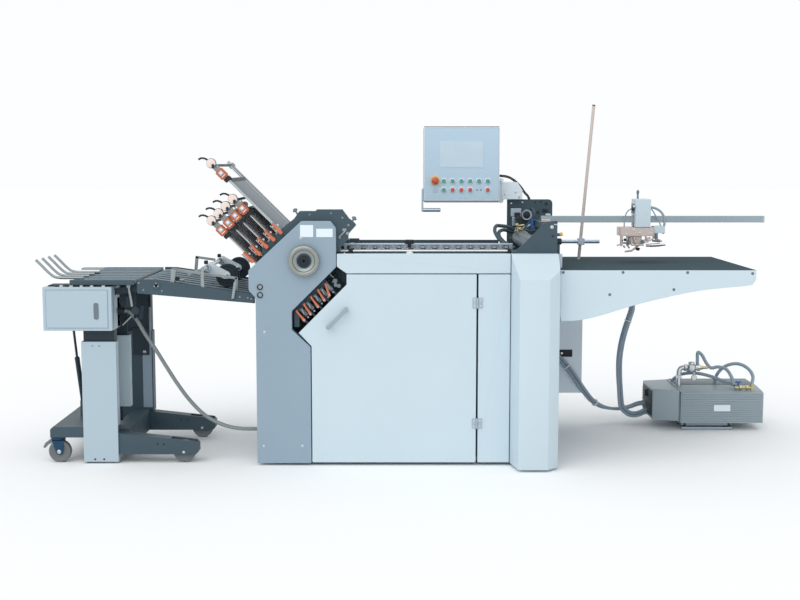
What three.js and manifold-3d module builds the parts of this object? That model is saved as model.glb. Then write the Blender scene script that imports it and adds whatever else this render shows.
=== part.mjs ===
// Paper folding machine: a buckle folder with its flat-pile feeder, its mobile delivery and its
// vacuum pump. Millimetres, +Z up. X runs from the delivery to the feeder, Y from the operator's
// side to the back. In the machine's own frame X is zero at the middle of the front view, Y is
// zero at the face of the front panels and Z is zero at the floor.
import * as THREE from "three";
import Module from "manifold-3d";
import { mergeVertices } from "three/addons/utils/BufferGeometryUtils.js";

const wasm = await Module();
wasm.setup();

// Where the middle of the footprint lies in the machine's own frame.
const footprint = { x: 100, y: 463 };

// Clearances and counts that all pieces share.
const seat = 0.3;
const running = 0.6;
const seam = 3;
const overrun = 6;
const bury = 1;
const fineSides = 16;
const roundSides = 12;
const plainSides = 8;
const wireSides = 6;
const cordSides = 8;
const mergeStep = 1e-3;
const half = 0.5;

// Finishes.
const finish = {
  white: { color: 0xdfe8ec, roughness: 0.4, metalness: 0.0 },
  greyBlue: { color: 0xa9bccb, roughness: 0.45, metalness: 0.0 },
  dark: { color: 0x525e66, roughness: 0.5, metalness: 0.1 },
  black: { color: 0x22262a, roughness: 0.6, metalness: 0.0 },
  steel: { color: 0xb4b8ba, roughness: 0.3, metalness: 1.0 },
  aluminium: { color: 0xa8b0b2, roughness: 0.4, metalness: 0.9 },
  orange: { color: 0xc7673a, roughness: 0.5, metalness: 0.0 },
  cream: { color: 0xe6d8d0, roughness: 0.5, metalness: 0.0 },
  pump: { color: 0x77838b, roughness: 0.5, metalness: 0.2 },
  hose: { color: 0x566069, roughness: 0.55, metalness: 0.0 },
  copper: { color: 0xc9a79c, roughness: 0.35, metalness: 0.8 },
  red: { color: 0xb3402e, roughness: 0.4, metalness: 0.0 },
  green: { color: 0x3f9a5a, roughness: 0.4, metalness: 0.0 },
  casterBlue: { color: 0x1f4a66, roughness: 0.5, metalness: 0.3 },
};

// Closed solids from three.js geometry, cut and joined.
function solidOf(geometry) {
  const bare = geometry.index ? geometry.toNonIndexed() : geometry.clone();
  for (const name of Object.keys(bare.attributes)) {
    if (name !== "position") bare.deleteAttribute(name);
  }
  const merged = mergeVertices(bare, mergeStep);
  const position = merged.attributes.position.array;
  const index = merged.index.array;
  const kept = [];
  let volume = 0;
  const a = new THREE.Vector3();
  const b = new THREE.Vector3();
  const c = new THREE.Vector3();
  for (let i = 0; i < index.length; i += 3) {
    const [p, q, r] = [index[i], index[i + 1], index[i + 2]];
    if (p === q || q === r || r === p) continue;
    kept.push(p, q, r);
    a.fromArray(position, 3 * p);
    b.fromArray(position, 3 * q);
    c.fromArray(position, 3 * r);
    volume += a.dot(b.cross(c));
  }
  if (volume < 0) {
    for (let i = 0; i < kept.length; i += 3) {
      [kept[i], kept[i + 1]] = [kept[i + 1], kept[i]];
    }
  }
  const mesh = new wasm.Mesh({
    numProp: 3,
    vertProperties: new Float32Array(position),
    triVerts: new Uint32Array(kept),
  });
  return new wasm.Manifold(mesh);
}

function geometryOf(solid) {
  const mesh = solid.getMesh();
  const geometry = new THREE.BufferGeometry();
  geometry.setAttribute("position", new THREE.BufferAttribute(mesh.vertProperties, mesh.numProp));
  geometry.setIndex(new THREE.BufferAttribute(mesh.triVerts, 1));
  geometry.computeVertexNormals();
  return geometry;
}

function join(...parts) {
  return parts.flat(2).reduce((whole, part) => whole.add(part));
}

function carve(body, ...tools) {
  return tools.flat(2).reduce((whole, tool) => whole.subtract(tool), body);
}

function block(x0, x1, y0, y1, z0, z1) {
  const geometry = new THREE.BoxGeometry(x1 - x0, y1 - y0, z1 - z0);
  geometry.translate((x0 + x1) * half, (y0 + y1) * half, (z0 + z1) * half);
  return solidOf(geometry);
}

function shapeOf(outline) {
  return new THREE.Shape(outline.map(([across, up]) => new THREE.Vector2(across, up)));
}

// A flat outline in X and Z, carried along Y.
function slab(outline, y0, y1) {
  const depth = y1 - y0;
  const geometry = new THREE.ExtrudeGeometry(shapeOf(outline), { depth, bevelEnabled: false });
  geometry.rotateX(Math.PI / 2);
  geometry.translate(0, y1, 0);
  return solidOf(geometry);
}

// A flat outline in X and Y, carried up Z.
function pillar(outline, z0, z1) {
  const depth = z1 - z0;
  const geometry = new THREE.ExtrudeGeometry(shapeOf(outline), { depth, bevelEnabled: false });
  geometry.translate(0, 0, z0);
  return solidOf(geometry);
}

// A flat outline in Y and Z, carried along X.
function beam(outline, x0, x1) {
  const depth = x1 - x0;
  const geometry = new THREE.ExtrudeGeometry(shapeOf(outline), { depth, bevelEnabled: false });
  geometry.rotateY(Math.PI / 2);
  geometry.rotateX(Math.PI / 2);
  geometry.translate(x0, 0, 0);
  return solidOf(geometry);
}

// A round bar between two points.
function rod(from, to, radius, sides = plainSides) {
  const start = new THREE.Vector3(...from);
  const end = new THREE.Vector3(...to);
  const geometry = new THREE.CylinderGeometry(radius, radius, start.distanceTo(end), sides);
  const along = end.clone().sub(start).normalize();
  const turn = new THREE.Quaternion().setFromUnitVectors(new THREE.Vector3(0, 1, 0), along);
  geometry.applyQuaternion(turn);
  const middle = start.add(end).multiplyScalar(half);
  geometry.translate(middle.x, middle.y, middle.z);
  return solidOf(geometry);
}

// A revolved profile of radius and place along Y, about the line through x and z.
function turned(profile, x, z, sides = fineSides) {
  const points = profile.map(([radius, along]) => new THREE.Vector2(radius, along));
  const geometry = new THREE.LatheGeometry(points, sides);
  geometry.translate(x, 0, z);
  return solidOf(geometry);
}

// A round section carried along a smooth line through points.
function hose(points, radius, sides, steps) {
  const path = new THREE.CatmullRomCurve3(points.map((point) => new THREE.Vector3(...point)));
  const section = [];
  for (let i = 0; i < sides; i += 1) {
    const angle = (2 * Math.PI * i) / sides;
    section.push([radius * Math.cos(angle), radius * Math.sin(angle)]);
  }
  const options = { steps, extrudePath: path, bevelEnabled: false };
  return solidOf(new THREE.ExtrudeGeometry(shapeOf(section), options));
}

// An outline with every edge moved inwards by a distance. The points run anticlockwise.
function inset(outline, distance) {
  const count = outline.length;
  const edges = outline.map((point, i) => {
    const next = outline[(i + 1) % count];
    const length = Math.hypot(next[0] - point[0], next[1] - point[1]);
    const along = [(next[0] - point[0]) / length, (next[1] - point[1]) / length];
    return { at: [point[0] - along[1] * distance, point[1] + along[0] * distance], along };
  });
  return edges.map((edge, i) => {
    const before = edges[(i + count - 1) % count];
    const cross = before.along[0] * edge.along[1] - before.along[1] * edge.along[0];
    const gap = [edge.at[0] - before.at[0], edge.at[1] - before.at[1]];
    const reach = (gap[0] * edge.along[1] - gap[1] * edge.along[0]) / cross;
    return [before.at[0] + before.along[0] * reach, before.at[1] + before.along[1] * reach];
  });
}

// A sheet-metal cover with its flanges turned back: open at the back or, if told, at the front.
function tray(outline, y0, y1, wall, openFront = false) {
  const inner = inset(outline, wall);
  const hollow = openFront
    ? slab(inner, y0 - overrun, y1 - wall)
    : slab(inner, y0 + wall, y1 + overrun);
  return carve(slab(outline, y0, y1), hollow);
}

// Each mesh is a named sub-part, and the groups place what is built in a frame of its own.
const machine = new THREE.Group();
machine.position.set(-footprint.x, -footprint.y, 0);

function addPiece(name, solid, look, parent = machine) {
  const mesh = new THREE.Mesh(geometryOf(solid), new THREE.MeshStandardMaterial(finish[look]));
  mesh.name = name;
  parent.add(mesh);
  return mesh;
}

// Base frame, the welded stand that all covers and side frames are fixed to.
const base = {
  left: -610,
  right: 686,
  front: 30,
  rear: 796,
  panBottom: 20,
  panTop: 32,
  footRadius: 26,
  footInset: 60,
  middlePost: 341,
  postWidth: 36,
  railTop: 900,
  railHeight: 34,
  wall: 4,
  wallTop: 925,
  endWallTop: 840,
  leftWallTop: 600,
  tableRailLeft: -222,
};
const rearPost = base.rear - base.wall - base.postWidth;
const endPost = base.right - base.postWidth;

// Outline values that the fold unit's cover, the door and the beam share.
const foldCover = {
  left: -628,
  shoulder: -658,
  topLeft: -427,
  topRight: -300,
  right: -277,
  notchLeft: -471,
  footRight: -390,
  bottom: 10,
  waist: 743,
  shoulderLow: 776,
  shoulderHigh: 863,
  top: 1077,
  topRightLow: 1047,
  notchTop: 877,
  notchHigh: 685,
  notchLow: 603,
  footTop: 528,
  wall: 4,
};
const door = {
  right: 333,
  bottom: 14,
  top: 846,
  mouthRight: -232,
  mouthHigh: 801,
  mouthLeft: -441,
  mouthLow: 590,
  depth: 22,
  wall: 3,
};
const beamCover = { top: 935, bottom: 850, cornerHigh: 880, right: 480, wall: 3 };

// The back of the stand follows the fold unit's outline as the front panels do.
const rearWallOutline = [
  [foldCover.footRight + seam, base.panBottom],
  [base.right, base.panBottom],
  [base.right, base.wallTop],
  [foldCover.right + seam, base.wallTop],
  [foldCover.right + seam, foldCover.notchTop - seam],
  [foldCover.notchLeft + seam, foldCover.notchHigh - seam],
  [foldCover.notchLeft + seam, foldCover.notchLow + seam],
  [foldCover.footRight + seam, foldCover.footTop + seam],
];

const hosePort = { left: 600, right: 640, depth: 32, suctionHeight: 720, blowHeight: 420, half: 22 };
const cableGland = { y: 100, z: 144, radius: 16, reach: 28 };

function baseFrame() {
  const feet = [];
  const footPlaces = [base.left + base.footInset, (base.left + base.right) * half];
  footPlaces.push(base.right - base.footInset);
  for (const x of footPlaces) {
    for (const y of [base.front + base.footInset, base.rear - base.footInset]) {
      feet.push(rod([x, y, 0], [x, y, base.panBottom + bury], base.footRadius, roundSides));
    }
  }
  const pan = block(base.left, base.right, base.front, base.rear, base.panBottom, base.panTop);
  const posts = [];
  for (const x of [base.middlePost, endPost]) {
    for (const y of [base.front, rearPost]) {
      const bottom = base.panTop - bury;
      posts.push(block(x, x + base.postWidth, y, y + base.postWidth, bottom, base.railTop));
    }
    const railLow = base.railTop - base.railHeight;
    posts.push(block(x, x + base.postWidth, base.front, base.rear - bury, railLow, base.railTop));
  }
  for (const y of [base.front, rearPost]) {
    const railLow = base.railTop - base.railHeight;
    const x0 = base.tableRailLeft;
    posts.push(block(x0, base.right - bury, y, y + base.postWidth, railLow, base.railTop));
  }
  const wall = slab(rearWallOutline, base.rear - base.wall, base.rear);
  const spare = base.postWidth * half;
  const endWall = block(
    base.right - base.wall,
    base.right,
    base.front + spare,
    base.rear - spare,
    base.panTop - bury,
    base.endWallTop,
  );
  const leftWall = block(
    base.left,
    base.left + base.wall,
    foldFrame.frontPlate + foldFrame.thick + running,
    foldFrame.rearPlate - running,
    base.panTop - bury,
    base.leftWallTop,
  );
  const ports = [hosePort.suctionHeight, hosePort.blowHeight].map((height) =>
    block(
      hosePort.left,
      hosePort.right,
      base.rear - bury,
      base.rear + hosePort.depth,
      height - hosePort.half,
      height + hosePort.half,
    ),
  );
  const gland = rod(
    [base.left - cableGland.reach, cableGland.y, cableGland.z],
    [base.left + bury, cableGland.y, cableGland.z],
    cableGland.radius,
    roundSides,
  );
  return join(pan, feet, posts, wall, endWall, leftWall, ports, gland);
}

// Fold unit: two dark side frames that carry the rollers and the fold plates.
const foldFrame = {
  frontPlate: 30,
  rearPlate: 608,
  thick: 12,
  left: -600,
  right: -231,
  lower: 34,
  tieRadius: 15,
  tieInset: 37,
  tieLow: 250,
  hood: 6,
};
const plateSlope = Math.PI / 4;
const root2 = Math.SQRT2;
// A point given by its distance out along the upper fold plates and its place across them.
function acrossPlates(out, across) {
  return [(across - out) / root2, (across + out) / root2];
}

const rollers = {
  out: 934,
  mainAcross: 347,
  radius: 25,
  shaft: 12,
  gap: 0.8,
  bodyClear: 3,
  shaftEnd: 660,
};
const upperAcross = rollers.mainAcross - 2 * rollers.radius - rollers.gap;
const mainRoller = acrossPlates(rollers.out, rollers.mainAcross);
const upperRoller = acrossPlates(rollers.out, upperAcross);

const motor = {
  x: -500,
  z: 132,
  radius: 72,
  front: 360,
  rear: 590,
  shaft: 12,
  chamfer: 12,
  capShare: 0.85,
  footShare: 0.8,
  footTopShare: 0.7,
};

// The head's steps, each from the one before, round from its top right corner.
const frameHead = {
  top: 1125,
  hoodInset: 18,
  hoodLong: 113,
  hoodDrop: 7,
  hoodStep: 6,
  crownLong: 69,
  neckRun: 23,
  neckDrop: 32,
  browRun: 46,
  browDrop: 36,
  mouthRun: 166,
  waistDrop: 72,
  eaveDrop: 20,
  noseRise: 12,
  noseRun: 15,
  noseStep: 13,
  noseLong: 36,
  noseDrop: 24,
  chinRun: 7,
  chinDrop: 30,
  jawDrop: 76,
};
const hoodRight = foldFrame.right - frameHead.hoodInset;
const hoodLeft = hoodRight - frameHead.hoodLong;
const crownRight = hoodLeft - frameHead.hoodStep;
const crownLeft = crownRight - frameHead.crownLong;
const crown = frameHead.top - frameHead.hoodDrop;
const neck = [crownLeft - frameHead.neckRun, crown - frameHead.neckDrop];
const mouthHigh = [neck[0] - frameHead.browRun, neck[1] - frameHead.browDrop];
const mouthLow = [mouthHigh[0] - frameHead.mouthRun, mouthHigh[1] - frameHead.mouthRun];
const eave = frameHead.top - frameHead.eaveDrop;
const brow = eave - frameHead.noseRise;
const nose = brow - frameHead.noseStep;
const noseLow = nose - frameHead.noseDrop;
const chin = noseLow - frameHead.chinDrop;
const frameOutline = [
  [foldFrame.left, foldFrame.lower],
  [foldCover.footRight - seam, foldFrame.lower],
  [foldCover.footRight - seam, foldCover.footTop],
  [foldCover.notchLeft + seam, foldCover.notchLow],
  [foldCover.notchLeft + seam, foldCover.notchHigh],
  [foldCover.right, foldCover.notchTop + seam],
  [foldFrame.right, chin - frameHead.jawDrop],
  [foldFrame.right, chin - seam],
  [foldFrame.right + frameHead.chinRun, chin],
  [foldFrame.right + frameHead.noseLong, noseLow],
  [foldFrame.right + frameHead.noseRun, nose],
  [foldFrame.right, brow],
  [foldFrame.right, eave],
  [hoodRight, frameHead.top],
  [hoodLeft, frameHead.top],
  [crownRight, crown],
  [crownLeft, crown],
  neck,
  mouthHigh,
  mouthLow,
  [foldFrame.left, mouthLow[1] - frameHead.waistDrop],
];
const tiePlaces = [
  [foldCover.topRight, foldCover.top - foldFrame.tieInset],
  [foldFrame.left + foldFrame.tieInset, foldCover.waist - foldFrame.tieInset],
  [foldCover.footRight - foldFrame.tieInset, foldFrame.tieLow],
];

function foldUnitFrame() {
  const { frontPlate, rearPlate, thick } = foldFrame;
  const front = slab(frameOutline, frontPlate, frontPlate + thick);
  const rear = slab(frameOutline, rearPlate, rearPlate + thick);
  const ties = tiePlaces.map(([x, z]) =>
    rod([x, frontPlate + bury, z], [x, rearPlate + bury, z], foldFrame.tieRadius),
  );
  const hood = slab(
    [
      [hoodRight, frameHead.top - foldFrame.hood],
      [hoodRight, frameHead.top],
      [hoodLeft, frameHead.top],
      [crownRight, crown],
      [crownLeft, crown],
      [crownLeft, crown - foldFrame.hood],
      [crownRight, crown - foldFrame.hood],
      [hoodLeft, frameHead.top - foldFrame.hood],
    ],
    frontPlate + bury,
    rearPlate + bury,
  );
  const bores = [mainRoller, upperRoller].map(([x, z]) =>
    rod([x, 0, z], [x, base.rear, z], rollers.shaft + running, roundSides),
  );
  const motorBore = rod(
    [motor.x, rearPlate - overrun, motor.z],
    [motor.x, rearPlate + thick + overrun, motor.z],
    motor.shaft + running,
    roundSides,
  );
  return carve(join(front, rear, ties, hood), bores, motorBore);
}

// Front cover of the fold unit, in grey-blue, with the handwheel's opening.
const coverOutline = [
  [foldCover.left, foldCover.bottom],
  [foldCover.footRight, foldCover.bottom],
  [foldCover.footRight, foldCover.footTop],
  [foldCover.notchLeft, foldCover.notchLow],
  [foldCover.notchLeft, foldCover.notchHigh],
  [foldCover.right, foldCover.notchTop],
  [foldCover.right, foldCover.topRightLow],
  [foldCover.topRight, foldCover.top],
  [foldCover.topLeft, foldCover.top],
  [foldCover.shoulder, foldCover.shoulderHigh],
  [foldCover.shoulder, foldCover.shoulderLow],
  [foldCover.left, foldCover.waist],
];

function foldFrameFront() {
  const body = tray(coverOutline, 0, foldFrame.frontPlate - seat, foldCover.wall);
  const bore = rod(
    [mainRoller[0], -overrun, mainRoller[1]],
    [mainRoller[0], foldFrame.frontPlate, mainRoller[1]],
    rollers.shaft + seam,
    roundSides,
  );
  return carve(body, bore);
}

// Back cover of the fold unit, over the drive.
function driveSideCover() {
  const low = base.panTop + seat;
  const outline = [
    [foldCover.left + seam, low],
    [foldCover.footRight, low],
    [foldCover.footRight, foldCover.footTop],
    [foldCover.notchLeft, foldCover.notchLow],
    [foldCover.notchLeft, foldCover.notchHigh],
    [foldCover.right, foldCover.notchTop],
    [foldCover.right, foldCover.topRightLow],
    [foldCover.topRight, foldCover.top],
    [foldCover.topLeft, foldCover.top],
    [foldCover.left + seam, foldCover.shoulderHigh],
  ];
  const front = foldFrame.rearPlate + foldFrame.thick + seat;
  return tray(outline, front, base.rear, foldCover.wall, true);
}

// Handwheel on the journal of the main fold roller.
const handwheel = {
  radius: 67,
  recess: 47,
  cap: 26,
  front: -34,
  back: -8,
  recessDeep: -20,
  capFront: -30,
};

function handwheelAndRoller() {
  const [x, z] = mainRoller;
  const rim = turned(
    [
      [0, handwheel.capFront],
      [handwheel.cap, handwheel.capFront],
      [handwheel.cap, handwheel.recessDeep],
      [handwheel.recess - seam, handwheel.recessDeep],
      [handwheel.recess, handwheel.front],
      [handwheel.radius - seam, handwheel.front],
      [handwheel.radius, handwheel.front + seam],
      [handwheel.radius, handwheel.back],
      [0, handwheel.back],
    ],
    x,
    z,
  );
  const bodyFront = foldFrame.frontPlate + foldFrame.thick + rollers.bodyClear;
  const bodyRear = foldFrame.rearPlate - rollers.bodyClear;
  const shaft = rod([x, handwheel.back - bury, z], [x, rollers.shaftEnd, z], rollers.shaft);
  const roller = rod([x, bodyFront, z], [x, bodyRear, z], rollers.radius, fineSides);
  return join(rim, shaft, roller);
}

function foldRollerUpper() {
  const [x, z] = upperRoller;
  const bodyFront = foldFrame.frontPlate + foldFrame.thick + rollers.bodyClear;
  const bodyRear = foldFrame.rearPlate - rollers.bodyClear;
  const shaft = rod([x, foldFrame.frontPlate + seat, z], [x, rollers.shaftEnd, z], rollers.shaft);
  return join(shaft, rod([x, bodyFront, z], [x, bodyRear, z], rollers.radius, fineSides));
}

// Drive motor under the fold rollers, its shaft through the rear side frame.
function driveMotor() {
  const { x, z, radius, front, rear, shaft } = motor;
  const cap = radius * motor.capShare;
  const body = turned(
    [
      [0, front],
      [cap, front],
      [radius, front + motor.chamfer],
      [radius, rear - motor.chamfer],
      [cap, rear],
      [0, rear],
    ],
    x,
    z,
    roundSides,
  );
  const footHalf = radius * motor.footShare;
  const foot = block(
    x - footHalf,
    x + footHalf,
    front + radius * half,
    rear - radius * half,
    base.panTop + seat,
    z - radius * motor.footTopShare,
  );
  const shaftEnd = foldFrame.rearPlate + foldFrame.thick + radius * half;
  const pulleyFront = foldFrame.rearPlate + foldFrame.thick + seam;
  const axle = rod([x, rear - bury, z], [x, shaftEnd, z], shaft);
  const pulley = rod([x, pulleyFront, z], [x, shaftEnd, z], radius * half, roundSides);
  return join(body, foot, axle, pulley);
}

// Fold plates: a grille of bars between two side rails, at 45 degrees to the floor. In the
// plates' own frame x runs out along the plate, y back and z down across the stack.
const plate = {
  count: 5,
  pitch: 44,
  topAcross: 361,
  inner: 1012,
  shortEnd: 1352,
  longEnd: 1524,
  front: 42.3,
  rear: 607.7,
  railWidth: 12,
  railThick: 14,
  gridThick: 8,
  gridBars: 9,
  barWidth: 26,
  crossBar: 12,
  counterOut: 1279,
  longCounterOut: 1449,
  counterLength: 42,
  counterThick: 36,
  counterFront: 14,
  window: 14,
  windowDeep: 3,
  sheetEnd: 1400,
  endGap: 84,
};
const knob = {
  fromEnd: 4,
  radius: 20.5,
  front: 10,
  back: 26,
  pin: 5,
  fingerThick: 6,
  fingerWide: 7,
  fingerReach: 34,
  fingerCurl: 46,
  fingerRise: 10,
  fingerTip: 5,
};
const clamp = {
  out: 1092,
  reach: 54,
  base: 8.5,
  tip: 5,
  front: 8,
  back: 24,
  pin: 4,
  rootShare: 0.8,
  lipShare: 1.4,
  bossSteps: 4,
};
const platesFrame = new THREE.Group();
platesFrame.rotation.y = -(Math.PI - plateSlope);
machine.add(platesFrame);

function plateAcross(number) {
  return plate.topAcross - number * plate.pitch;
}

function plateEnd(number) {
  return number === 0 ? plate.longEnd : plate.shortEnd;
}

function foldPlate(number) {
  const end = plateEnd(number);
  const long = number === 0;
  const { inner, front, rear, railWidth } = plate;
  const railHalf = plate.railThick * half;
  const gridHalf = plate.gridThick * half;
  const gridEnd = long ? plate.sheetEnd : end - plate.endGap;
  const parts = [];
  for (const y of [front, rear - railWidth]) {
    parts.push(block(inner, end, y, y + railWidth, -railHalf, railHalf));
  }
  const cross = [inner, gridEnd - plate.crossBar, end - plate.crossBar * 2];
  for (const x of cross) {
    const y0 = front + bury;
    parts.push(block(x, x + plate.crossBar, y0, rear - bury, -railHalf + bury, railHalf - bury));
  }
  const inside = rear - front - 2 * railWidth;
  if (long) {
    const y0 = front + railWidth - bury;
    const y1 = rear - railWidth + bury;
    parts.push(block(inner + bury, gridEnd, y0, y1, -gridHalf, gridHalf));
  } else {
    const step = inside / plate.gridBars;
    for (let i = 0; i < plate.gridBars; i += 1) {
      const y0 = front + railWidth + (i + half) * step - plate.barWidth * half;
      const y1 = y0 + plate.barWidth;
      parts.push(block(inner + bury, gridEnd, y0, y1, -gridHalf, gridHalf));
    }
  }
  const counterAt = long ? plate.longCounterOut : plate.counterOut;
  const counter = block(
    counterAt - plate.counterLength * half,
    counterAt + plate.counterLength * half,
    plate.counterFront,
    front + bury,
    -plate.counterThick * half,
    plate.counterThick * half,
  );
  const window = block(
    counterAt,
    counterAt + plate.window,
    plate.counterFront - overrun,
    plate.counterFront + plate.windowDeep,
    -plate.window * half,
    plate.window * half,
  );
  parts.push(carve(counter, window));
  const pinAt = end - knob.fromEnd - knob.radius;
  parts.push(rod([pinAt, knob.front + knob.pin, 0], [pinAt, front + bury, 0], knob.pin));
  return join(parts);
}

// A cream round knob with a curved black finger, turning on a pin of its plate.
function plateKnob(number) {
  const x = plateEnd(number) - knob.fromEnd - knob.radius;
  const disc = turned(
    [
      [0, knob.front],
      [knob.radius - seam * half, knob.front],
      [knob.radius, knob.front + seam * half],
      [knob.radius, knob.back],
      [0, knob.back],
    ],
    x,
    0,
    roundSides,
  );
  const wide = knob.fingerWide;
  const finger = slab(
    [
      [x, -wide],
      [x + knob.fingerReach, -wide - knob.fingerRise * half],
      [x + knob.fingerCurl, -wide * half],
      [x + knob.fingerCurl + knob.fingerTip, knob.fingerRise],
      [x + knob.fingerCurl - knob.fingerTip * half, knob.fingerRise],
      [x + knob.fingerReach, -knob.fingerRise * half + seam * half],
      [x, 0],
    ],
    knob.back - bury,
    knob.back + knob.fingerThick,
  );
  const bore = rod([x, knob.front + seam, 0], [x, plate.front, 0], knob.pin + running);
  return carve(join(disc, finger), bore);
}

// An orange lever that clamps its plate in the side frame.
function clampArm() {
  const outline = [];
  for (let i = 0; i <= clamp.bossSteps; i += 1) {
    const angle = Math.PI / 2 + (Math.PI * i) / clamp.bossSteps;
    outline.push([clamp.base * Math.cos(angle), clamp.base * Math.sin(angle)]);
  }
  outline.push([clamp.base, -clamp.base * clamp.rootShare]);
  outline.push([clamp.reach - clamp.tip, -clamp.tip]);
  outline.push([clamp.reach, -clamp.tip * clamp.lipShare]);
  outline.push([clamp.reach, clamp.tip]);
  outline.push([clamp.base, clamp.base * clamp.rootShare]);
  return slab(outline, clamp.front, clamp.back);
}

function clampLever() {
  const pin = rod([0, clamp.back - bury, 0], [0, foldFrame.frontPlate - seat, 0], clamp.pin);
  return join(clampArm(), pin);
}

for (let i = 0; i < plate.count; i += 1) {
  const across = plateAcross(i);
  const body = addPiece(`fold_plate_${i + 1}`, foldPlate(i), "aluminium", platesFrame);
  body.position.z = -across;
  const turner = addPiece(`plate_knob_${i + 1}`, plateKnob(i), "cream", platesFrame);
  turner.position.z = -across;
  const lever = addPiece(`clamp_lever_${i + 1}`, clampLever(), "orange", platesFrame);
  lever.position.set(clamp.out, 0, -across);
}

// Lower fold plates with their levers, hung in the stand behind the door.
const lower = {
  count: 5,
  pitch: 45,
  deepAcross: 337,
  rollerGap: 119,
  length: 242,
  leverSet: 12,
  comb: 12,
  combWide: 10,
  sheetThick: 6,
  leanDegrees: 3,
  endLeanDegrees: 22,
};
const lowerMouth = rollers.out - rollers.radius - lower.rollerGap;
const lowerEnd = lowerMouth - lower.length;
const lowerLeverOut = lowerMouth + lower.leverSet;

function lowerPlatePack() {
  const parts = [];
  const first = lower.deepAcross - (lower.count - 1) * lower.pitch;
  for (let i = 0; i < lower.count; i += 1) {
    const z = -(first + i * lower.pitch);
    const y0 = plate.front;
    const y1 = plate.rear;
    const railHalf = plate.railThick * half;
    for (const y of [y0, y1 - plate.railWidth]) {
      const yEnd = y + plate.railWidth;
      parts.push(block(lowerEnd, lowerMouth, y, yEnd, z - railHalf, z + railHalf));
    }
    const sheetHalf = lower.sheetThick * half;
    const sheetIn = lowerMouth - plate.crossBar * 2;
    parts.push(block(lowerEnd, sheetIn, y0 + bury, y1 - bury, z - sheetHalf, z + sheetHalf));
    const lean = i === lower.count - 1 ? lower.endLeanDegrees : lower.leanDegrees;
    const lever = clampArm()
      .rotate([0, 180 - lean, 0])
      .translate([lowerLeverOut, 0, z]);
    const boss = rod(
      [lowerLeverOut, clamp.back - bury, z],
      [lowerLeverOut, plate.front + plate.railWidth, z],
      clamp.pin,
    );
    parts.push(lever, boss);
  }
  const low = -(lower.deepAcross + lower.comb);
  const high = -(first - lower.comb);
  for (const y of [plate.front, plate.rear - lower.combWide]) {
    const inner = lowerMouth - bury;
    const outer = lowerLeverOut + lower.comb;
    parts.push(block(inner, outer, y, y + lower.combWide, low, high));
  }
  return join(parts);
}

// Covers of the stand.
const doorOutline = [
  [foldCover.footRight + seam + bury, door.bottom],
  [door.right, door.bottom],
  [door.right, door.top],
  [door.mouthRight, door.top],
  [door.mouthRight, door.mouthHigh],
  [door.mouthLeft, door.mouthLow],
  [foldCover.footRight + seam + bury, foldCover.footTop + seam],
];
const hinge = { radius: 5, out: -5, leaf: 3, wide: 22, half: 23, heights: [189, 721] };
const hingeAxis = door.right + hinge.radius - half;
const handle = { low: [-315, 615], high: [-230, 699], out: -36, radius: 8, post: 6 };

function hingeKnuckle(side, from, to, middle) {
  const z0 = middle + from;
  const z1 = middle + to;
  const pin = rod([hingeAxis, hinge.out, z0], [hingeAxis, hinge.out, z1], hinge.radius);
  const x0 = side < 0 ? hingeAxis - hinge.wide : hingeAxis + seam;
  const x1 = side < 0 ? hingeAxis - seam : hingeAxis + hinge.wide;
  const leafEnd = side < 0 ? hingeAxis : x0;
  const neckEnd = side < 0 ? x1 : hingeAxis;
  const leaf = block(x0, x1, -hinge.leaf, bury, z0, z1);
  const neck = block(
    Math.min(leafEnd, neckEnd) - bury,
    Math.max(leafEnd, neckEnd) + bury,
    -hinge.leaf - seam,
    -bury * half,
    z0,
    z1,
  );
  return join(leaf, neck, pin);
}

function accessDoor() {
  const body = tray(doorOutline, 0, door.depth, door.wall);
  const [x0, z0] = handle.low;
  const [x1, z1] = handle.high;
  const grip = rod([x0, handle.out, z0], [x1, handle.out, z1], handle.radius);
  const posts = [handle.low, handle.high].map(([x, z], i) => {
    const shift = (i === 0 ? 1 : -1) * handle.radius;
    return rod([x + shift, handle.out, z + shift], [x + shift, bury, z + shift], handle.post);
  });
  const knuckles = hinge.heights.map((z) => hingeKnuckle(-1, seat, hinge.half, z));
  return join(body, grip, posts, knuckles);
}

function topBeamCover() {
  const outline = [
    [foldCover.right + seam, beamCover.cornerHigh],
    [door.mouthRight, beamCover.bottom],
    [beamCover.right, beamCover.bottom],
    [beamCover.right, beamCover.top],
    [foldCover.right + seam, beamCover.top],
  ];
  return tray(outline, 0, base.front - seat, beamCover.wall);
}

function narrowPanel() {
  const outline = [
    [base.middlePost, door.bottom],
    [beamCover.right, door.bottom],
    [beamCover.right, door.top],
    [base.middlePost, door.top],
  ];
  const body = tray(outline, 0, base.front - seat, beamCover.wall);
  const knuckles = hinge.heights.map((z) => hingeKnuckle(1, -hinge.half, 0, z));
  return join(body, knuckles);
}

// The column cover stands proud of the panels and leans back at its top.
const column = {
  left: 483,
  right: 686,
  faceLeft: 510,
  faceRight: 637,
  proud: 128,
  cheek: 79,
  bottom: 10,
  shoulder: 833,
  top: 935,
  wall: 3,
};

function columnShape(margin, backMore) {
  const back = base.front - seat + backMore;
  const outline = [
    [column.left + margin, back],
    [column.left + margin, margin],
    [column.faceLeft + margin, -column.proud + margin],
    [column.faceRight - margin, -column.proud + margin],
    [column.right - margin, -column.cheek + margin],
    [column.right - margin, back],
  ];
  const body = pillar(outline, column.bottom + margin, column.top - margin);
  const rise = (column.top - column.shoulder) / column.proud;
  const out = column.proud + overrun;
  const lean = beam(
    [
      [-out, column.shoulder - overrun * rise - margin],
      [overrun, column.top + overrun * rise - margin],
      [overrun, column.top + 2 * column.proud],
      [-out, column.top + 2 * column.proud],
    ],
    column.left - overrun,
    column.right + overrun,
  );
  return carve(body, lean);
}

function columnCover() {
  return carve(columnShape(0, 0), columnShape(column.wall, overrun));
}

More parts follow.
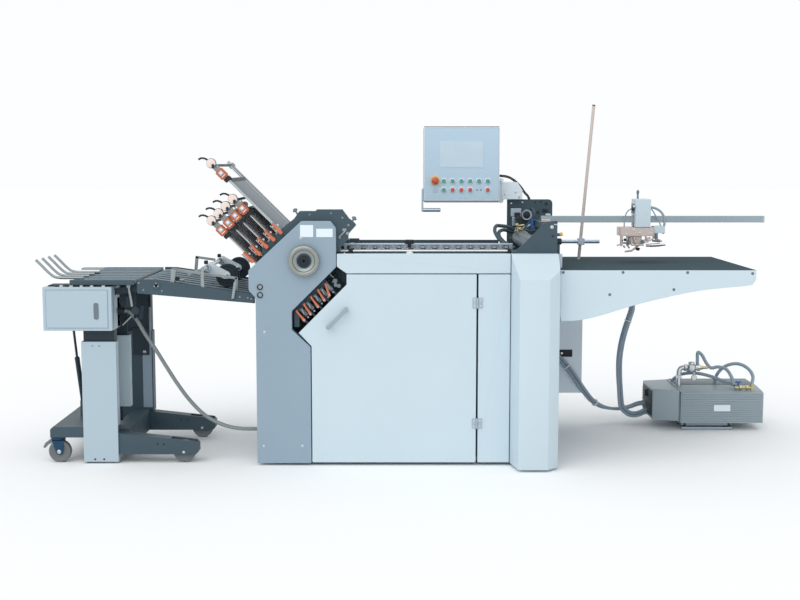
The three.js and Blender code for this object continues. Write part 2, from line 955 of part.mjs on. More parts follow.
// Register table with the ball rail that holds the sheets against its edge.
const table = {
  left: -226,
  right: 487,
  top: 930,
  thick: 12,
  skirt: 28,
  front: 34,
  rear: 790,
  edge: 16,
  edgeTop: 949,
};
const ballRail = {
  left: -224,
  right: 505,
  front: 192,
  rear: 222,
  height: 38,
  window: 40,
  windowLow: 13,
  windowHigh: 29,
  pitch: 54,
  first: -190,
  ball: 8.5,
  count: 13,
};

function registerTable() {
  const low = base.railTop + seat;
  const top = block(table.left, table.right, table.front, table.rear, table.top - table.thick,
    table.top);
  const skirts = [table.front, table.rear - table.skirt].map((y) =>
    block(table.left, table.right, y, y + table.skirt, low, table.top - bury),
  );
  const edge = block(table.left, table.right, table.rear - table.edge, table.rear,
    table.top - bury, table.edgeTop);
  return join(top, skirts, edge);
}

function ballHolder() {
  const low = table.top + seat;
  const bar = block(ballRail.left, ballRail.right, ballRail.front, ballRail.rear, low,
    low + ballRail.height);
  const windows = [];
  const balls = [];
  for (let i = 0; i < ballRail.count; i += 1) {
    const x = ballRail.first + i * ballRail.pitch;
    const x0 = x - ballRail.window * half;
    windows.push(
      block(x0, x0 + ballRail.window, ballRail.front - overrun, ballRail.rear + overrun,
        low + ballRail.windowLow, low + ballRail.windowHigh),
    );
    const ball = new THREE.SphereGeometry(ballRail.ball, plainSides, plainSides * half);
    const middle = (ballRail.windowLow + ballRail.windowHigh) * half;
    ball.translate(x, (ballRail.front + ballRail.rear) * half, low + middle);
    balls.push(solidOf(ball));
  }
  return join(carve(bar, windows), balls);
}

// Feeder side frames with their ties, the suction rail's seat and the guide pole.
const feeder = {
  frontPlate: 30,
  rearPlate: 741,
  thick: 12,
  left: 490,
  right: 684,
  lipLow: 937,
  lipLeft: 530,
  lipHigh: 969,
  peakLeft: 636,
  peak: 1073,
  top: 1077,
  rearLeft: 525,
  rearRight: 747,
  rearTop: 1150,
  corner: 20,
  seatLeft: 650,
  seatRight: 690,
  seatThick: 30,
  tieX: 668,
  tieZ: 954,
  tieRadius: 12,
  armY: 560,
  armRadius: 8,
  armEnd: 951,
  postLeft: 690,
  postThick: 10,
  postWide: 16,
  postLow: 908,
  postHigh: 972,
  posts: [66, 380, 690],
  boardRight: 544,
  boardThick: 12,
  boardTop: 929,
};
const rail = { left: 652, right: 1679, front: 365, size: 30, bottom: 1054 };
const pole = { footX: 857, topX: 918, y: 584, foot: 866.5, top: 1601, radius: 7.5, clamp: 15 };
const drum = { x: 586, z: 964, radius: 38, shaft: 10, clear: 4 };

function feederFrame() {
  const low = base.railTop + seat;
  const { frontPlate, rearPlate, thick } = feeder;
  const front = slab(
    [
      [feeder.left, low],
      [feeder.right, low],
      [feeder.right, feeder.top],
      [feeder.peakLeft, feeder.peak],
      [feeder.lipLeft, feeder.lipHigh],
      [feeder.left, feeder.lipLow],
    ],
    frontPlate,
    frontPlate + thick,
  );
  const rearOutline = [
    [feeder.rearLeft, low],
    [feeder.rearRight, low + 2 * overrun],
    [feeder.rearRight, feeder.rearTop - feeder.corner],
  ];
  const bendSteps = 4;
  for (let i = 1; i <= bendSteps; i += 1) {
    const angle = (Math.PI / 2) * (i / bendSteps);
    rearOutline.push([
      feeder.rearRight - feeder.corner + feeder.corner * Math.cos(angle),
      feeder.rearTop - feeder.corner + feeder.corner * Math.sin(angle),
    ]);
  }
  rearOutline.push([feeder.rearLeft, feeder.rearTop]);
  const rear = slab(rearOutline, rearPlate, rearPlate + thick);
  const railSeat = block(feeder.seatLeft, feeder.seatRight - seam * 2, frontPlate + bury,
    rearPlate + bury, rail.bottom - seat - feeder.seatThick, rail.bottom - seat);
  const tie = rod([feeder.tieX, frontPlate + bury, feeder.tieZ],
    [feeder.tieX, rearPlate + bury, feeder.tieZ], feeder.tieRadius);
  const arm = rod([feeder.tieX, feeder.armY, feeder.tieZ],
    [feeder.armEnd, feeder.armY, feeder.tieZ], feeder.armRadius);
  const stand = rod([pole.footX, pole.y, pole.foot], [pole.topX, pole.y, pole.top], pole.radius);
  const lean = (pole.topX - pole.footX) / (pole.top - pole.foot);
  const clampX = pole.footX + (feeder.tieZ - pole.foot) * lean;
  const grip = block(clampX - pole.clamp, clampX + pole.clamp, feeder.armY - pole.clamp * half,
    pole.y + pole.radius * half, feeder.tieZ - pole.clamp, feeder.tieZ + pole.clamp);
  const posts = feeder.posts.flatMap((y) => [
    block(feeder.postLeft, feeder.postLeft + feeder.postThick, y, y + feeder.postWide,
      feeder.postLow, feeder.postHigh),
    block(feeder.tieX, feeder.postLeft + bury, y, y + feeder.postWide,
      feeder.tieZ - feeder.armRadius, feeder.tieZ + feeder.armRadius),
  ]);
  const board = block(feeder.left, feeder.boardRight, frontPlate + bury, rearPlate + bury,
    feeder.boardTop - feeder.boardThick, feeder.boardTop);
  const drumBore = rod([drum.x, 0, drum.z], [drum.x, base.rear, drum.z], drum.shaft + running,
    roundSides);
  return carve(join(front, rear, railSeat, tie, arm, stand, grip, posts, board), drumBore);
}

function suctionDrum() {
  const front = feeder.frontPlate + seat;
  const rear = feeder.rearPlate + feeder.thick;
  const shaft = rod([drum.x, front, drum.z], [drum.x, rear, drum.z], drum.shaft, roundSides);
  const body = rod([drum.x, feeder.frontPlate + feeder.thick + drum.clear, drum.z],
    [drum.x, feeder.rearPlate - drum.clear, drum.z], drum.radius, fineSides);
  return join(shaft, body);
}

function suctionRail() {
  const y1 = rail.front + rail.size;
  return block(rail.left, rail.right, rail.front, y1, rail.bottom, rail.bottom + rail.size);
}

// Separator head: it rides on the suction rail and lifts the top sheet of the pile.
const head = {
  left: 1077,
  long: 71,
  cheek: 40,
  under: 21,
  over: 79,
  rodIn: 10,
  rodHigh: 48,
  rodRadius: 5,
  plateLeft: 67,
  plateRight: 16,
  plateThick: 40,
  plateInset: 5,
  bodyLeft: 30,
  bodyRight: 32,
  bodyDeep: 43,
  bodyInset: 14,
  sideLong: 55,
  sideRise: 10,
  sideThick: 37,
  sideDeep: 60,
  toeLong: 56,
  toeDrop: 34,
  toeRoot: 40,
  toeRadius: 4,
  sucker: 9,
  suckerDrop: 26,
};

function separatorHead() {
  const right = head.left + head.long;
  const front = rail.front - head.cheek;
  const rear = rail.front + rail.size + head.cheek;
  const bottom = rail.bottom - head.under;
  const top = rail.bottom + rail.size + head.over;
  const box = block(head.left, right, front, rear, bottom, top);
  const plateLeft = head.left - head.plateLeft;
  const plateRight = right + head.plateRight;
  const plateLow = bottom - head.plateThick;
  const plateFront = front + head.plateInset;
  const plateRear = rear - head.plateInset;
  const carrier = block(plateLeft, plateRight, plateFront, plateRear, plateLow, bottom + bury);
  const bodyFront = plateFront + head.bodyInset;
  const bodyRear = plateRear - head.bodyInset;
  const bodyRight = plateRight - head.bodyRight;
  const bodyLow = plateLow - head.bodyDeep;
  const body = block(plateLeft + head.bodyLeft, bodyRight, bodyFront, bodyRear, bodyLow,
    plateLow + bury);
  const sideLow = plateLow + head.sideRise;
  const side = block(plateRight - bury, plateRight + head.sideLong, bodyFront,
    bodyFront + head.sideDeep, sideLow, sideLow + head.sideThick);
  const rodX = head.left + head.rodIn;
  const rodY = (front + rear) * half;
  const topRod = rod([rodX, rodY, top - bury], [rodX, rodY, top + head.rodHigh], head.rodRadius);
  const toeRoot = [bodyRight - head.toeRoot, bodyLow + head.toeRadius + bury];
  const toes = [bodyFront + head.sucker, bodyRear - head.sucker].map((y) =>
    rod([toeRoot[0], y, toeRoot[1]], [toeRoot[0] - head.toeLong, y, toeRoot[1] - head.toeDrop],
      head.toeRadius, wireSides),
  );
  const suckers = [bodyFront, bodyRear].map((y, i) => {
    const at = y + (i === 0 ? 2 : -2) * head.sucker;
    const x = bodyRight - 2 * head.sucker;
    return rod([x, at, bodyLow - head.suckerDrop], [x, at, bodyLow + bury], head.sucker);
  });
  const slot = block(head.left - overrun, right + overrun, rail.front - running,
    rail.front + rail.size + running, rail.bottom - running, rail.bottom + rail.size + running);
  return carve(join(box, carrier, body, side, topRod, toes, suckers), slot);
}

// Pile table between its two side brackets, which climb the posts of the stand.
const pile = {
  left: 746,
  right: 1546,
  rear: 788,
  top: 865,
  thick: 20,
  sheet: 6,
  wall: 3,
  bracket: 20,
  root: 699,
  rootLow: 640,
  knee: 799,
  kneeLow: 648,
  sweepA: 1019,
  sweepALow: 711,
  sweepB: 1168,
  sweepBLow: 748,
  sweepC: 1297,
  sweepCLow: 774,
  tail: 1521,
  tailLow: 794,
  tailRound: 830,
  tie: 30,
  ties: [780, 1150, 1480],
  shoe: 60,
  shoeLow: 660,
};

function pileTable() {
  const outline = [
    [pile.root, pile.rootLow],
    [pile.knee, pile.kneeLow],
    [pile.sweepA, pile.sweepALow],
    [pile.sweepB, pile.sweepBLow],
    [pile.sweepC, pile.sweepCLow],
    [pile.tail, pile.tailLow],
    [pile.right - seam, (pile.tailLow + pile.tailRound) * half - seam],
    [pile.right, pile.tailRound],
    [pile.right, pile.top],
    [pile.root, pile.top],
  ];
  const low = pile.top - pile.thick;
  const tableTop = carve(
    block(pile.left, pile.right - bury, bury, pile.rear - bury, low, pile.top),
    block(pile.left + pile.sheet, pile.right - pile.sheet, pile.bracket + pile.sheet,
      pile.rear - pile.bracket - pile.sheet, low - overrun, pile.top - pile.sheet),
  );
  const parts = [
    tray(outline, 0, pile.bracket, pile.wall),
    tray(outline, pile.rear - pile.bracket, pile.rear, pile.wall, true),
    tableTop,
  ];
  for (const x of pile.ties) {
    const top = pile.top - pile.sheet + bury;
    parts.push(block(x, x + pile.tie, pile.wall - bury, pile.rear - pile.wall + bury,
      top - pile.tie, top));
  }
  const shoeX = base.right + running;
  const shoeTop = pile.top - pile.thick;
  for (const y of [pile.wall - bury, pile.rear - pile.bracket - pile.shoe]) {
    const depth = pile.shoe + pile.bracket - pile.wall + bury;
    parts.push(block(shoeX, pile.root + pile.tie, y, y + depth, pile.shoeLow, shoeTop));
  }
  return join(parts);
}

// Control panel on its swivelling bracket, with buttons that travel.
const panel = {
  left: 112,
  right: 479,
  front: 640,
  back: 700,
  bottom: 1139,
  top: 1500,
  corner: 14,
  cornerSteps: 3,
  wall: 4,
  face: 20,
  bezel: 6,
  screenLeft: 191,
  screenRight: 398,
  screenLow: 1308,
  screenTop: 1427,
  screenDeep: 2,
  gripStrip: 8,
  gripLow: 1092,
  gripTop: 1205,
  gripRod: 9,
  gripReach: 84,
};
const pivot = { x: 492, y: 715, radius: 14, pin: 6, earThick: 14, low: 1150, high: 1236 };
const post = { left: 530, right: 558, rear: 779, low: 960, top: 1222 };
const button = {
  firstX: 210.7,
  pitch: 42.3,
  columns: 6,
  rowHigh: 1240,
  rowLow: 1198,
  radius: 10,
  proud: 8,
  deep: 10,
  travel: 3.5,
  stopX: 168.8,
  stopZ: 1243,
  stopCap: 17,
  stopStem: 9,
  stopProud: 28,
  capThick: 12,
  collar: 22,
  collarProud: 6,
  domeShare: 0.7,
  domeLowShare: 0.12,
  domeHighShare: 0.45,
};

function roundedOutline(left, right, low, high, corner, steps) {
  const outline = [];
  const middles = [
    [right - corner, low + corner, -Math.PI / 2],
    [right - corner, high - corner, 0],
    [left + corner, high - corner, Math.PI / 2],
    [left + corner, low + corner, Math.PI],
  ];
  for (const [x, z, from] of middles) {
    for (let i = 0; i <= steps; i += 1) {
      const angle = from + ((Math.PI / 2) * i) / steps;
      outline.push([x + corner * Math.cos(angle), z + corner * Math.sin(angle)]);
    }
  }
  return outline;
}

function buttonWell(x, z, radius, deep) {
  const y0 = panel.front - button.collarProud - overrun;
  return rod([x, y0, z], [x, panel.front + deep, z], radius + running, roundSides);
}

const startPlace = [button.firstX, button.rowLow];
const stopPlace = [button.firstX + (button.columns - 1) * button.pitch, button.rowLow];

function controlPanel() {
  const { left, right, bottom, top, corner, cornerSteps } = panel;
  const outline = roundedOutline(left, right, bottom, top, corner, cornerSteps);
  const hollow = block(panel.left + panel.wall, panel.right - panel.wall,
    panel.front + panel.face, panel.back - panel.wall, panel.bottom - overrun,
    panel.top - panel.wall);
  let body = carve(slab(outline, panel.front, panel.back), hollow);
  const screen = block(panel.screenLeft, panel.screenRight, panel.front - overrun,
    panel.front + panel.screenDeep, panel.screenLow, panel.screenTop);
  body = carve(body, screen);
  const collar = rod([button.stopX, panel.front - button.collarProud, button.stopZ],
    [button.stopX, panel.front + bury, button.stopZ], button.collar, roundSides);
  const fixed = [];
  for (const z of [button.rowHigh, button.rowLow]) {
    for (let i = 0; i < button.columns; i += 1) {
      const x = button.firstX + i * button.pitch;
      const travels = z === button.rowLow && (i === 0 || i === button.columns - 1);
      const blank = z === button.rowLow && i === button.columns - 2;
      if (!travels && !blank) {
        fixed.push(rod([x, panel.front - button.proud, z], [x, panel.front + bury, z],
          button.radius, plainSides));
      }
    }
  }
  const strip = block(panel.left - panel.gripStrip + bury, panel.left + bury,
    panel.front + panel.bezel, panel.front + panel.bezel + 3 * panel.gripRod, panel.gripLow,
    panel.gripTop);
  const gripY = panel.front + panel.bezel + panel.gripRod;
  const gripZ = panel.gripLow + panel.gripRod;
  const grip = rod([panel.left - bury, gripY, gripZ],
    [panel.left + panel.gripReach, gripY, gripZ], panel.gripRod, plainSides);
  const ears = [pivot.low - pivot.earThick, pivot.high + seat].map((z) =>
    join(
      block(panel.right - 3 * pivot.radius, pivot.x, panel.back - bury, pivot.y + pivot.radius, z,
        z + pivot.earThick),
      rod([pivot.x, pivot.y, z], [pivot.x, pivot.y, z + pivot.earThick], pivot.radius,
        roundSides),
    ),
  );
  const pinBore = rod([pivot.x, pivot.y, pivot.low - 3 * pivot.earThick],
    [pivot.x, pivot.y, pivot.high + 3 * pivot.earThick], pivot.pin + running, roundSides);
  const wells = [
    buttonWell(...startPlace, button.radius, button.deep + button.travel + seat),
    buttonWell(...stopPlace, button.radius, button.deep + button.travel + seat),
    buttonWell(button.stopX, button.stopZ, button.stopStem, button.deep + 2 * button.travel),
  ];
  return carve(join(body, collar, fixed, strip, grip, ears), pinBore, wells);
}

function panelBracket() {
  const low = pivot.low + seat;
  const arm = join(
    block(pivot.x, post.right, pivot.y - pivot.radius, pivot.y + pivot.radius, low, pivot.high),
    rod([pivot.x, pivot.y, low], [pivot.x, pivot.y, pivot.high], pivot.radius, roundSides),
    block(post.left, post.right, pivot.y, post.rear, low + pivot.earThick, pivot.high),
  );
  const pin = rod([pivot.x, pivot.y, pivot.low - pivot.earThick - seam],
    [pivot.x, pivot.y, pivot.high + pivot.earThick + seam], pivot.pin, roundSides);
  const upright = block(post.left, post.right, feeder.rearPlate + feeder.thick + seat, post.rear,
    post.low, post.top);
  return join(arm, pin, upright);
}

function pushButton([x, z]) {
  return rod([x, panel.front - button.proud, z], [x, panel.front + button.deep, z],
    button.radius, roundSides);
}

function emergencyStop() {
  const front = panel.front - button.stopProud;
  const { stopX, stopZ, stopCap, stopStem, capThick } = button;
  const profile = [
    [0, front],
    [stopCap * button.domeShare, front + capThick * button.domeLowShare],
    [stopCap, front + capThick * button.domeHighShare],
    [stopCap, front + capThick],
    [stopStem, front + capThick],
    [stopStem, panel.front + button.deep],
    [0, panel.front + button.deep],
  ];
  return turned(profile, stopX, stopZ, roundSides);
}

// Electrical box at the back of the stand, held off it on two pads.
const eBox = {
  left: 560,
  right: 918,
  front: 836,
  rear: 996,
  low: 171,
  top: 636,
  pad: 36,
  wall: 4,
  cableHole: 10,
  holePitch: 60,
};

function electricalBox() {
  const middleX = (eBox.left + eBox.right) * half;
  const middleY = (eBox.front + eBox.rear) * half;
  const cableHoles = [-eBox.holePitch, eBox.holePitch].map((shift) =>
    rod([middleX + shift, middleY, eBox.low - overrun],
      [middleX + shift, middleY, eBox.low + eBox.wall + overrun], eBox.cableHole),
  );
  const body = carve(
    block(eBox.left, eBox.right, eBox.front, eBox.rear, eBox.low, eBox.top),
    block(eBox.left + eBox.wall, eBox.right - eBox.wall, eBox.front + eBox.wall,
      eBox.rear - eBox.wall, eBox.low + eBox.wall, eBox.top - eBox.wall),
    cableHoles,
  );
  const pads = [eBox.low + eBox.pad, eBox.top - 2 * eBox.pad].map((z) =>
    block(eBox.left + seam, eBox.left + seam + eBox.pad, base.rear + seat, eBox.front + bury, z,
      z + eBox.pad),
  );
  return join(body, pads);
}

// Vacuum pump: a ribbed housing, a hood at its left end and the valve on top.
const pump = {
  left: 1390,
  right: 1806,
  front: 724,
  rear: 1054,
  bottom: 38,
  brow: 193,
  crest: 846,
  top: 234,
  ribs: 14,
  ribDeep: 5,
  ribGap: 5,
  ribStart: 12,
  footLeft: 1408,
  footRight: 1660,
  footInset: 30,
  footThick: 16,
  hoodLeft: 1262,
  hoodInset: 36,
  hoodLow: 52,
  hoodTop: 200,
  cap: 18,
  capHeight: 164,
};

// The housing's section in Y and Z, with a margin all round.
function pumpSection(margin) {
  return [
    [pump.front - margin, pump.bottom - margin],
    [pump.rear + margin, pump.bottom - margin],
    [pump.rear + margin, pump.top + margin],
    [pump.crest, pump.top + margin],
    [pump.front - margin, pump.brow + margin],
  ];
}

function pumpHousing() {
  let body = beam(pumpSection(0), pump.left, pump.right);
  const step = (pump.brow - pump.bottom) / pump.ribs;
  const grooves = [];
  for (let i = 1; i < pump.ribs; i += 1) {
    const z = pump.bottom + i * step - pump.ribGap * half;
    grooves.push(block(pump.left + pump.ribStart, pump.right + overrun, pump.front - overrun,
      pump.front + pump.ribDeep, z, z + pump.ribGap));
  }
  body = carve(body, grooves);
  const feet = [];
  for (const x of [pump.footLeft, pump.footRight - pump.footThick]) {
    feet.push(block(x, x + pump.footThick, pump.front + pump.footInset,
      pump.rear - pump.footInset, 0, pump.bottom + bury));
  }
  const plank = block(pump.footLeft, pump.footRight, pump.front + pump.footInset,
    pump.rear - pump.footInset, pump.footThick, pump.bottom + bury);
  const hoodY0 = pump.front + seam;
  const hoodOutline = [
    [pump.hoodLeft, pump.front + pump.hoodInset],
    [pump.left + bury, hoodY0],
    [pump.left + bury, pump.rear - seam],
    [pump.hoodLeft, pump.rear - pump.hoodInset],
  ];
  const hood = pillar(hoodOutline, pump.hoodLow, pump.hoodTop);
  const capY = (pump.front + pump.rear) * half;
  const cap = rod([pump.hoodLeft - pump.cap, capY, pump.capHeight],
    [pump.hoodLeft + bury, capY, pump.capHeight], pump.cap, roundSides);
  return join(body, feet, plank, hood, cap);
}

const valve = {
  elbow: [1406, 828],
  elbowRadius: 13,
  bend: 302,
  bodyX: 1468,
  bodyRadius: 26,
  bodyHalf: 22,
  outlet: 1535,
  teeX: 1777,
  teeRadius: 11,
  teeTop: 262,
  hoseRadius: 9,
  hoseSteps: 14,
};
const valveLoops = [
  [
    [1500, 828, 306],
    [1499, 832, 340],
    [1503, 838, 378],
    [1522, 842, 366],
    [1548, 842, 322],
    [1572, 842, 298],
    [1612, 846, 304],
    [1656, 850, 298],
    [1704, 850, 268],
    [1730, 842, 246],
  ],
  [
    [1777, 834, 258],
    [1790, 850, 280],
    [1770, 890, 306],
    [1720, 930, 316],
    [1664, 950, 298],
    [1624, 955, 262],
    [1606, 955, 216],
  ],
];

function pumpValve() {
  const [x, y] = valve.elbow;
  const low = pump.brow;
  const riser = rod([x, y, low], [x, y, valve.bend], valve.elbowRadius);
  const ballJoint = new THREE.SphereGeometry(valve.elbowRadius, plainSides, wireSides);
  ballJoint.translate(x, y, valve.bend);
  const run = rod([x, y, valve.bend], [valve.outlet, y, valve.bend], valve.elbowRadius);
  const body = rod([valve.bodyX, y, valve.bend - valve.bodyHalf],
    [valve.bodyX, y, valve.bend + valve.bodyHalf], valve.bodyRadius, roundSides);
  const teeFoot = rod([valve.teeX, y, low], [valve.teeX, y, valve.teeTop], valve.teeRadius);
  const teeHeight = pump.top + valve.teeRadius + bury;
  const teeRun = rod([valve.teeX - 2 * valve.bodyRadius, y, teeHeight], [valve.teeX, y, teeHeight],
    valve.teeRadius);
  const loops = valveLoops.map((points) => hose(points, valve.hoseRadius, wireSides, valve.hoseSteps));
  const under = beam(pumpSection(seat), pump.left - pump.cap, pump.right + pump.cap);
  return carve(join(riser, solidOf(ballJoint), run, body, teeFoot, teeRun, loops), under);
}

// Mobile delivery: base with legs and outer columns.
const trolley = {
  front: 44,
  rear: 560,
  legWide: 60,
  legLeft: -1551,
  legRight: -895,
  legLow: 40,
  legTop: 136,
  legTip: 98,
  armLow: 116,
  armTop: 164,
  columnLeft: -1398,
  columnRight: -1251,
  rearColumnLeft: -1340,
  rearColumnRight: -1192,
  columnTop: 540,
  rearColumnTop: 524,
  columnWall: 5,
  beamLeft: -1290,
  beamRight: -1210,
  beamTop: 150,
  wheelX: -960,
  wheelRadius: 50,
  wheelWide: 28,
  wheelClear: 8,
  axle: 6,
  casterX: -1523,
  corner: 12,
  hubShare: 0.72,
  tyreShare: 0.76,
};
const columnSkin = { left: -1401.3, right: -1247.7, front: 36, depth: 50, low: 8, top: 546, wall: 3 };
const inner = { wall: 6, gap: 0.3, bottom: 210, top: 800 };
const strut = { x: -1466, topY: 160, topZ: 579, lowY: 300, lowZ: 236, radius: 11, share: 0.62 };
const caster = {
  plate: 6,
  plateHalf: 32,
  stem: 10,
  stemGap: 3,
  forkWide: 40,
  forkThick: 4,
  trail: 8,
  pedal: 34,
  axleHalf: 8,
  shoulderShare: 0.7,
  pedalRootShare: 0.6,
};

function trolleyLeg(y) {
  const outline = [
    [trolley.columnLeft, trolley.armLow],
    [trolley.columnLeft, trolley.legLow + 2 * caster.plate],
    [trolley.columnRight + trolley.legLow, trolley.legLow],
    [trolley.legRight - trolley.corner, trolley.legLow],
    [trolley.legRight, trolley.legLow + trolley.corner],
    [trolley.legRight, trolley.legTip - trolley.corner],
    [trolley.legRight - trolley.corner, trolley.legTip],
    [trolley.columnRight, trolley.legTop],
    [trolley.columnRight, trolley.armTop],
    [trolley.legLeft + trolley.corner, trolley.armTop],
    [trolley.legLeft, trolley.armTop - trolley.corner],
    [trolley.legLeft, trolley.armLow],
  ];
  const body = slab(outline, y, y + trolley.legWide);
  const half0 = trolley.wheelWide * half + trolley.wheelClear;
  const middle = y + trolley.legWide * half;
  const reach = trolley.wheelRadius + trolley.wheelClear;
  const well = block(trolley.wheelX - reach, trolley.wheelX + reach, middle - half0,
    middle + half0, 0, trolley.legTop);
  const axle = rod([trolley.wheelX, y + bury, trolley.wheelRadius],
    [trolley.wheelX, y + trolley.legWide - bury, trolley.wheelRadius], trolley.axle);
  return join(carve(body, well), axle);
}

// A square tube, open at its top.
function openTube(left, right, front, rear, low, top, wall) {
  const outside = block(left, right, front, rear, low, top);
  const inside = block(left + wall, right - wall, front + wall, rear - wall, low + wall,
    top + overrun);
  return carve(outside, inside);
}

const frontTube = {
  left: trolley.columnLeft,
  right: trolley.columnRight,
  front: trolley.front,
  rear: trolley.front + trolley.legWide,
};
const rearTube = {
  left: trolley.rearColumnLeft,
  right: trolley.rearColumnRight,
  front: trolley.rear,
  rear: trolley.rear + trolley.legWide,
};

function deliveryBase() {
  const parts = [trolleyLeg(trolley.front), trolleyLeg(trolley.rear)];
  const tubes = [
    [frontTube, trolley.columnTop],
    [rearTube, trolley.rearColumnTop],
  ];
  for (const [tube, top] of tubes) {
    parts.push(openTube(tube.left, tube.right, tube.front, tube.rear, trolley.legTop - bury, top,
      trolley.columnWall));
  }
  parts.push(block(trolley.beamLeft, trolley.beamRight, trolley.front + trolley.legWide - bury,
    trolley.rear + bury, trolley.legLow + overrun, trolley.beamTop - overrun));
  const lengthY = strut.topY - strut.lowY;
  const lengthZ = strut.topZ - strut.lowZ;
  const upper = [strut.x, strut.lowY + lengthY * strut.share, strut.lowZ + lengthZ * strut.share];
  parts.push(rod([strut.x, strut.lowY, strut.lowZ], upper, strut.radius));
  parts.push(block(strut.x - strut.radius, strut.x + strut.radius, strut.lowY - strut.radius,
    strut.lowY + strut.radius, trolley.armTop - overrun, strut.lowZ));
  parts.push(block(trolley.legLeft + trolley.corner, trolley.columnLeft + overrun,
    trolley.front + trolley.legWide - bury, trolley.rear + bury, trolley.armLow + overrun,
    trolley.armTop));
  return join(parts);
}

function deliveryColumnCover() {
  const { left, right, front, depth, low, top, wall } = columnSkin;
  const outside = block(left, right, front, front + depth, low, top);
  const inside = block(left + wall, right - wall, front + wall, front + depth + overrun,
    low + wall, top + overrun);
  const legGap = block(right - wall - overrun, right + overrun, trolley.front - seam,
    front + depth + overrun, trolley.legLow - seam, trolley.armTop + seam);
  const armGap = block(left - overrun, left + wall + overrun, trolley.front - seam,
    front + depth + overrun, trolley.legLow - seam, trolley.armTop + seam);
  return carve(outside, inside, legGap, armGap);
}

// Lift frame: the inner columns with the cross tubes that carry the belts.
const liftHead = {
  low: 770,
  tube: 30,
  armThick: 8,
  armFront: 66,
  armRear: 612,
  hubX: -1064,
  hubZ: 796,
  hubRise: 12,
  pin: 8,
};

function liftFrame() {
  const parts = [];
  for (const tube of [frontTube, rearTube]) {
    const x0 = tube.left + trolley.columnWall + inner.gap;
    const x1 = tube.right - trolley.columnWall - inner.gap;
    const y0 = tube.front + trolley.columnWall + inner.gap;
    const y1 = tube.rear - trolley.columnWall - inner.gap;
    const high = inner.top - liftHead.tube;
    parts.push(carve(
      block(x0, x1, y0, y1, inner.bottom, high),
      block(x0 + inner.wall, x1 - inner.wall, y0 + inner.wall, y1 - inner.wall,
        inner.bottom - overrun, high - inner.wall),
    ));
  }
  const tubeFront = frontTube.front + 2 * trolley.columnWall;
  const tubeRear = rearTube.rear - 2 * trolley.columnWall;
  for (const x of [trolley.columnLeft + liftHead.tube, trolley.columnRight - liftHead.tube * 2]) {
    parts.push(block(x, x + liftHead.tube, tubeFront, tubeRear, liftHead.low - liftHead.tube,
      liftHead.low + bury));
  }
  const armLeft = trolley.columnRight - liftHead.tube * 2;
  for (const y of [liftHead.armFront, liftHead.armRear - liftHead.armThick]) {
    parts.push(slab(
      [
        [armLeft, liftHead.low - liftHead.tube],
        [liftHead.hubX, liftHead.hubZ - 2 * liftHead.pin],
        [liftHead.hubX + 2 * liftHead.pin, liftHead.hubZ],
        [liftHead.hubX, liftHead.hubZ + liftHead.hubRise],
        [armLeft, liftHead.low],
      ],
      y,
      y + liftHead.armThick,
    ));
  }
  const { hubX, hubZ } = liftHead;
  parts.push(rod([hubX, conveyor.front - seam, hubZ],
    [hubX, liftHead.armFront + bury, hubZ], liftHead.pin));
  parts.push(rod([hubX, liftHead.armRear - bury, hubZ],
    [hubX, conveyor.rear + seam, hubZ], liftHead.pin));
  return join(parts);
}

// Belt table with the four bars that hold the finished pile back.
const belts = {
  left: -1440,
  right: -1157,
  front: 20,
  rear: 700,
  top: 817,
  side: 8,
  sideLow: 801,
  sideTop: 821,
  deck: 12,
};
const belt = { count: 8, wide: 40, thick: 3, inset: 14 };
const pileBars = {
  first: 78,
  pitch: 99,
  count: 4,
  radius: 6,
  tipX: -1601,
  tipZ: 902,
  bendX: -1524,
  end: -1392,
  rise: 9,
};

function beltTable() {
  const deck = block(belts.left, belts.right, belts.front, belts.rear, belts.top - belts.deck,
    belts.top);
  const sides = [belts.front, belts.rear - belts.side].map((y) =>
    block(belts.left, belts.right, y, y + belts.side, belts.sideLow, belts.sideTop),
  );
  const feet = [frontTube.front + 2 * trolley.columnWall, rearTube.rear - 6 * trolley.columnWall];
  const legs = feet.map((y) =>
    block(trolley.columnLeft + liftHead.tube, trolley.columnRight - liftHead.tube, y,
      y + 2 * trolley.columnWall, liftHead.low + bury + seat, belts.top - bury),
  );
  const bars = [];
  for (let i = 0; i < pileBars.count; i += 1) {
    const y = pileBars.first + i * pileBars.pitch;
    const z = belts.top + pileBars.rise;
    bars.push(rod([pileBars.bendX, y, z], [pileBars.end, y, z], pileBars.radius, wireSides));
    bars.push(rod([pileBars.tipX, y, pileBars.tipZ], [pileBars.bendX, y, z], pileBars.radius,
      wireSides));
    bars.push(block(belts.left + seam, belts.left + 5 * seam, y - pileBars.radius,
      y + pileBars.radius, belts.top - bury, z));
    bars.push(block(pileBars.end - 5 * seam, pileBars.end - seam, y - pileBars.radius,
      y + pileBars.radius, belts.top - bury, z));
  }
  return join(deck, sides, legs, bars);
}

// Flat belts side by side, each with a like side outline.
function beltRow(outline, front, rear) {
  const strips = [];
  const step = (rear - front - 2 * belt.inset) / belt.count;
  for (let i = 0; i < belt.count; i += 1) {
    const middle = front + belt.inset + (i + half) * step;
    strips.push(slab(outline, middle - belt.wide * half, middle + belt.wide * half));
  }
  return strips;
}

// Inclined conveyor from the fold unit up to the belt table, with its two side guides.
const conveyor = {
  left: -1149,
  right: -634,
  front: 30,
  rear: 700,
  plate: 10,
  leftTop: 822,
  kneeX: -1089,
  kneeTop: 821,
  rightTop: 757,
  rightLow: 716,
  leftLow: 760,
  deckLeft: -1143,
  deckDrop: 10,
  deckThick: 8,
  boss: 18,
};
const deckSlope = (conveyor.kneeTop - conveyor.rightTop) / (conveyor.right - conveyor.kneeX);

function conveyorTop(x) {
  return conveyor.rightTop + (conveyor.right - x) * deckSlope;
}

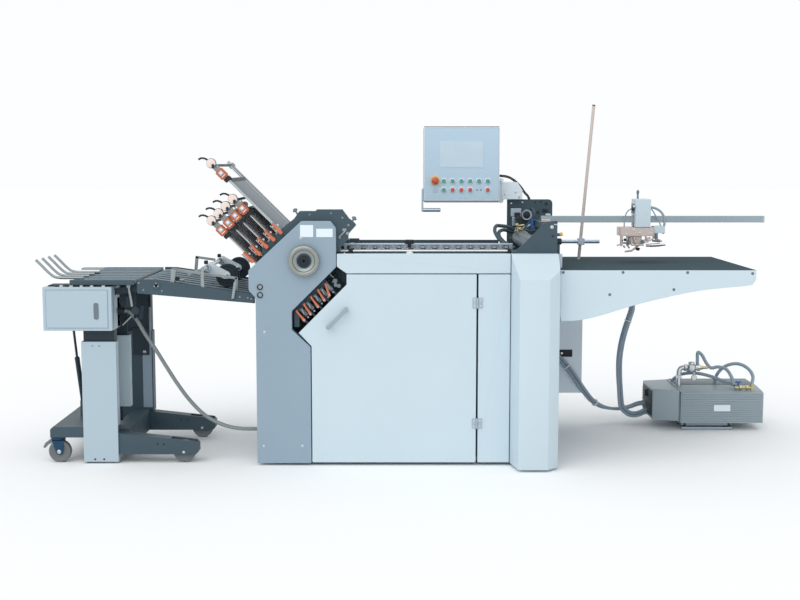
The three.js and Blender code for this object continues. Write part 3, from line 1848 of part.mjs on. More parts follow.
const guide = {
  thick: 5,
  wide: 12,
  frontY: 110,
  frontLeft: -1006,
  frontRight: -720,
  frontRise: 56,
  rearY: 490,
  rearLeft: -989,
  rearRight: -893,
  rearRise: 84,
};

// An upright frame bar over the belts, with one leg or two.
function sideGuide(y, left, right, rise, bothLegs) {
  const low = (x) => conveyorTop(x) - conveyor.deckDrop - bury;
  const top = (x) => conveyorTop(x) + rise;
  const bar = slab(
    [
      [left, top(left) - guide.wide],
      [right, top(right) - guide.wide],
      [right, top(right)],
      [left, top(left)],
    ],
    y,
    y + guide.thick,
  );
  const leg = (x) =>
    slab(
      [
        [x, low(x)],
        [x + guide.wide, low(x + guide.wide)],
        [x + guide.wide, top(x + guide.wide) - bury],
        [x, top(x) - bury],
      ],
      y,
      y + guide.thick,
    );
  const legs = bothLegs ? [leg(left), leg(right - guide.wide)] : [leg(left)];
  return join(bar, legs);
}

const press = {
  shaftX: -862,
  shaftZ: 862,
  shaftRadius: 8,
  bracketWide: 26,
  axleX: -776,
  axleZ: 824,
  axleRadius: 6,
  wheelRadius: 53,
  wheelWide: 26,
  wheels: [196, 600],
  armThick: 6,
  armWide: 14,
  armGap: 3,
  collar: 14,
  collarLong: 18,
  hubShare: 0.7,
  rimShare: 0.74,
};

function inclinedConveyor() {
  const { left, right, front, rear, plate: thick } = conveyor;
  const outline = [
    [left, conveyor.leftLow],
    [right, conveyor.rightLow],
    [right, conveyor.rightTop],
    [conveyor.kneeX, conveyor.kneeTop],
    [left, conveyor.leftTop],
  ];
  const parts = [slab(outline, front, front + thick), slab(outline, rear - thick, rear)];
  const deckTop = (x) => conveyorTop(x) - conveyor.deckDrop;
  parts.push(slab(
    [
      [conveyor.kneeX, deckTop(conveyor.kneeX) - conveyor.deckThick],
      [right - seam, deckTop(right - seam) - conveyor.deckThick],
      [right - seam, deckTop(right - seam)],
      [conveyor.kneeX, deckTop(conveyor.kneeX)],
      [conveyor.deckLeft, deckTop(conveyor.kneeX)],
      [conveyor.deckLeft, deckTop(conveyor.kneeX) - conveyor.deckThick * half],
    ],
    front + bury,
    rear - bury,
  ));
  parts.push(beltRow(
    [
      [conveyor.kneeX, deckTop(conveyor.kneeX) - bury],
      [right - seam, deckTop(right - seam) - bury],
      [right - seam, deckTop(right - seam) + belt.thick],
      [conveyor.kneeX, deckTop(conveyor.kneeX) + belt.thick],
      [conveyor.deckLeft + seam, deckTop(conveyor.kneeX) + belt.thick],
      [conveyor.deckLeft + seam, deckTop(conveyor.kneeX) - bury],
    ],
    front + thick,
    rear - thick,
  ));
  parts.push(sideGuide(guide.frontY, guide.frontLeft, guide.frontRight, guide.frontRise, true));
  parts.push(sideGuide(guide.rearY, guide.rearLeft, guide.rearRight, guide.rearRise, false));
  const { shaftX, shaftZ, bracketWide } = press;
  for (const y of [front, rear - thick]) {
    parts.push(slab(
      [
        [shaftX - bracketWide, conveyorTop(shaftX - bracketWide) - bury],
        [shaftX + bracketWide, conveyorTop(shaftX + bracketWide) - bury],
        [shaftX + bracketWide * half, shaftZ + bracketWide * half],
        [shaftX - bracketWide * half, shaftZ + bracketWide * half],
      ],
      y,
      y + thick,
    ));
  }
  const bosses = [
    [front - seam, front + bury],
    [rear - bury, rear + seam],
  ].map(([y0, y1]) =>
    rod([liftHead.hubX, y0, liftHead.hubZ], [liftHead.hubX, y1, liftHead.hubZ], conveyor.boss,
      roundSides),
  );
  parts.push(bosses);
  const hubBore = rod([liftHead.hubX, front - 2 * overrun, liftHead.hubZ],
    [liftHead.hubX, rear + 2 * overrun, liftHead.hubZ], liftHead.pin + running, roundSides);
  const shaftBore = rod([shaftX, front - overrun, shaftZ], [shaftX, rear + overrun, shaftZ],
    press.shaftRadius + running, roundSides);
  const armRoom = [
    block(conveyor.kneeX - overrun * 3, liftHead.hubX + 3 * liftHead.pin,
      liftHead.armFront - seam, liftHead.armFront + liftHead.armThick + seam,
      conveyor.rightLow, conveyor.leftTop + overrun),
    block(conveyor.kneeX - overrun * 3, liftHead.hubX + 3 * liftHead.pin,
      liftHead.armRear - liftHead.armThick - seam, liftHead.armRear + seam,
      conveyor.rightLow, conveyor.leftTop + overrun),
  ];
  return carve(join(parts), hubBore, shaftBore, armRoom);
}

function pressArm() {
  const { shaftX, shaftZ, axleX, axleZ, armThick, armWide, armGap } = press;
  const parts = [rod([shaftX, conveyor.front + bury, shaftZ],
    [shaftX, conveyor.rear - bury, shaftZ], press.shaftRadius, roundSides)];
  for (const y of press.wheels) {
    const y1 = y - armGap;
    const y0 = y1 - armThick;
    const along = [axleX - shaftX, axleZ - shaftZ];
    const length = Math.hypot(along[0], along[1]);
    const side = [(-along[1] / length) * armWide, (along[0] / length) * armWide];
    parts.push(slab(
      [
        [shaftX - side[0], shaftZ - side[1]],
        [axleX - side[0] * half, axleZ - side[1] * half],
        [axleX + side[0] * half, axleZ + side[1] * half],
        [shaftX + side[0], shaftZ + side[1]],
      ],
      y0,
      y1,
    ));
    parts.push(rod([axleX, y0, axleZ], [axleX, y1, axleZ], armWide, roundSides));
    parts.push(rod([shaftX, y0 - press.collarLong, shaftZ], [shaftX, y1 + press.collarLong, shaftZ],
      press.collar, roundSides));
  }
  const bore = rod([axleX, conveyor.front, axleZ], [axleX, conveyor.rear, axleZ],
    press.axleRadius + running, roundSides);
  return carve(join(parts), bore);
}

function pressWheels() {
  const { axleX, axleZ, axleRadius, wheelRadius, wheelWide, armThick, armGap } = press;
  const first = press.wheels[0] - armGap - armThick - seam;
  const last = press.wheels[press.wheels.length - 1] + wheelWide + seam;
  const parts = [rod([axleX, first, axleZ], [axleX, last, axleZ], axleRadius, roundSides)];
  for (const y of press.wheels) {
    parts.push(turned(
      [
        [0, y],
        [wheelRadius * press.hubShare, y],
        [wheelRadius * press.rimShare, y + seam],
        [wheelRadius - seam, y],
        [wheelRadius, y + seam],
        [wheelRadius, y + wheelWide - seam],
        [wheelRadius - seam, y + wheelWide],
        [0, y + wheelWide],
      ],
      axleX,
      axleZ,
      fineSides,
    ));
  }
  return join(parts);
}

// Terminal box on the lift frame, with its cable gland.
const terminal = {
  left: -1554,
  right: -1254,
  front: 0,
  rear: 157,
  low: 599,
  top: 790,
  inset: 6,
  lid: 4,
  plugRadius: 11,
  plugHigh: 8,
  plugs: [-1476, -1432, -1388, -1343, -1292],
  gland: 13,
  glandOut: 28,
  glandY: 132,
  glandZ: 672,
  cableHole: 10,
};

function terminalBox() {
  const { left, right, front, rear, low, top } = terminal;
  const hollow = block(left + terminal.lid, frontTube.left - 2 * seam, front + terminal.lid,
    rear - terminal.lid, low + terminal.lid, top - terminal.lid);
  const holeX = (left + frontTube.left) * half;
  const holeY = (front + rear) * half;
  const cableHole = rod([holeX, holeY, low - overrun], [holeX, holeY, low + terminal.lid + overrun],
    terminal.cableHole);
  const body = carve(block(left, right, front, rear, low, top), hollow, cableHole);
  const slotFor = block(frontTube.left - seam, right + overrun, frontTube.front - seam,
    frontTube.rear + seam, low - overrun, top + overrun);
  const beamRoom = block(frontTube.left - seam, right + overrun, frontTube.front - seam,
    rear + overrun, liftHead.low - liftHead.tube - seam, top + overrun);
  const lid = block(left + terminal.inset * 3, right - terminal.inset * 3, front - terminal.lid,
    front + bury, low + terminal.inset * 3, top - terminal.inset * 3);
  const plugs = terminal.plugs.map((x) =>
    rod([x, frontTube.front * half, top - bury], [x, frontTube.front * half,
      top + terminal.plugHigh], terminal.plugRadius, plainSides),
  );
  const gland = rod([right - bury, terminal.glandY, terminal.glandZ],
    [right + terminal.glandOut, terminal.glandY, terminal.glandZ], terminal.gland, roundSides);
  return join(carve(body, slotFor, beamRoom), lid, plugs, gland);
}

// Casters: two that swivel under the left ends of the legs and two fixed wheels in the right.
function casterFork(middle) {
  const x = trolley.casterX;
  const top = trolley.armLow - caster.stemGap;
  const plateLow = top - caster.plate;
  const forkHalf = caster.forkWide * half;
  const stem = rod([x, middle, plateLow], [x, middle, trolley.armLow - seat], caster.stem);
  const disc = rod([x, middle, plateLow], [x, middle, top], caster.plateHalf, roundSides);
  const axleX = x + caster.trail;
  const cheeks = [middle - forkHalf, middle + forkHalf - caster.forkThick].map((y) =>
    slab(
      [
        [axleX - 2 * caster.axleHalf, trolley.wheelRadius - caster.axleHalf],
        [axleX + 2 * caster.axleHalf, trolley.wheelRadius - caster.axleHalf],
        [x + caster.plateHalf * caster.shoulderShare, plateLow + bury],
        [x - caster.plateHalf * caster.shoulderShare, plateLow + bury],
      ],
      y,
      y + caster.forkThick,
    ),
  );
  const axle = rod([axleX, middle - forkHalf + bury, trolley.wheelRadius],
    [axleX, middle + forkHalf - bury, trolley.wheelRadius], trolley.axle);
  const pedal = slab(
    [
      [x - caster.plateHalf * caster.pedalRootShare, plateLow - bury],
      [x - caster.plateHalf * caster.pedalRootShare, plateLow + bury],
      [x - caster.plateHalf - caster.pedal, plateLow - caster.pedal * half],
      [x - caster.plateHalf - caster.pedal, plateLow - caster.pedal * half - seam],
    ],
    middle - forkHalf * half,
    middle + forkHalf * half,
  );
  return join(stem, disc, cheeks, axle, pedal);
}

function wheel(x, middle) {
  const y0 = middle - trolley.wheelWide * half;
  const y1 = middle + trolley.wheelWide * half;
  const r = trolley.wheelRadius;
  const body = turned(
    [
      [0, y0 + seam],
      [r * trolley.hubShare, y0 + seam],
      [r * trolley.tyreShare, y0],
      [r - seam, y0],
      [r, y0 + seam * 2],
      [r, y1 - seam * 2],
      [r - seam, y1],
      [r * trolley.tyreShare, y1],
      [r * trolley.hubShare, y1 - seam],
      [0, y1 - seam],
    ],
    x,
    r,
    fineSides,
  );
  const bore = rod([x, y0 - overrun, r], [x, y1 + overrun, r], trolley.axle + running, roundSides);
  return carve(body, bore);
}

// Free cords and hoses: the routes are lists of places.
const cableRoute = [
  [-1225.7, 132, 672],
  [-1213, 132, 672],
  [-1192, 132, 655],
  [-1172, 132, 628],
  [-1135, 132, 563],
  [-1092, 132, 497],
  [-1045, 131, 419],
  [-993, 128, 337],
  [-940, 130, 264],
  [-881, 130, 204],
  [-820, 124, 168],
  [-762, 114, 150],
  [-705, 104, 144],
  [-660, 100, 144],
  [-638.3, 100, 144],
];
const suctionRoute = [
  [640.3, 814, 720],
  [680, 814, 720],
  [760, 822, 724],
  [860, 842, 730],
  [960, 862, 730],
  [1050, 876, 716],
  [1118, 882, 686],
  [1164, 882, 644],
  [1174, 880, 600],
  [1160, 880, 548],
  [1142, 880, 492],
  [1124, 880, 420],
  [1114, 880, 349],
  [1112, 880, 290],
  [1114, 880, 230],
  [1119, 880, 165],
  [1123, 880, 123.6],
  [1127.3, 880, 99],
  [1144.1, 880, 72.7],
  [1170.4, 881, 55.9],
  [1195, 883, 51.6],
  [1223, 887, 57],
  [1240, 888, 64.8],
  [1252, 888, 68],
  [1261.7, 888, 68],
];
const blowRoute = [
  [640.3, 814, 420],
  [672, 814, 420],
  [714, 814, 408],
  [762, 815, 380],
  [807, 816, 345],
  [850, 817, 296],
  [890, 818, 240],
  [926, 824, 188],
  [968, 846, 136],
  [1018, 880, 98],
  [1068, 912, 78],
  [1124, 928, 72],
  [1178, 930, 82],
  [1222, 930, 98],
  [1248, 930, 102],
  [1261.7, 930, 102],
];
const panelCableRoute = [
  [521, 716, 1236.3],
  [521, 716, 1247],
  [526, 727, 1260],
  [549, 752, 1260],
  [584, 774, 1230],
  [616, 780, 1190],
  [634, 780, 1146],
  [640, 782, 1104],
  [640, 770, 1084],
  [640, 760, 1082],
  [640, 753.3, 1082],
];
const cords = {
  cableRadius: 10,
  suctionRadius: 15,
  blowRadius: 12,
  panelRadius: 6,
  cableSteps: 22,
  suctionSteps: 28,
  blowSteps: 22,
  panelSteps: 16,
};

// The whole machine.
addPiece("base_frame", baseFrame(), "dark");
addPiece("fold_unit_frame", foldUnitFrame(), "dark");
addPiece("fold_unit_cover", foldFrameFront(), "greyBlue");
addPiece("drive_side_cover", driveSideCover(), "greyBlue");
addPiece("handwheel", handwheelAndRoller(), "aluminium");
addPiece("fold_roller", foldRollerUpper(), "steel");
addPiece("drive_motor", driveMotor(), "pump");
addPiece("lower_fold_plates", lowerPlatePack(), "aluminium", platesFrame);
addPiece("access_door", accessDoor(), "white");
addPiece("top_beam_cover", topBeamCover(), "white");
addPiece("narrow_panel", narrowPanel(), "white");
addPiece("column_cover", columnCover(), "white");
addPiece("register_table", registerTable(), "dark");
addPiece("ball_rail", ballHolder(), "aluminium");
addPiece("feeder_frame", feederFrame(), "dark");
addPiece("suction_drum", suctionDrum(), "steel");
addPiece("suction_rail", suctionRail(), "aluminium");
addPiece("separator_head", separatorHead(), "copper");
addPiece("pile_table", pileTable(), "white");
addPiece("control_panel", controlPanel(), "white");
addPiece("panel_bracket", panelBracket(), "white");
addPiece("emergency_stop", emergencyStop(), "red");
addPiece("start_button", pushButton(startPlace), "green");
addPiece("stop_button", pushButton(stopPlace), "red");
addPiece("electrical_box", electricalBox(), "greyBlue");
addPiece("pump_housing", pumpHousing(), "pump");
addPiece("pump_valve", pumpValve(), "steel");
addPiece("delivery_base", deliveryBase(), "dark");
addPiece("delivery_column_cover", deliveryColumnCover(), "white");
addPiece("lift_frame", liftFrame(), "dark");
addPiece("belt_table", beltTable(), "dark");
addPiece("inclined_conveyor", inclinedConveyor(), "dark");
addPiece("press_arm", pressArm(), "white");
addPiece("press_wheels", pressWheels(), "black");
addPiece("terminal_box", terminalBox(), "white");

const legMiddles = [
  trolley.front + trolley.legWide * half,
  trolley.rear + trolley.legWide * half,
];
["front", "rear"].forEach((place, i) => {
  const middle = legMiddles[i];
  addPiece(`caster_fork_${place}`, casterFork(middle), "casterBlue");
  addPiece(`caster_wheel_${place}`, wheel(trolley.casterX + caster.trail, middle), "black");
  addPiece(`fixed_wheel_${place}`, wheel(trolley.wheelX, middle), "black");
});

addPiece("delivery_cable", hose(cableRoute, cords.cableRadius, cordSides, cords.cableSteps),
  "hose");
addPiece("suction_hoses", hose(suctionRoute, cords.suctionRadius, cordSides, cords.suctionSteps),
  "hose");
addPiece("blower_hoses", hose(blowRoute, cords.blowRadius, cordSides, cords.blowSteps), "hose");
addPiece("panel_cable", hose(panelCableRoute, cords.panelRadius, cordSides, cords.panelSteps),
  "black");

const whole = new THREE.Group();
whole.add(machine);

export default whole;
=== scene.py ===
"""Looks of a floor-standing paper folding machine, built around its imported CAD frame.

Sizes are millimetres in the machine's own frame: X from the delivery to the feeder, Y from the
operator's side to the back, Z up from the floor. They become metres as each mesh is made.
"""

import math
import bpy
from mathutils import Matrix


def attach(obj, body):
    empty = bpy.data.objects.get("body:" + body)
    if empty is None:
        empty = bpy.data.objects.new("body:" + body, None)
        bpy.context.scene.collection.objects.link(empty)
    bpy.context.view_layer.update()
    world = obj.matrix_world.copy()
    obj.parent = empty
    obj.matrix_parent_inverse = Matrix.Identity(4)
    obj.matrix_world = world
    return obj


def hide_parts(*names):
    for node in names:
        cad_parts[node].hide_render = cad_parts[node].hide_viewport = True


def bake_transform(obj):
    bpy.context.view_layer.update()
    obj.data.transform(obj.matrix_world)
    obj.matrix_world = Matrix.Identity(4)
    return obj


bl_info = {
    "name": "Paper folding machine",
    "version": (1, 0, 0),
    "blender": (4, 5, 0),
    "location": "View3D > Sidebar > Folder",
    "description": "Builds the covers, fold plates, feeder, delivery, pump and hoses of a paper folder",
    "category": "Add Mesh",
}

import bpy
import numpy as np

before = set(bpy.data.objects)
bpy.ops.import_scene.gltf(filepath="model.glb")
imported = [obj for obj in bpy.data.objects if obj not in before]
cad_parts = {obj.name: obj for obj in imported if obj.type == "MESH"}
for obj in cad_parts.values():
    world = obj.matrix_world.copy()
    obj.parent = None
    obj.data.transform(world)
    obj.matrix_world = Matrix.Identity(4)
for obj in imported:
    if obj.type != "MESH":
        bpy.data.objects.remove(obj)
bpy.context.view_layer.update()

MM = 0.001
FOOTPRINT = np.array([100.0, 463.0, 0.0])
ROOT2 = math.sqrt(2)
STAND = "stand"


# Numbers into meshes


def linear(*levels):
    """Screen colour levels from 0 to 255 turned into Blender's linear values."""
    share = np.array(levels) / 255
    return tuple(np.where(share <= 0.04045, share / 12.92, ((share + 0.055) / 1.055) ** 2.4))


def grid_faces(rows, columns):
    """Faces between rows of points, each row a closed ring of columns points."""
    row, column = np.meshgrid(np.arange(rows - 1), np.arange(columns), indexing="ij")
    after = (column + 1) % columns
    corners = [row * columns + column, row * columns + after]
    corners += [(row + 1) * columns + after, (row + 1) * columns + column]
    return np.stack(corners, -1).reshape(-1, 4)


def signed_volume(points, faces):
    """Sum over the faces of the first corner dotted with the cross of each next pair."""
    total = 0.0
    for face in faces:
        ring = points[np.asarray(face)]
        fan = np.cross(ring[1:-1], ring[2:])
        total += np.einsum("ij,ij->", fan, np.broadcast_to(ring[0], fan.shape))
    return total


def loft(rings, turn=None):
    """Closed skin over a stack of rings of points, shape (rings, points, 3), with flat ends."""
    rings = np.asarray(rings, float)
    rows, columns = rings.shape[:2]
    points = rings.reshape(-1, 3)
    if turn is not None:
        points = turn(points)
    faces = grid_faces(rows, columns).tolist()
    faces.append(list(range(columns))[::-1])
    faces.append(list(range((rows - 1) * columns, rows * columns)))
    if signed_volume(points, faces) < 0:
        faces = [face[::-1] for face in faces]
    return points, faces


def merged(shapes):
    """Several skins as one list of points and faces."""
    points, faces, start = [], [], 0
    for some, loops in shapes:
        points.append(some)
        faces += [[corner + start for corner in loop] for loop in loops]
        start += len(some)
    return np.concatenate(points), faces


# No rounding takes more than this share of a side, and no mitre divides by less than the other.
ROUND_SHARE = 0.45
MITRE_SHARE = 0.3


def rounded(outline, radius, steps=4):
    """Each corner of an outline replaced by a parabola between points radius away from it."""
    outline = np.asarray(outline, float)
    back = np.roll(outline, 1, 0) - outline
    ahead = np.roll(outline, -1, 0) - outline
    near = np.linalg.norm(back, axis=1, keepdims=True)
    far = np.linalg.norm(ahead, axis=1, keepdims=True)
    reach = np.broadcast_to(np.asarray(radius, float).reshape(-1, 1), near.shape)
    start = outline + back / near * np.minimum(reach, near * ROUND_SHARE)
    end = outline + ahead / far * np.minimum(reach, far * ROUND_SHARE)
    share = np.linspace(0, 1, steps + 1)[None, :, None]
    curve = (1 - share) ** 2 * start[:, None] + 2 * share * (1 - share) * outline[:, None]
    return (curve + share**2 * end[:, None]).reshape(-1, 2)


def shrunk(outline, distance):
    """An anticlockwise outline with each point moved inwards along its mitre."""
    ahead = np.roll(outline, -1, 0) - outline
    ahead /= np.linalg.norm(ahead, axis=1, keepdims=True) + 1e-12
    normal = np.stack([-ahead[:, 1], ahead[:, 0]], 1)
    before = np.roll(normal, 1, 0)
    share = 1 + np.einsum("ij,ij->i", normal, before)[:, None]
    return outline + (normal + before) / np.maximum(share, MITRE_SHARE) * distance


def anticlockwise(outline):
    """The outline with its area counted positive."""
    outline = np.asarray(outline, float)
    ahead = np.roll(outline, -1, 0)
    area = np.sum(outline[:, 0] * ahead[:, 1] - outline[:, 1] * ahead[:, 0])
    return outline if area > 0 else outline[::-1]


FRONT = (0, -1, 0)
BACK = (0, 1, 0)
UP = (0, 0, 1)
RIGHT = (1, 0, 0)
LEFT = (-1, 0, 0)
PLANES = {"XZ": (0, 2, 1), "XY": (0, 1, 2)}

# A narrow strip inside each flat face's rim keeps the face's shading flat.
FLAT_STRIP = 0.15

EDGE_STEPS = 3


def slab(outline, low, high, edge=1.5, corner=0.0, plane="XZ", turn=None):
    """An outline carried along its normal, its rim rounded by a quarter circle at both ends."""
    outline = anticlockwise(outline)
    if corner:
        outline = rounded(outline, corner)
    edge = min(edge, abs(high - low) * ROUND_SHARE)
    angle = np.linspace(0, math.pi / 2, EDGE_STEPS)
    depth = edge * (1 - np.cos(angle))
    inward = edge * (1 - np.sin(angle))
    rows = [(edge + FLAT_STRIP, low)] + list(zip(inward, low + depth))
    rows += list(zip(inward, high - depth))[::-1] + [(edge + FLAT_STRIP, high)]
    across, up, along = PLANES[plane]
    rings = np.zeros((len(rows), len(outline), 3))
    for ring, (distance, level) in zip(rings, rows):
        ring[:, [across, up]] = shrunk(outline, distance)
        ring[:, along] = level
    return loft(rings, turn)


def oblong(x0, x1, z0, z1):
    """The outline of an upright rectangle."""
    return [(x0, z0), (x1, z0), (x1, z1), (x0, z1)]


def block(x0, x1, y0, y1, z0, z1, edge=1.5):
    """A box with rounded edges."""
    corner = min(edge * 1.5, abs(x1 - x0) * 0.4, abs(z1 - z0) * 0.4)
    return slab(oblong(x0, x1, z0, z1), y0, y1, edge, corner)


def blocks(*rows):
    """A block for each row of its six faces and its edge."""
    return [block(*row) for row in rows]


def pins(*rows):
    """A pin for each row of its two ends and its radius."""
    return [pin(*row) for row in rows]


def turnings(profile, centres, axis, steps):
    """The same turned profile at each centre."""
    return [turned(profile, centre, axis, steps) for centre in centres]


def basis(direction):
    """Two unit vectors square to a direction."""
    direction = np.asarray(direction, float) / np.linalg.norm(direction)
    helper = np.array([0.0, 0.0, 1.0]) if abs(direction[2]) < 0.9 else np.array([1.0, 0.0, 0.0])
    side = np.cross(helper, direction)
    side /= np.linalg.norm(side)
    return direction, side, np.cross(direction, side)


def turned(profile, centre, axis=BACK, steps=40, turn=None):
    """A profile of (radius, distance along the axis) carried round the axis."""
    profile = np.asarray(profile, float)
    direction, side, rise = basis(axis)
    angle = np.linspace(0, 2 * math.pi, steps, endpoint=False)
    circle = np.cos(angle)[:, None] * side + np.sin(angle)[:, None] * rise
    rings = profile[:, 0, None, None] * circle + profile[:, 1, None, None] * direction
    return loft(rings + np.asarray(centre, float), turn)


def pin(start, end, radius, edge=0.8, steps=20, turn=None):
    """A round bar between two points with its rims broken."""
    start, end = np.asarray(start, float), np.asarray(end, float)
    length = np.linalg.norm(end - start)
    edge = min(edge, radius * 0.4, length * 0.4)
    profile = [(radius - edge, 0), (radius, edge), (radius, length - edge), (radius - edge, length)]
    return turned(profile, start, end - start, steps, turn)


def ball(centre, radius, steps=16, turn=None):
    """A sphere as a half circle carried round Z."""
    angle = np.linspace(-math.pi / 2, math.pi / 2, steps // 2 + 1)[1:-1]
    profile = np.stack([radius * np.cos(angle), radius * np.sin(angle)], 1)
    return turned(profile, centre, UP, steps, turn)


def screw(centre, radius=5.0, axis=FRONT, height=3.0):
    """A button-headed screw: a washer, a domed head and a socket in its middle."""
    profile = [(radius * 1.45, 0), (radius * 1.45, height * 0.25), (radius, height * 0.3)]
    profile += [(radius * 0.92, height * 0.7), (radius * 0.6, height), (radius * 0.42, height)]
    profile += [(radius * 0.36, height * 0.5)]
    return turned(profile, centre, axis, 18)


FINE_STEPS = 60


def smooth_line(points, spacing):
    """A cubic through the points, its slopes from their neighbours, cut at an even spacing."""
    points = np.asarray(points, float)
    gap = np.sqrt(np.linalg.norm(np.diff(points, axis=0), axis=1))
    at = np.concatenate([[0], np.cumsum(gap)])
    slope = np.gradient(points, at, axis=0)
    fine = np.linspace(0, at[-1], FINE_STEPS * len(points))
    index = np.clip(np.searchsorted(at, fine, "right") - 1, 0, len(points) - 2)
    width = gap[index][:, None]
    share = ((fine - at[index]) / gap[index])[:, None]
    first = (2 * share**3 - 3 * share**2 + 1) * points[index]
    first += (share**3 - 2 * share**2 + share) * width * slope[index]
    last = (3 * share**2 - 2 * share**3) * points[index + 1]
    last += (share**3 - share**2) * width * slope[index + 1]
    curve = first + last
    run = np.concatenate([[0], np.cumsum(np.linalg.norm(np.diff(curve, axis=0), axis=1))])
    count = max(3, int(run[-1] / spacing) + 1)
    even = np.linspace(0, run[-1], count)
    return np.stack([np.interp(even, run, curve[:, k]) for k in range(3)], 1)


def frames_along(line):
    """Side and rise vectors carried along a line without twist."""
    ahead = np.gradient(line, axis=0)
    ahead /= np.linalg.norm(ahead, axis=1, keepdims=True)
    _, side, _ = basis(ahead[0])
    sides = np.zeros_like(line)
    for i, direction in enumerate(ahead):
        side = side - direction * np.dot(side, direction)
        side /= np.linalg.norm(side)
        sides[i] = side
    return ahead, sides, np.cross(ahead, sides)


def tube(line, radius, sides=14):
    """A round section carried along a line."""
    line = np.asarray(line, float)
    _, side, rise = frames_along(line)
    angle = np.linspace(0, 2 * math.pi, sides, endpoint=False)[None, :, None]
    circle = np.cos(angle) * side[:, None] + np.sin(angle) * rise[:, None]
    return loft(line[:, None] + radius * circle)


# One side of a flat bar's section, in shares of half its width and half its thickness.
STRAP_SHARES = np.array([(-1, -0.7), (-0.85, -1), (0.85, -1), (1, -0.7)])


def strap(line, wide, thick, turn=None):
    """A flat bar carried along a line that lies in a plane of constant Y."""
    line = np.asarray(line, float)
    ahead = np.gradient(line, axis=0)
    ahead /= np.linalg.norm(ahead, axis=1, keepdims=True)
    flat = np.array([0.0, 1.0, 0.0])
    across = np.cross(ahead, flat)
    corners = np.concatenate([STRAP_SHARES, -STRAP_SHARES]) * 0.5
    rings = line[:, None] + corners[None, :, :1] * wide * across[:, None]
    rings = rings + corners[None, :, 1:] * thick * flat
    return loft(rings, turn)


def out_along_plates(points):
    """From (out along a fold plate, Y, down across the stack) to the machine's frame."""
    out, y, down = points.T
    return np.stack([(-out - down) / ROOT2, y, (out - down) / ROOT2], 1)


def plate_slab(outline, low, high, edge, corner=0.0):
    """A slab whose outline lies out along the fold plates and down across their stack."""
    return slab(outline, low, high, edge, corner, turn=out_along_plates)


def plate_pin(start, end, radius, steps=20):
    """A pin between two points of the fold plates' own frame."""
    return pin(start, end, radius, steps=steps, turn=out_along_plates)


def plate_turned(profile, centre, axis, steps):
    """A turned profile in the fold plates' own frame."""
    return turned(profile, centre, axis, steps, out_along_plates)


# Materials


def new_group(name, inputs, outputs):
    """A shader node group with its sockets and its two end nodes."""
    group = bpy.data.node_groups.new(name, "ShaderNodeTree")
    for label, kind, value in inputs:
        socket = group.interface.new_socket(label, in_out="INPUT", socket_type=kind)
        if value is not None:
            socket.default_value = value
    for label, kind in outputs:
        group.interface.new_socket(label, in_out="OUTPUT", socket_type=kind)
    return group, group.nodes.new("NodeGroupInput"), group.nodes.new("NodeGroupOutput")


def wire(tree, source, target):
    """One link."""
    tree.links.new(source, target)


def noise_node(tree, vector, scale, detail):
    """A noise texture read at the given coordinates."""
    node = tree.nodes.new("ShaderNodeTexNoise")
    node.inputs["Scale"].default_value = scale
    node.inputs["Detail"].default_value = detail
    wire(tree, vector, node.inputs["Vector"])
    return node


def math_node(tree, operation, first, second):
    """One sum, with each side a socket or a number."""
    node = tree.nodes.new("ShaderNodeMath")
    node.operation = operation
    for slot, value in zip(node.inputs, (first, second)):
        if isinstance(value, (int, float)):
            slot.default_value = value
        else:
            wire(tree, value, slot)
    return node.outputs[0]


def ranged(tree, value, low, high):
    """A 0 to 1 value spread from low to high."""
    node = tree.nodes.new("ShaderNodeMapRange")
    wire(tree, value, node.inputs["Value"])
    for label, end in (("To Min", low), ("To Max", high)):
        if isinstance(end, (int, float)):
            node.inputs[label].default_value = end
        else:
            wire(tree, end, node.inputs[label])
    return node.outputs["Result"]


def toned(tree, colour, factor):
    """A colour times a factor that changes over the surface."""
    node = tree.nodes.new("ShaderNodeVectorMath")
    node.operation = "SCALE"
    wire(tree, colour, node.inputs[0])
    wire(tree, factor, node.inputs["Scale"])
    return node.outputs["Vector"]


FINISH_INPUTS = [
    ("Colour", "NodeSocketColor", None),
    ("Roughness", "NodeSocketFloat", 0.4),
    ("Mottle", "NodeSocketFloat", 0.03),
    ("Grain", "NodeSocketFloat", 900.0),
    ("Stretch", "NodeSocketVector", (1.0, 1.0, 1.0)),
]
FINISH_OUTPUTS = [
    ("Colour", "NodeSocketColor"),
    ("Roughness", "NodeSocketFloat"),
    ("Height", "NodeSocketFloat"),
]

CLOUD_DETAIL = 3.0
ROUGH_SPREAD = 0.15


def finish_group(name, cloud_scale, smear, grain_detail):
    """Slow clouds of tone and roughness over a fine grain, stretched along one way."""
    group, start, end = new_group(name, FINISH_INPUTS, FINISH_OUTPUTS)
    place = group.nodes.new("ShaderNodeTexCoord")
    stretch = group.nodes.new("ShaderNodeVectorMath")
    stretch.operation = "MULTIPLY"
    wire(group, place.outputs["Object"], stretch.inputs[0])
    wire(group, start.outputs["Stretch"], stretch.inputs[1])
    cloud = noise_node(group, place.outputs["Object"], cloud_scale, CLOUD_DETAIL)
    grain = noise_node(group, stretch.outputs[0], 1.0, grain_detail)
    wire(group, start.outputs["Grain"], grain.inputs["Scale"])
    mottle = start.outputs["Mottle"]
    low = math_node(group, "SUBTRACT", 1.0, mottle)
    high = math_node(group, "ADD", 1.0, mottle)
    tone = ranged(group, cloud.outputs["Fac"], low, high)
    streak = ranged(group, grain.outputs["Fac"], 1.0 - smear, 1.0 + smear)
    both = math_node(group, "MULTIPLY", tone, streak)
    wire(group, toned(group, start.outputs["Colour"], both), end.inputs["Colour"])
    spread = ranged(group, grain.outputs["Fac"], 1.0 - ROUGH_SPREAD, 1.0 + ROUGH_SPREAD)
    rough = math_node(group, "MULTIPLY", start.outputs["Roughness"], spread)
    wire(group, rough, end.inputs["Roughness"])
    wire(group, grain.outputs["Fac"], end.inputs["Height"])
    return group


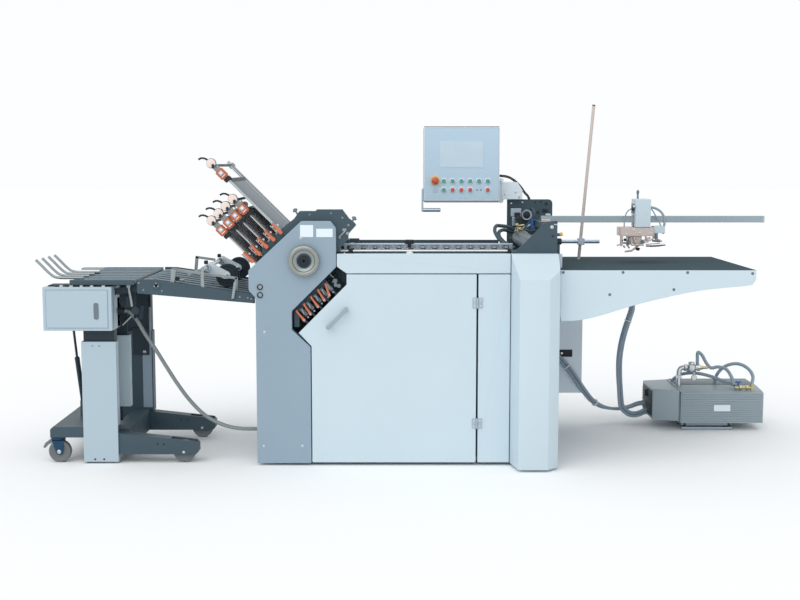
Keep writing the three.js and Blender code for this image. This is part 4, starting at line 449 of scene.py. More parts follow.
GROUPS = {
    "coat": ("powder_coat", 4.0, 0.012, 2.0),
    "brushed": ("brushed_metal", 9.0, 0.10, 4.0),
    "moulded": ("moulded_surface", 14.0, 0.03, 3.0),
}

# Each finish: node group, colour property, roughness, metallic, mottle, grain, stretch, bump, coat.
LOOKS = {
    "white_panel": ("coat", "white", 0.42, 0.0, 0.02, 1100, (1, 1, 1), 0.03, 0.0),
    "box_white": ("coat", "box_white", 0.42, 0.0, 0.02, 1100, (1, 1, 1), 0.03, 0.0),
    "grey_blue_cover": ("coat", "grey_blue", 0.45, 0.0, 0.03, 1100, (1, 1, 1), 0.03, 0.0),
    "dark_frame": ("coat", "dark", 0.48, 0.0, 0.08, 800, (1, 1, 1), 0.05, 0.0),
    "deep_frame": ("coat", "deep", 0.5, 0.0, 0.08, 800, (1, 1, 1), 0.05, 0.0),
    "turned_aluminium": ("brushed", "aluminium", 0.36, 0.75, 0.04, 60, (1, 14, 14), 0.02, 0.0),
    "plate_aluminium": ("brushed", "plate_grey", 0.4, 0.6, 0.04, 60, (8, 1, 8), 0.02, 0.0),
    "bright_steel": ("brushed", "steel", 0.22, 1.0, 0.03, 80, (12, 1, 12), 0.01, 0.0),
    "silver_edge": ("brushed", "silver", 0.3, 0.7, 0.03, 50, (1, 1, 20), 0.01, 0.0),
    "wheel_alloy": ("brushed", "khaki", 0.35, 0.7, 0.03, 90, (1, 12, 1), 0.01, 0.0),
    "motor_grey": ("coat", "pump", 0.45, 0.1, 0.05, 700, (1, 1, 1), 0.05, 0.0),
    "grille_grey": ("coat", "grille", 0.45, 0.1, 0.05, 700, (1, 1, 1), 0.05, 0.0),
    "hood_grey": ("coat", "pump_hood", 0.5, 0.1, 0.05, 700, (1, 1, 1), 0.05, 0.0),
    "cream_plastic": ("moulded", "cream", 0.45, 0.0, 0.03, 500, (1, 1, 1), 0.02, 0.0),
    "lever_orange": ("moulded", "salmon", 0.42, 0.0, 0.05, 500, (1, 1, 1), 0.03, 0.0),
    # A whiter white than white_panel: painted light on shaded parts, and the own white of other white parts.
    "pale_box": ("coat", "pale", 0.42, 0.0, 0.02, 1100, (1, 1, 1), 0.03, 0.0),
    "cable_grey": ("moulded", "cable", 0.45, 0.0, 0.05, 500, (1, 1, 1), 0.02, 0.0),
    "button_ring": ("moulded", "ring_white", 0.35, 0.0, 0.02, 500, (1, 1, 1), 0.01, 0.0),
    "orange_plastic": ("moulded", "orange", 0.42, 0.0, 0.05, 500, (1, 1, 1), 0.03, 0.0),
    "red_plastic": ("moulded", "red", 0.3, 0.0, 0.03, 400, (1, 1, 1), 0.01, 0.3),
    "green_plastic": ("moulded", "green", 0.3, 0.0, 0.03, 400, (1, 1, 1), 0.01, 0.3),
    "yellow_plastic": ("moulded", "yellow", 0.4, 0.0, 0.03, 400, (1, 1, 1), 0.01, 0.0),
    "blue_plastic": ("moulded", "blue", 0.4, 0.0, 0.03, 400, (1, 1, 1), 0.01, 0.0),
    "warm_metal": ("brushed", "copper", 0.34, 0.35, 0.06, 120, (1, 6, 6), 0.02, 0.0),
    "brass": ("brushed", "brass", 0.3, 0.9, 0.05, 150, (1, 1, 6), 0.02, 0.0),
    "black_rubber": ("moulded", "black", 0.6, 0.0, 0.08, 600, (1, 1, 1), 0.05, 0.0),
    "table_top": ("moulded", "table_black_and_reflection", 0.4, 0.0, 0.04, 300, (1, 1, 1), 0.004, 0.0),
    "belt": ("moulded", "belt", 0.55, 0.0, 0.06, 400, (1, 8, 8), 0.04, 0.0),
    "blue_steel": ("coat", "caster_blue", 0.4, 0.4, 0.08, 700, (1, 1, 1), 0.05, 0.0),
    "tyre_grey": ("moulded", "tyre", 0.55, 0.0, 0.06, 500, (1, 1, 1), 0.03, 0.0),
    "hose_grey": ("moulded", "hose", 0.5, 0.0, 0.06, 500, (1, 1, 1), 0.03, 0.0),
    "panel_face": ("moulded", "panel_face", 0.35, 0.0, 0.02, 900, (1, 1, 1), 0.01, 0.0),
    "screen": ("moulded", "screen", 0.08, 0.0, 0.06, 3, (1, 1, 1), 0.0, 0.6),
    "window": ("moulded", "window", 0.3, 0.0, 0.03, 400, (1, 1, 1), 0.0, 0.2),
    "balls": ("moulded", "balls", 0.12, 0.0, 0.03, 300, (1, 1, 1), 0.0, 0.8),
}

# How strongly a finish mirrors, where it isn't the usual half.
SHINE = {
    # The table top mirrors nothing: its reflection is painted into its grey colour.
    "table_top": 0.0,
    "belt": 0.2,
    "hose_grey": 0.3,
    "dark_frame": 0.3,
    "deep_frame": 0.25,
    "black_rubber": 0.25,
}

COLOURS = {
    "white": (198, 215, 224),
    "box_white": (173, 192, 203),
    "grey_blue": (143, 163, 178),
    "dark": (65, 83, 93),
    "deep": (44, 57, 66),
    "aluminium": (184, 190, 192),
    "plate_grey": (150, 158, 160),
    "steel": (196, 200, 202),
    "silver": (172, 186, 198),
    "khaki": (148, 152, 146),
    "pump": (152, 166, 174),
    "pump_hood": (106, 119, 127),
    "grille": (176, 172, 174),
    "cream": (232, 215, 208),
    "orange": (188, 92, 44),
    "salmon": (198, 108, 74),
    # Whiter than the panels' white: painted light that lifts the electrical box and the press arms out of
    # their shade, and the painted highlight on the panel's edge strips; other white parts take it as their
    # own colour.
    "pale": (226, 238, 245),
    "cable": (126, 134, 134),
    "ring_white": (224, 233, 240),
    "red": (200, 80, 74),
    "green": (78, 160, 138),
    "yellow": (230, 190, 80),
    "blue": (40, 90, 150),
    "copper": (202, 188, 182),
    "brass": (186, 176, 138),
    "black": (42, 48, 53),
    # The table top's black, lightened by a painted reflection.
    "table_black_and_reflection": (78, 92, 98),
    "belt": (122, 138, 148),
    "caster_blue": (24, 66, 96),
    "tyre": (104, 110, 114),
    "hose": (145, 161, 174),
    "panel_face": (186, 211, 228),
    "screen": (196, 216, 230),
    "window": (224, 226, 222),
    "balls": (206, 212, 214),
}


def make_look(name, colours):
    """A material of one finish: its group feeds colour, roughness and bump."""
    kind, colour, roughness, metallic, mottle, grain, stretch, bump, coat = LOOKS[name]
    group_name = GROUPS[kind][0]
    group = bpy.data.node_groups.get(group_name) or finish_group(*GROUPS[kind])
    material = bpy.data.materials.new(f"finish_{name}")
    material.use_nodes = True
    tree = material.node_tree
    shader = tree.nodes["Principled BSDF"]
    node = tree.nodes.new("ShaderNodeGroup")
    node.node_tree = group
    node.inputs["Colour"].default_value = (*getattr(colours, colour), 1.0)
    node.inputs["Roughness"].default_value = roughness
    node.inputs["Mottle"].default_value = mottle
    node.inputs["Grain"].default_value = grain
    node.inputs["Stretch"].default_value = stretch
    shader.inputs["Metallic"].default_value = metallic
    shader.inputs["Coat Weight"].default_value = coat
    shader.inputs["Specular IOR Level"].default_value = SHINE.get(name, 0.5)
    wire(tree, node.outputs["Colour"], shader.inputs["Base Color"])
    wire(tree, node.outputs["Roughness"], shader.inputs["Roughness"])
    if bump:
        relief = tree.nodes.new("ShaderNodeBump")
        relief.inputs["Strength"].default_value = bump
        relief.inputs["Distance"].default_value = MM
        wire(tree, node.outputs["Height"], relief.inputs["Height"])
        wire(tree, relief.outputs["Normal"], shader.inputs["Normal"])
    return material


def look(name):
    """The material of that name, made the first time it is asked for."""
    colours = bpy.context.scene.folder_colours
    return bpy.data.materials.get(f"finish_{name}") or make_look(name, colours)


# From meshes to pieces

SHARP = math.radians(34)


def as_object(name, shapes, finish):
    """One object from several skins, in metres about the footprint's middle."""
    points, faces = merged(shapes)
    mesh = bpy.data.meshes.new(name)
    mesh.from_pydata(((points - FOOTPRINT) * MM).tolist(), [], faces)
    mesh.update()
    mesh.shade_smooth()
    mesh.set_sharp_from_angle(angle=SHARP)
    piece = bpy.data.objects.new(name, mesh)
    bpy.context.scene.collection.objects.link(piece)
    mesh.materials.append(look(finish))
    return piece


def add_piece(name, shapes, finish, body=STAND, stands_for=()):
    """A finished piece that rides on a body and may stand for CAD nodes."""
    piece = as_object(name, shapes, finish)
    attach(piece, body)
    if stands_for:
        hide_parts(*stands_for)
    return piece


def metres(point):
    """A point of the machine's frame in the row frame."""
    return tuple(((np.asarray(point, float) - FOOTPRINT) * MM).tolist())


CORD_SIDES = 20
PATH_POINTS = 120


def add_cord(name, line, radius, node, finish="hose_grey", lift=None):
    """A free cord along a line of points, on the stand, or baked in place where it crosses a joint."""
    piece = as_object(name, [tube(line, radius, CORD_SIDES)], finish)
    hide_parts(node)
    if lift:
        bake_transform(piece)
    else:
        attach(piece, STAND)
    path = [metres(point) for point in line[:: max(1, len(line) // PATH_POINTS)]]
    path[-1] = metres(line[-1])
    return piece


# Routes of the free cords, as in the solids

CABLE_ROUTE = [
    (-1225.7, 132, 672), (-1213, 132, 672), (-1192, 132, 655), (-1172, 132, 628),
    (-1135, 132, 563), (-1092, 132, 497), (-1045, 131, 419), (-993, 128, 337),
    (-940, 130, 264), (-881, 130, 204), (-820, 124, 168), (-762, 114, 150),
    (-705, 104, 144), (-660, 100, 144), (-638.3, 100, 144),
]
SUCTION_ROUTE = [
    (640.3, 814, 720), (680, 814, 720), (760, 822, 724), (860, 842, 730), (960, 862, 730),
    (1050, 876, 716), (1118, 882, 686), (1164, 882, 644), (1174, 880, 600), (1160, 880, 548),
    (1142, 880, 492), (1124, 880, 420), (1114, 880, 349), (1112, 880, 290), (1114, 880, 230),
    (1119, 880, 165), (1123, 880, 123.6), (1127.3, 880, 99), (1144.1, 880, 72.7),
    (1170.4, 881, 55.9), (1195, 883, 51.6), (1223, 887, 57), (1240, 888, 64.8),
    (1252, 888, 68), (1261.7, 888, 68),
]
BLOW_ROUTE = [
    (640.3, 814, 420), (672, 814, 420), (714, 814, 408), (762, 815, 380), (807, 816, 345),
    (850, 817, 296), (890, 818, 240), (926, 824, 188), (968, 846, 136), (1018, 880, 98),
    (1068, 912, 78), (1124, 928, 72), (1178, 930, 82), (1222, 930, 98), (1248, 930, 102),
    (1261.7, 930, 102),
]
PANEL_ROUTE = [
    (459, 703, 1264), (468.4, 725.6, 1264.4), (491, 735, 1264.6), (528, 741, 1259), (562, 752, 1240),
    (592, 765, 1211), (614, 776, 1182), (632, 783, 1162), (640, 785.3, 1139), (640, 775.9, 1116.4),
    (640, 753.3, 1107),
]
HOSE_SPACING, PANEL_SPACING = 4.0, 1.5
CABLE_RADIUS, SUCTION_RADIUS, BLOWER_RADIUS, PANEL_CABLE_RADIUS = 8.5, 7.9, 7.8, 3.0

# How far each hose or cable of a bundle runs beside the bundle's middle.
SUCTION_ASIDE, BLOWER_ASIDE, PANEL_ASIDE = 9.3, 8.1, 3.2

# The moving body of a cord that crosses a joint, with its last fixed point and first moving point.
LIFT_BEND = ("lift", (-762, 114, 150), (-1225, 132, 672))
PANEL_BEND = ("panel", (592, 765, 1211), (468, 725, 1264))


def beside(line, distance, turn_start, turn_total):
    """A line that winds slowly round another at a distance from it."""
    _, side, rise = frames_along(line)
    angle = turn_start + np.linspace(0, turn_total, len(line))
    return line + distance * (np.cos(angle)[:, None] * side + np.sin(angle)[:, None] * rise)


def tie_round(line, share, radius):
    """A white cable tie round a bundle."""
    index = int(share * (len(line) - 1))
    ahead = line[min(index + 3, len(line) - 1)] - line[max(index - 3, 0)]
    ring = [(radius - 1, -2.5), (radius + 1.2, -2.5), (radius + 1.2, 2.5), (radius - 1, 2.5)]
    return turned(ring, line[index], ahead, 28)


def build_cords():
    """The delivery's cable, three suction hoses, two blower hoses and two panel cables."""
    cable = smooth_line(CABLE_ROUTE, HOSE_SPACING)
    add_cord("delivery_flex", cable, CABLE_RADIUS, "delivery_cable", "cable_grey", LIFT_BEND)
    suction = smooth_line(SUCTION_ROUTE, HOSE_SPACING)
    for number in range(3):
        line = beside(suction, SUCTION_ASIDE, number * 2 * math.pi / 3, 2.2)
        add_cord(f"suction_hose_{number + 1}", line, SUCTION_RADIUS, "suction_hoses")
    blow = smooth_line(BLOW_ROUTE, HOSE_SPACING)
    for number in range(2):
        line = beside(blow, BLOWER_ASIDE, number * math.pi + 0.6, 2.6)
        add_cord(f"blower_hose_{number + 1}", line, BLOWER_RADIUS, "blower_hoses")
    panel = smooth_line(PANEL_ROUTE, PANEL_SPACING)
    for number in range(2):
        line = beside(panel, PANEL_ASIDE, number * math.pi + 1.2, 0.6)
        add_cord(f"panel_flex_{number + 1}", line, PANEL_CABLE_RADIUS, "panel_cable", "black_rubber",
                 PANEL_BEND)
    ties = [tie_round(suction, share, 19) for share in (0.29, 0.53)]
    ties += [tie_round(blow, share, 17) for share in (0.3, 0.62)]
    add_piece("cable_ties", ties, "window")


# Stand and covers

COVER_OUTLINE = [
    (-628, 10), (-390, 10), (-390, 528), (-471, 603), (-471, 685), (-277, 877), (-277, 1047),
    (-300, 1077), (-427, 1077), (-658, 863), (-658, 776), (-628, 743),
]
DOOR_OUTLINE = [
    (-386, 14), (333, 14), (333, 846), (-232, 846), (-232, 801), (-441, 590), (-441, 588),
    (-386, 531),
]

COVER_THICK = 29.6
RING_RADIUS = 13


def ring_bolt(x, z):
    """A dark collar with a bright slotted bolt in it."""
    radius = RING_RADIUS
    profile = [(radius, 0), (radius, 4), (radius * 0.8, 6), (radius * 0.66, 6), (radius * 0.62, 1)]
    return turned(profile, (x, 0, z), FRONT, 28), screw((x, 0, z), radius * 0.42, height=5)


def build_fold_cover():
    """Grey-blue pan in front of the fold unit, its screws and its two collars."""
    add_piece("fold_cover_skin", [slab(COVER_OUTLINE, 0, COVER_THICK, 3.5, 7)], "grey_blue_cover",
              stands_for=("fold_unit_cover",))
    collars = [ring_bolt(-608, z) for z in (791, 756)]
    add_piece("cover_collars", [pair[0] for pair in collars], "deep_frame")
    spots = [(-590, 594), (-599, 88), (-429, 88), (-429, 1004)]
    screws = [pair[1] for pair in collars] + [screw((x, 0, z), 4.5) for x, z in spots]
    add_piece("cover_screws", screws, "bright_steel")
    plates = blocks((-432, -375, -0.7, 0.6, 1008, 1060, 0.4), (-362, -291, -0.7, 0.6, 1008, 1044, 0.4))
    add_piece("bare_plates", plates, "pale_box")


DOOR_THICK = 22
DOOR_HINGE_X = 337.5
DOOR_HINGE_Z = (189, 721)
DOOR_LEAF = 20
DOOR_LEAF_HALF = 23
GRIP_LOW, GRIP_HIGH = (-315, 615), (-230, 699)


def build_door():
    """White door with its slanting bar handle and two hinges."""
    add_piece("door_skin", [slab(DOOR_OUTLINE, 0, DOOR_THICK, 2.5, 4)], "white_panel", "door",
              stands_for=("access_door",))
    tilt = math.atan2(GRIP_HIGH[1] - GRIP_LOW[1], GRIP_HIGH[0] - GRIP_LOW[0])
    middle_x = (GRIP_LOW[0] + GRIP_HIGH[0]) / 2
    middle_z = (GRIP_LOW[1] + GRIP_HIGH[1]) / 2

    def lay(points):
        across, y, along = points.T
        x = middle_x + along * math.cos(tilt) - across * math.sin(tilt)
        z = middle_z + along * math.sin(tilt) + across * math.cos(tilt)
        return np.stack([x, y, z], 1)

    grip = [slab(oblong(-9, 9, -64, 64), -38, -27, 3.5, 5, turn=lay)]
    grip += [slab(oblong(-8, 8, foot - 9, foot + 9), -30, 0.5, 2, 3, turn=lay) for foot in (-50, 50)]
    add_piece("door_grip", grip, "motor_grey", "door")
    half = DOOR_LEAF_HALF
    for side, body, x0 in ((-1, "door", 315), (1, STAND, 340.5)):
        leaves, screws = [], []
        for z in DOOR_HINGE_Z:
            leaves.append(block(x0, x0 + DOOR_LEAF, -3, 0.5, z - half, z + half, 1))
            low, high = (z + 0.4, z + half) if side < 0 else (z - half, z - 0.4)
            leaves.append(pin((DOOR_HINGE_X, -5, low), (DOOR_HINGE_X, -5, high), 5.2))
            screws += [screw((x0 + DOOR_LEAF / 2, -3, z + step), 3.6, height=2) for step in (-13, 13)]
        add_piece(f"hinge_leaves_{body}", leaves, "silver_edge", body)
        add_piece(f"hinge_screws_{body}", screws, "bright_steel", body)


COLUMN_LEFT, COLUMN_CORNER, COLUMN_RIGHT, COLUMN_SIDE = 483, 510, 637, 686
COLUMN_FRONT, COLUMN_CHAMFER = -128, -79
COLUMN_LEAN, COLUMN_TOP = 833, 935

# The lean stops just short of the covers' front, so that no two corners of the plan meet.
COLUMN_LEAN_DEPTH = 127.6
COLUMN_LEVELS = [10, 10.8, 13, 420, 820, 829, 833, 837, 845, 870, 895, 915, 931, 934, 935]
COLUMN_FOOT_ROUND = {10: 3.0, 10.8: 1.2}


def column_ring(z):
    """The column cover's plan at one height: its front leans back from a bend to the top."""
    lean = max(0.0, z - COLUMN_LEAN) / (COLUMN_TOP - COLUMN_LEAN)
    front = COLUMN_FRONT + lean * COLUMN_LEAN_DEPTH
    left = COLUMN_LEFT + (COLUMN_CORNER - COLUMN_LEFT) * front / COLUMN_FRONT
    past_chamfer = front >= COLUMN_CHAMFER
    right = COLUMN_SIDE - 0.2 if past_chamfer else COLUMN_RIGHT + front - COLUMN_FRONT
    side = front if past_chamfer else COLUMN_CHAMFER
    plan = [(COLUMN_LEFT, COVER_THICK), (COLUMN_LEFT, 0), (left, front), (right, front),
            (COLUMN_SIDE, side + 0.2), (COLUMN_SIDE, COVER_THICK)]
    plan = shrunk(rounded(anticlockwise(plan), 3.5, 3), COLUMN_FOOT_ROUND.get(z, 0.0))
    return np.column_stack([plan, np.full(len(plan), z)])


def build_front_covers():
    """Beam cover, narrow panel and the column cover that leans back at its top."""
    beam = [(-274, 880), (-232, 850), (480, 850), (480, 935), (-274, 935)]
    narrow = oblong(341, 480, 14, 846)
    for name, outline, node in (
            ("beam_skin", beam, "top_beam_cover"), ("narrow_skin", narrow, "narrow_panel")):
        add_piece(name, [slab(outline, 0, COVER_THICK, 2.5, 3)], "white_panel", stands_for=(node,))
    rings = np.array([column_ring(z) for z in COLUMN_LEVELS])
    add_piece("column_skin", [loft(rings)], "white_panel", stands_for=("column_cover",))


def build_drive_cover():
    """Grey-blue cover at the back of the fold unit, with its screws and a vent."""
    rear = 796
    outline = [(-625, 33), (-390, 33), (-390, 528), (-471, 603), (-471, 685), (-277, 877),
               (-277, 1047), (-300, 1077), (-427, 1077), (-625, 863)]
    add_piece("drive_cover_skin", [slab(outline, 620.4, rear, 4, 8)], "grey_blue_cover",
              stands_for=("drive_side_cover",))
    spots = [(-600, 60), (-420, 60), (-600, 430), (-420, 430), (-600, 800), (-320, 1020)]
    screws = [screw((x, rear, z), 5, BACK) for x, z in spots]
    add_piece("drive_cover_screws", screws, "bright_steel")
    levels = [200 + 18 * i for i in range(8)]
    # Dark strips painted as the shade inside the vent's slots.
    slots = [block(-570, -450, rear - 1, rear + 1.5, z, z + 6, 0.8) for z in levels]
    add_piece("drive_cover_vent", slots, "deep_frame")


WHEEL_X, WHEEL_Z = -415.07, 905.8
WHEEL_PARTS = [
    ("wheel_rim", "wheel_alloy", 72,
     [(12, -8), (63, -8), (66.5, -11), (67, -16), (67, -27), (65.5, -31), (61, -33.8), (54, -34),
      (49.5, -32), (46.8, -28), (46.4, -15), (12, -15)]),
    ("wheel_cone", "plate_aluminium", 72,
     [(30, -14.8), (46.2, -14.8), (46.2, -27.4), (45.2, -27.6), (30, -18.6)]),
    ("wheel_collar", "deep_frame", 60,
     [(20, -14.5), (29.6, -14.5), (29.6, -25), (28, -27.6), (23, -28.4), (21, -26)]),
    ("wheel_cap", "black_rubber", 48,
     [(20.6, -14.4), (20.6, -26.2), (19, -28), (13, -28.6), (11, -26.4), (5, -26)]),
    ("main_roller", "bright_steel", 48,
     [(12, -9), (12, 30), (12, 44), (24.3, 45), (25, 46.5), (25, 603), (24.3, 604.6), (12, 605), (12, 660)]),
]


def build_handwheel():
    """Turned handwheel: rim, dished web and black cap, and the main roller behind it."""
    for name, finish, steps, profile in WHEEL_PARTS:
        stands_for = ("handwheel",) if name == "wheel_rim" else ()
        shape = turned(profile, (WHEEL_X, 0, WHEEL_Z), steps=steps)
        add_piece(name, [shape], finish, "handwheel_body", stands_for)


HEAD_OUTLINE = [
    (-600, 34), (-391, 34), (-391, 528), (-470, 603), (-470, 685), (-280, 876), (-276, 940),
    (-232, 990), (-224, 1003), (-224, 1020), (-190, 1058), (-196, 1068), (-222, 1089), (-231, 1102),
    (-249, 1125), (-362, 1125), (-368, 1118), (-437, 1118), (-460, 1086), (-506, 1050), (-600, 956),
]

HEAD_RIGHT, HEAD_TOP = -268, 1080
HOOD_OUTLINE = [
    (-249, 1119), (-249, 1125), (-362, 1125), (-368, 1118), (-437, 1118), (-437, 1112), (-368, 1112),
    (-362, 1119),
]
PLATE_ACROSS = [361 - 44 * number for number in range(5)]


def head_plates():
    """Front and rear side plate, hood, top cover, cross tubes and the two steps at the right."""
    right, top = HEAD_RIGHT, HEAD_TOP
    rear = HEAD_OUTLINE[:6]
    rear += [(right, 930), (right, top - 30), (right - 30, top), (-466, top), (-506, 1050), (-600, 956)]
    plates = [slab(HEAD_OUTLINE, 30, 42), slab(rear, 608, 620), slab(HOOD_OUTLINE, 31, 90, 0.8)]
    plates.append(block(-460, right - 34, 42, 619, top - 8, top - 2, 0.8))
    plates += [pin((x, 40, z), (x, 610, z), 15) for x, z in ((-320, 1040), (-563, 706), (-427, 250))]
    return plates + blocks((-268, -226, 236, 330, 932, 984, 2), (-230, -186, 300, 330, 964, 984, 2))


def head_knob(x, z, lean):
    """A small turned knob on its stem, leaning by the given share."""
    way = np.array([lean, 0, 1.0])
    way /= np.linalg.norm(way)
    middle = np.array([x, 36, z])
    stem = pin(middle - way * 22, middle - way * 4, 4)
    grip = turned([(9, -5), (11, -3.5), (11, 3.5), (9, 5)], middle, way, 16)
    return [stem, grip, turned([(6, 5), (6, 8), (4, 9)], middle, way, 16)]


def build_fold_head():
    """The unit's two dark side plates with their ties, hood and bearing blocks, and its screws."""
    add_piece("head_plates", head_plates(), "dark_frame", stands_for=("fold_unit_frame",))
    roots = [plate_slab(oblong(1000, 1072, -across - 9, -across + 9), 31, 41, 1, 2)
             for across in PLATE_ACROSS]
    roots += blocks((-320, -282, 44, 70, 905, 985, 3), (-320, -282, 550, 600, 905, 985, 3))
    add_piece("head_blocks", roots, "motor_grey")
    bright = [screw((x, 30, z), radius, height=height) for x, z, radius, height in (
        (-224, 1058, 3.2, 3), (-250, 1090, 3, 3), (-244, 1036, 4.4, 4), (-262, 1004, 3.6, 4),
        (-392, 1104, 2.6, 3), (-300, 1110, 2.6, 3))]
    bright += pins(((-266, 27, 1006), (-236, 27, 1034), 3.6), ((-505, 36, 1050), (-497, 36, 1064), 4),
                   ((-540, 36, 1016), (-532, 36, 1030), 4), ((-575, 36, 985), (-566, 36, 996), 4))
    bright.append(block(-250, -232, 25, 31, 1034, 1044, 1))
    bright.append(turned([(7, 0), (8, 1.5), (8, 8), (6, 10)], (-228, 31, 1022), FRONT, 14))
    add_piece("head_screws", bright, "plate_aluminium")
    knobs = head_knob(-455, 1122, -0.6) + head_knob(-199, 1087, 0.7)
    add_piece("head_knobs", knobs, "hood_grey")


# Fold plates

SHORT_END, LONG_END = 1352, 1524
PLATE_FRONT, PLATE_REAR = 42.3, 607.7
PLATE_ROOT = 1020


def plate_bar(across, out, y0, y1, radius):
    """A round bar of the plate from front to back."""
    return plate_pin((out, y0, -across), (out, y1, -across), radius)


def plate_sheet_parts(down, body):
    """The long plate's sheet with its cross bars and edge wires."""
    sheet = plate_slab(oblong(PLATE_ROOT, 1400, down - 2, down + 2), PLATE_FRONT + 11, PLATE_REAR - 70, 0.8)
    bars = [plate_bar(-down, out, PLATE_FRONT + 2, PLATE_REAR - 2, 6) for out in (1404, 1414, 1500)]
    bars += [plate_pin((PLATE_ROOT, y, down - 3), (1500, y, down - 3), 2.6)
             for y in (PLATE_FRONT + 15, PLATE_REAR - 47)]
    add_piece("plate_sheet_1", [sheet], "hood_grey", body)
    add_piece("plate_cross_bars_1", bars, "deep_frame", body)


def plate_grille_parts(number, down, end, grille_end):
    """A short plate's grille rods, wires between them, backing and cross bar."""
    body = f"plate_{number}"
    y0, y1 = PLATE_FRONT + 14, PLATE_REAR - 14
    places = np.linspace(y0 + 10, y1 - 10, 9)
    between = (places[:-1] + places[1:])[::3] / 2
    for name, finish, levels, radius, steps in (
            ("grille", "grille_grey", places, 4.4, 10), ("wires", "plate_aluminium", between, 2.0, 8)):
        rods = [plate_pin((PLATE_ROOT, y, down), (grille_end + 4, y, down), radius, steps) for y in levels]
        add_piece(f"plate_{name}_{number}", rods, finish, body)
    backing = plate_slab(oblong(PLATE_ROOT + 4, grille_end, down + 2.4, down + 4), y0, y1, 0.6)
    add_piece(f"plate_backing_{number}", [backing], "motor_grey", body)
    bar = plate_bar(-down, end - 20, PLATE_FRONT + 2, PLATE_REAR - 2, 6)
    add_piece(f"plate_cross_bars_{number}", [bar], "deep_frame", body)


def counter_parts(number, counter, down):
    """The orange counter: its body, rim, window, strip, clamp and bolts."""
    body = f"plate_{number}"

    def tile(left, right, low, high, *depth):
        return plate_slab(oblong(counter + left, counter + right, down + low, down + high), *depth)

    for name, finish, row in (
            ("counter", "orange_plastic", (-21, 21, -18, 18, 14, 44, 2.5, 5)),
            ("counter_rim", "grille_grey", (-6, 15, -11, 10, 13, 16, 1, 3)),
            ("counter_window", "button_ring", (-1, 10, -7, 5, 12.2, 14, 0.6, 2)),
            ("counter_strip", "cream_plastic", (-14, -10, -10, 10, 13.2, 16, 0.6, 1))):
        add_piece(f"{name}_{number}", [tile(*row)], finish, body)
    clamp = tile(-40, -24, -15, 15, 26, 60, 1.5, 2)
    stud = plate_turned([(5, 0), (5, 10), (3, 12)], (counter - 44, 40, down - 12), (1, 0, 0.4), 14)
    add_piece(f"counter_clamp_{number}", [clamp, stud], "black_rubber", body)
    nut = [(5, 0), (5.5, 1), (5.5, 7), (4, 8)]
    bolts = [plate_turned(nut, (out, PLATE_FRONT - 8, down + drop), BACK, 12)
             for out, drop in ((1112, 11), (1124, -11), (1134, 6.6))]
    bolts.append(plate_pin((1096, 36, down + 14), (1146, 36, down + 14), 3.2))
    add_piece(f"plate_bolts_{number}", bolts, "bright_steel", body)


def build_plate(index, across):
    """One fold plate: rails, grille or sheet, end clamp, counter and clamp blocks."""
    number = index + 1
    long = index == 0
    end = LONG_END if long else SHORT_END
    front_rail, rear_rail = (10, 16) if long else (6, 8)
    body = f"plate_{number}"
    down = -across
    rails = [plate_slab(oblong(1012, end, down - wide / 2, down + wide / 2), y, y + 12, 1.2, 1.5)
             for y, wide in ((PLATE_FRONT, front_rail), (PLATE_REAR - 12, rear_rail))]
    grille_end = 1398 if long else end - 84
    if long:
        rails += [plate_pin((PLATE_ROOT, PLATE_REAR - inset, down), (1500, PLATE_REAR - inset, down), 5)
                  for inset in (32, 62)]
    for out in ([1016] if long else [1016, grille_end]):
        tie = oblong(out, out + 12, down - 5, down + 5)
        rails.append(plate_slab(tie, PLATE_FRONT + 6, PLATE_REAR - 6, 1, 1.5))
    add_piece(f"plate_rails_{number}", rails, "turned_aluminium", body, (f"fold_plate_{number}",))
    if long:
        plate_sheet_parts(down, body)
    else:
        plate_grille_parts(number, down, end, grille_end)
    tip = end - 28.5
    counter = 1449 if long else 1279
    carrier = plate_slab(oblong(counter - 34, tip + 8, down - 13, down + 13), 30, PLATE_FRONT, 1.5, 3)
    cap = plate_turned([(15, 0), (15, 8), (13.5, 10), (6, 10)], (tip, PLATE_REAR - 2, down), BACK, 24)
    add_piece(f"plate_carrier_{number}", [carrier, cap], "plate_aluminium", body)
    counter_parts(number, counter, down)


KNOB_THROW = 13

KNOB_DISC = [(17, 9.5), (19.6, 10.5), (20.5, 13), (20.5, 23), (19.6, 25.5), (10, 26)]
KNOB_RIM = [(19, 20), (21.4, 20), (21.8, 22), (21.8, 27), (19, 28)]
KNOB_HUB = [(3, 6.5), (5.5, 7), (7, 10), (7, 12)]


def build_knob(index, across):
    """Cream eccentric knob with a dark hub pin and a curved black finger."""
    number = index + 1
    end = LONG_END if index == 0 else SHORT_END
    axis_out = end - 24.5
    x, z = axis_out + KNOB_THROW, -across
    for name, profile, steps, finish in (
            ("disc", KNOB_DISC, 10, "cream_plastic"), ("rim", KNOB_RIM, 28, "black_rubber")):
        shape = plate_turned(profile, (x, 0, z), BACK, steps)
        add_piece(f"knob_{name}_{number}", [shape], finish, f"plate_{number}")
    sweep = [(8, 4), (16, 1), (28, 3), (39, 8), (47, 16), (51, 28)]
    tail_sweep = [(-13, 1), (-17, 6), (-19, 11)]
    finger = strap(smooth_line([(x + a, 29, z + b) for a, b in sweep], 2.0), 8, 9, out_along_plates)
    tail = strap(smooth_line([(x + a, 8.2, z + b) for a, b in tail_sweep], 2.0), 8, 3, out_along_plates)
    hub = plate_turned(KNOB_HUB, (axis_out, 0, z), BACK, 18)
    add_piece(f"knob_finger_{number}", [finger, hub, tail], "black_rubber", f"knob_{number}",
              (f"plate_knob_{number}",))


LEVER_OUTLINE = [
    (-8, -5), (-4, -8.5), (5, -8.5), (12, -6.5), (44, -4.6), (48, -7.2), (53, -7.6), (54, -6), (54, 4),
    (52, 5), (12, 6.5), (5, 8.5), (-4, 8.5), (-8, 5),
]
LEVER_OUT = 1092


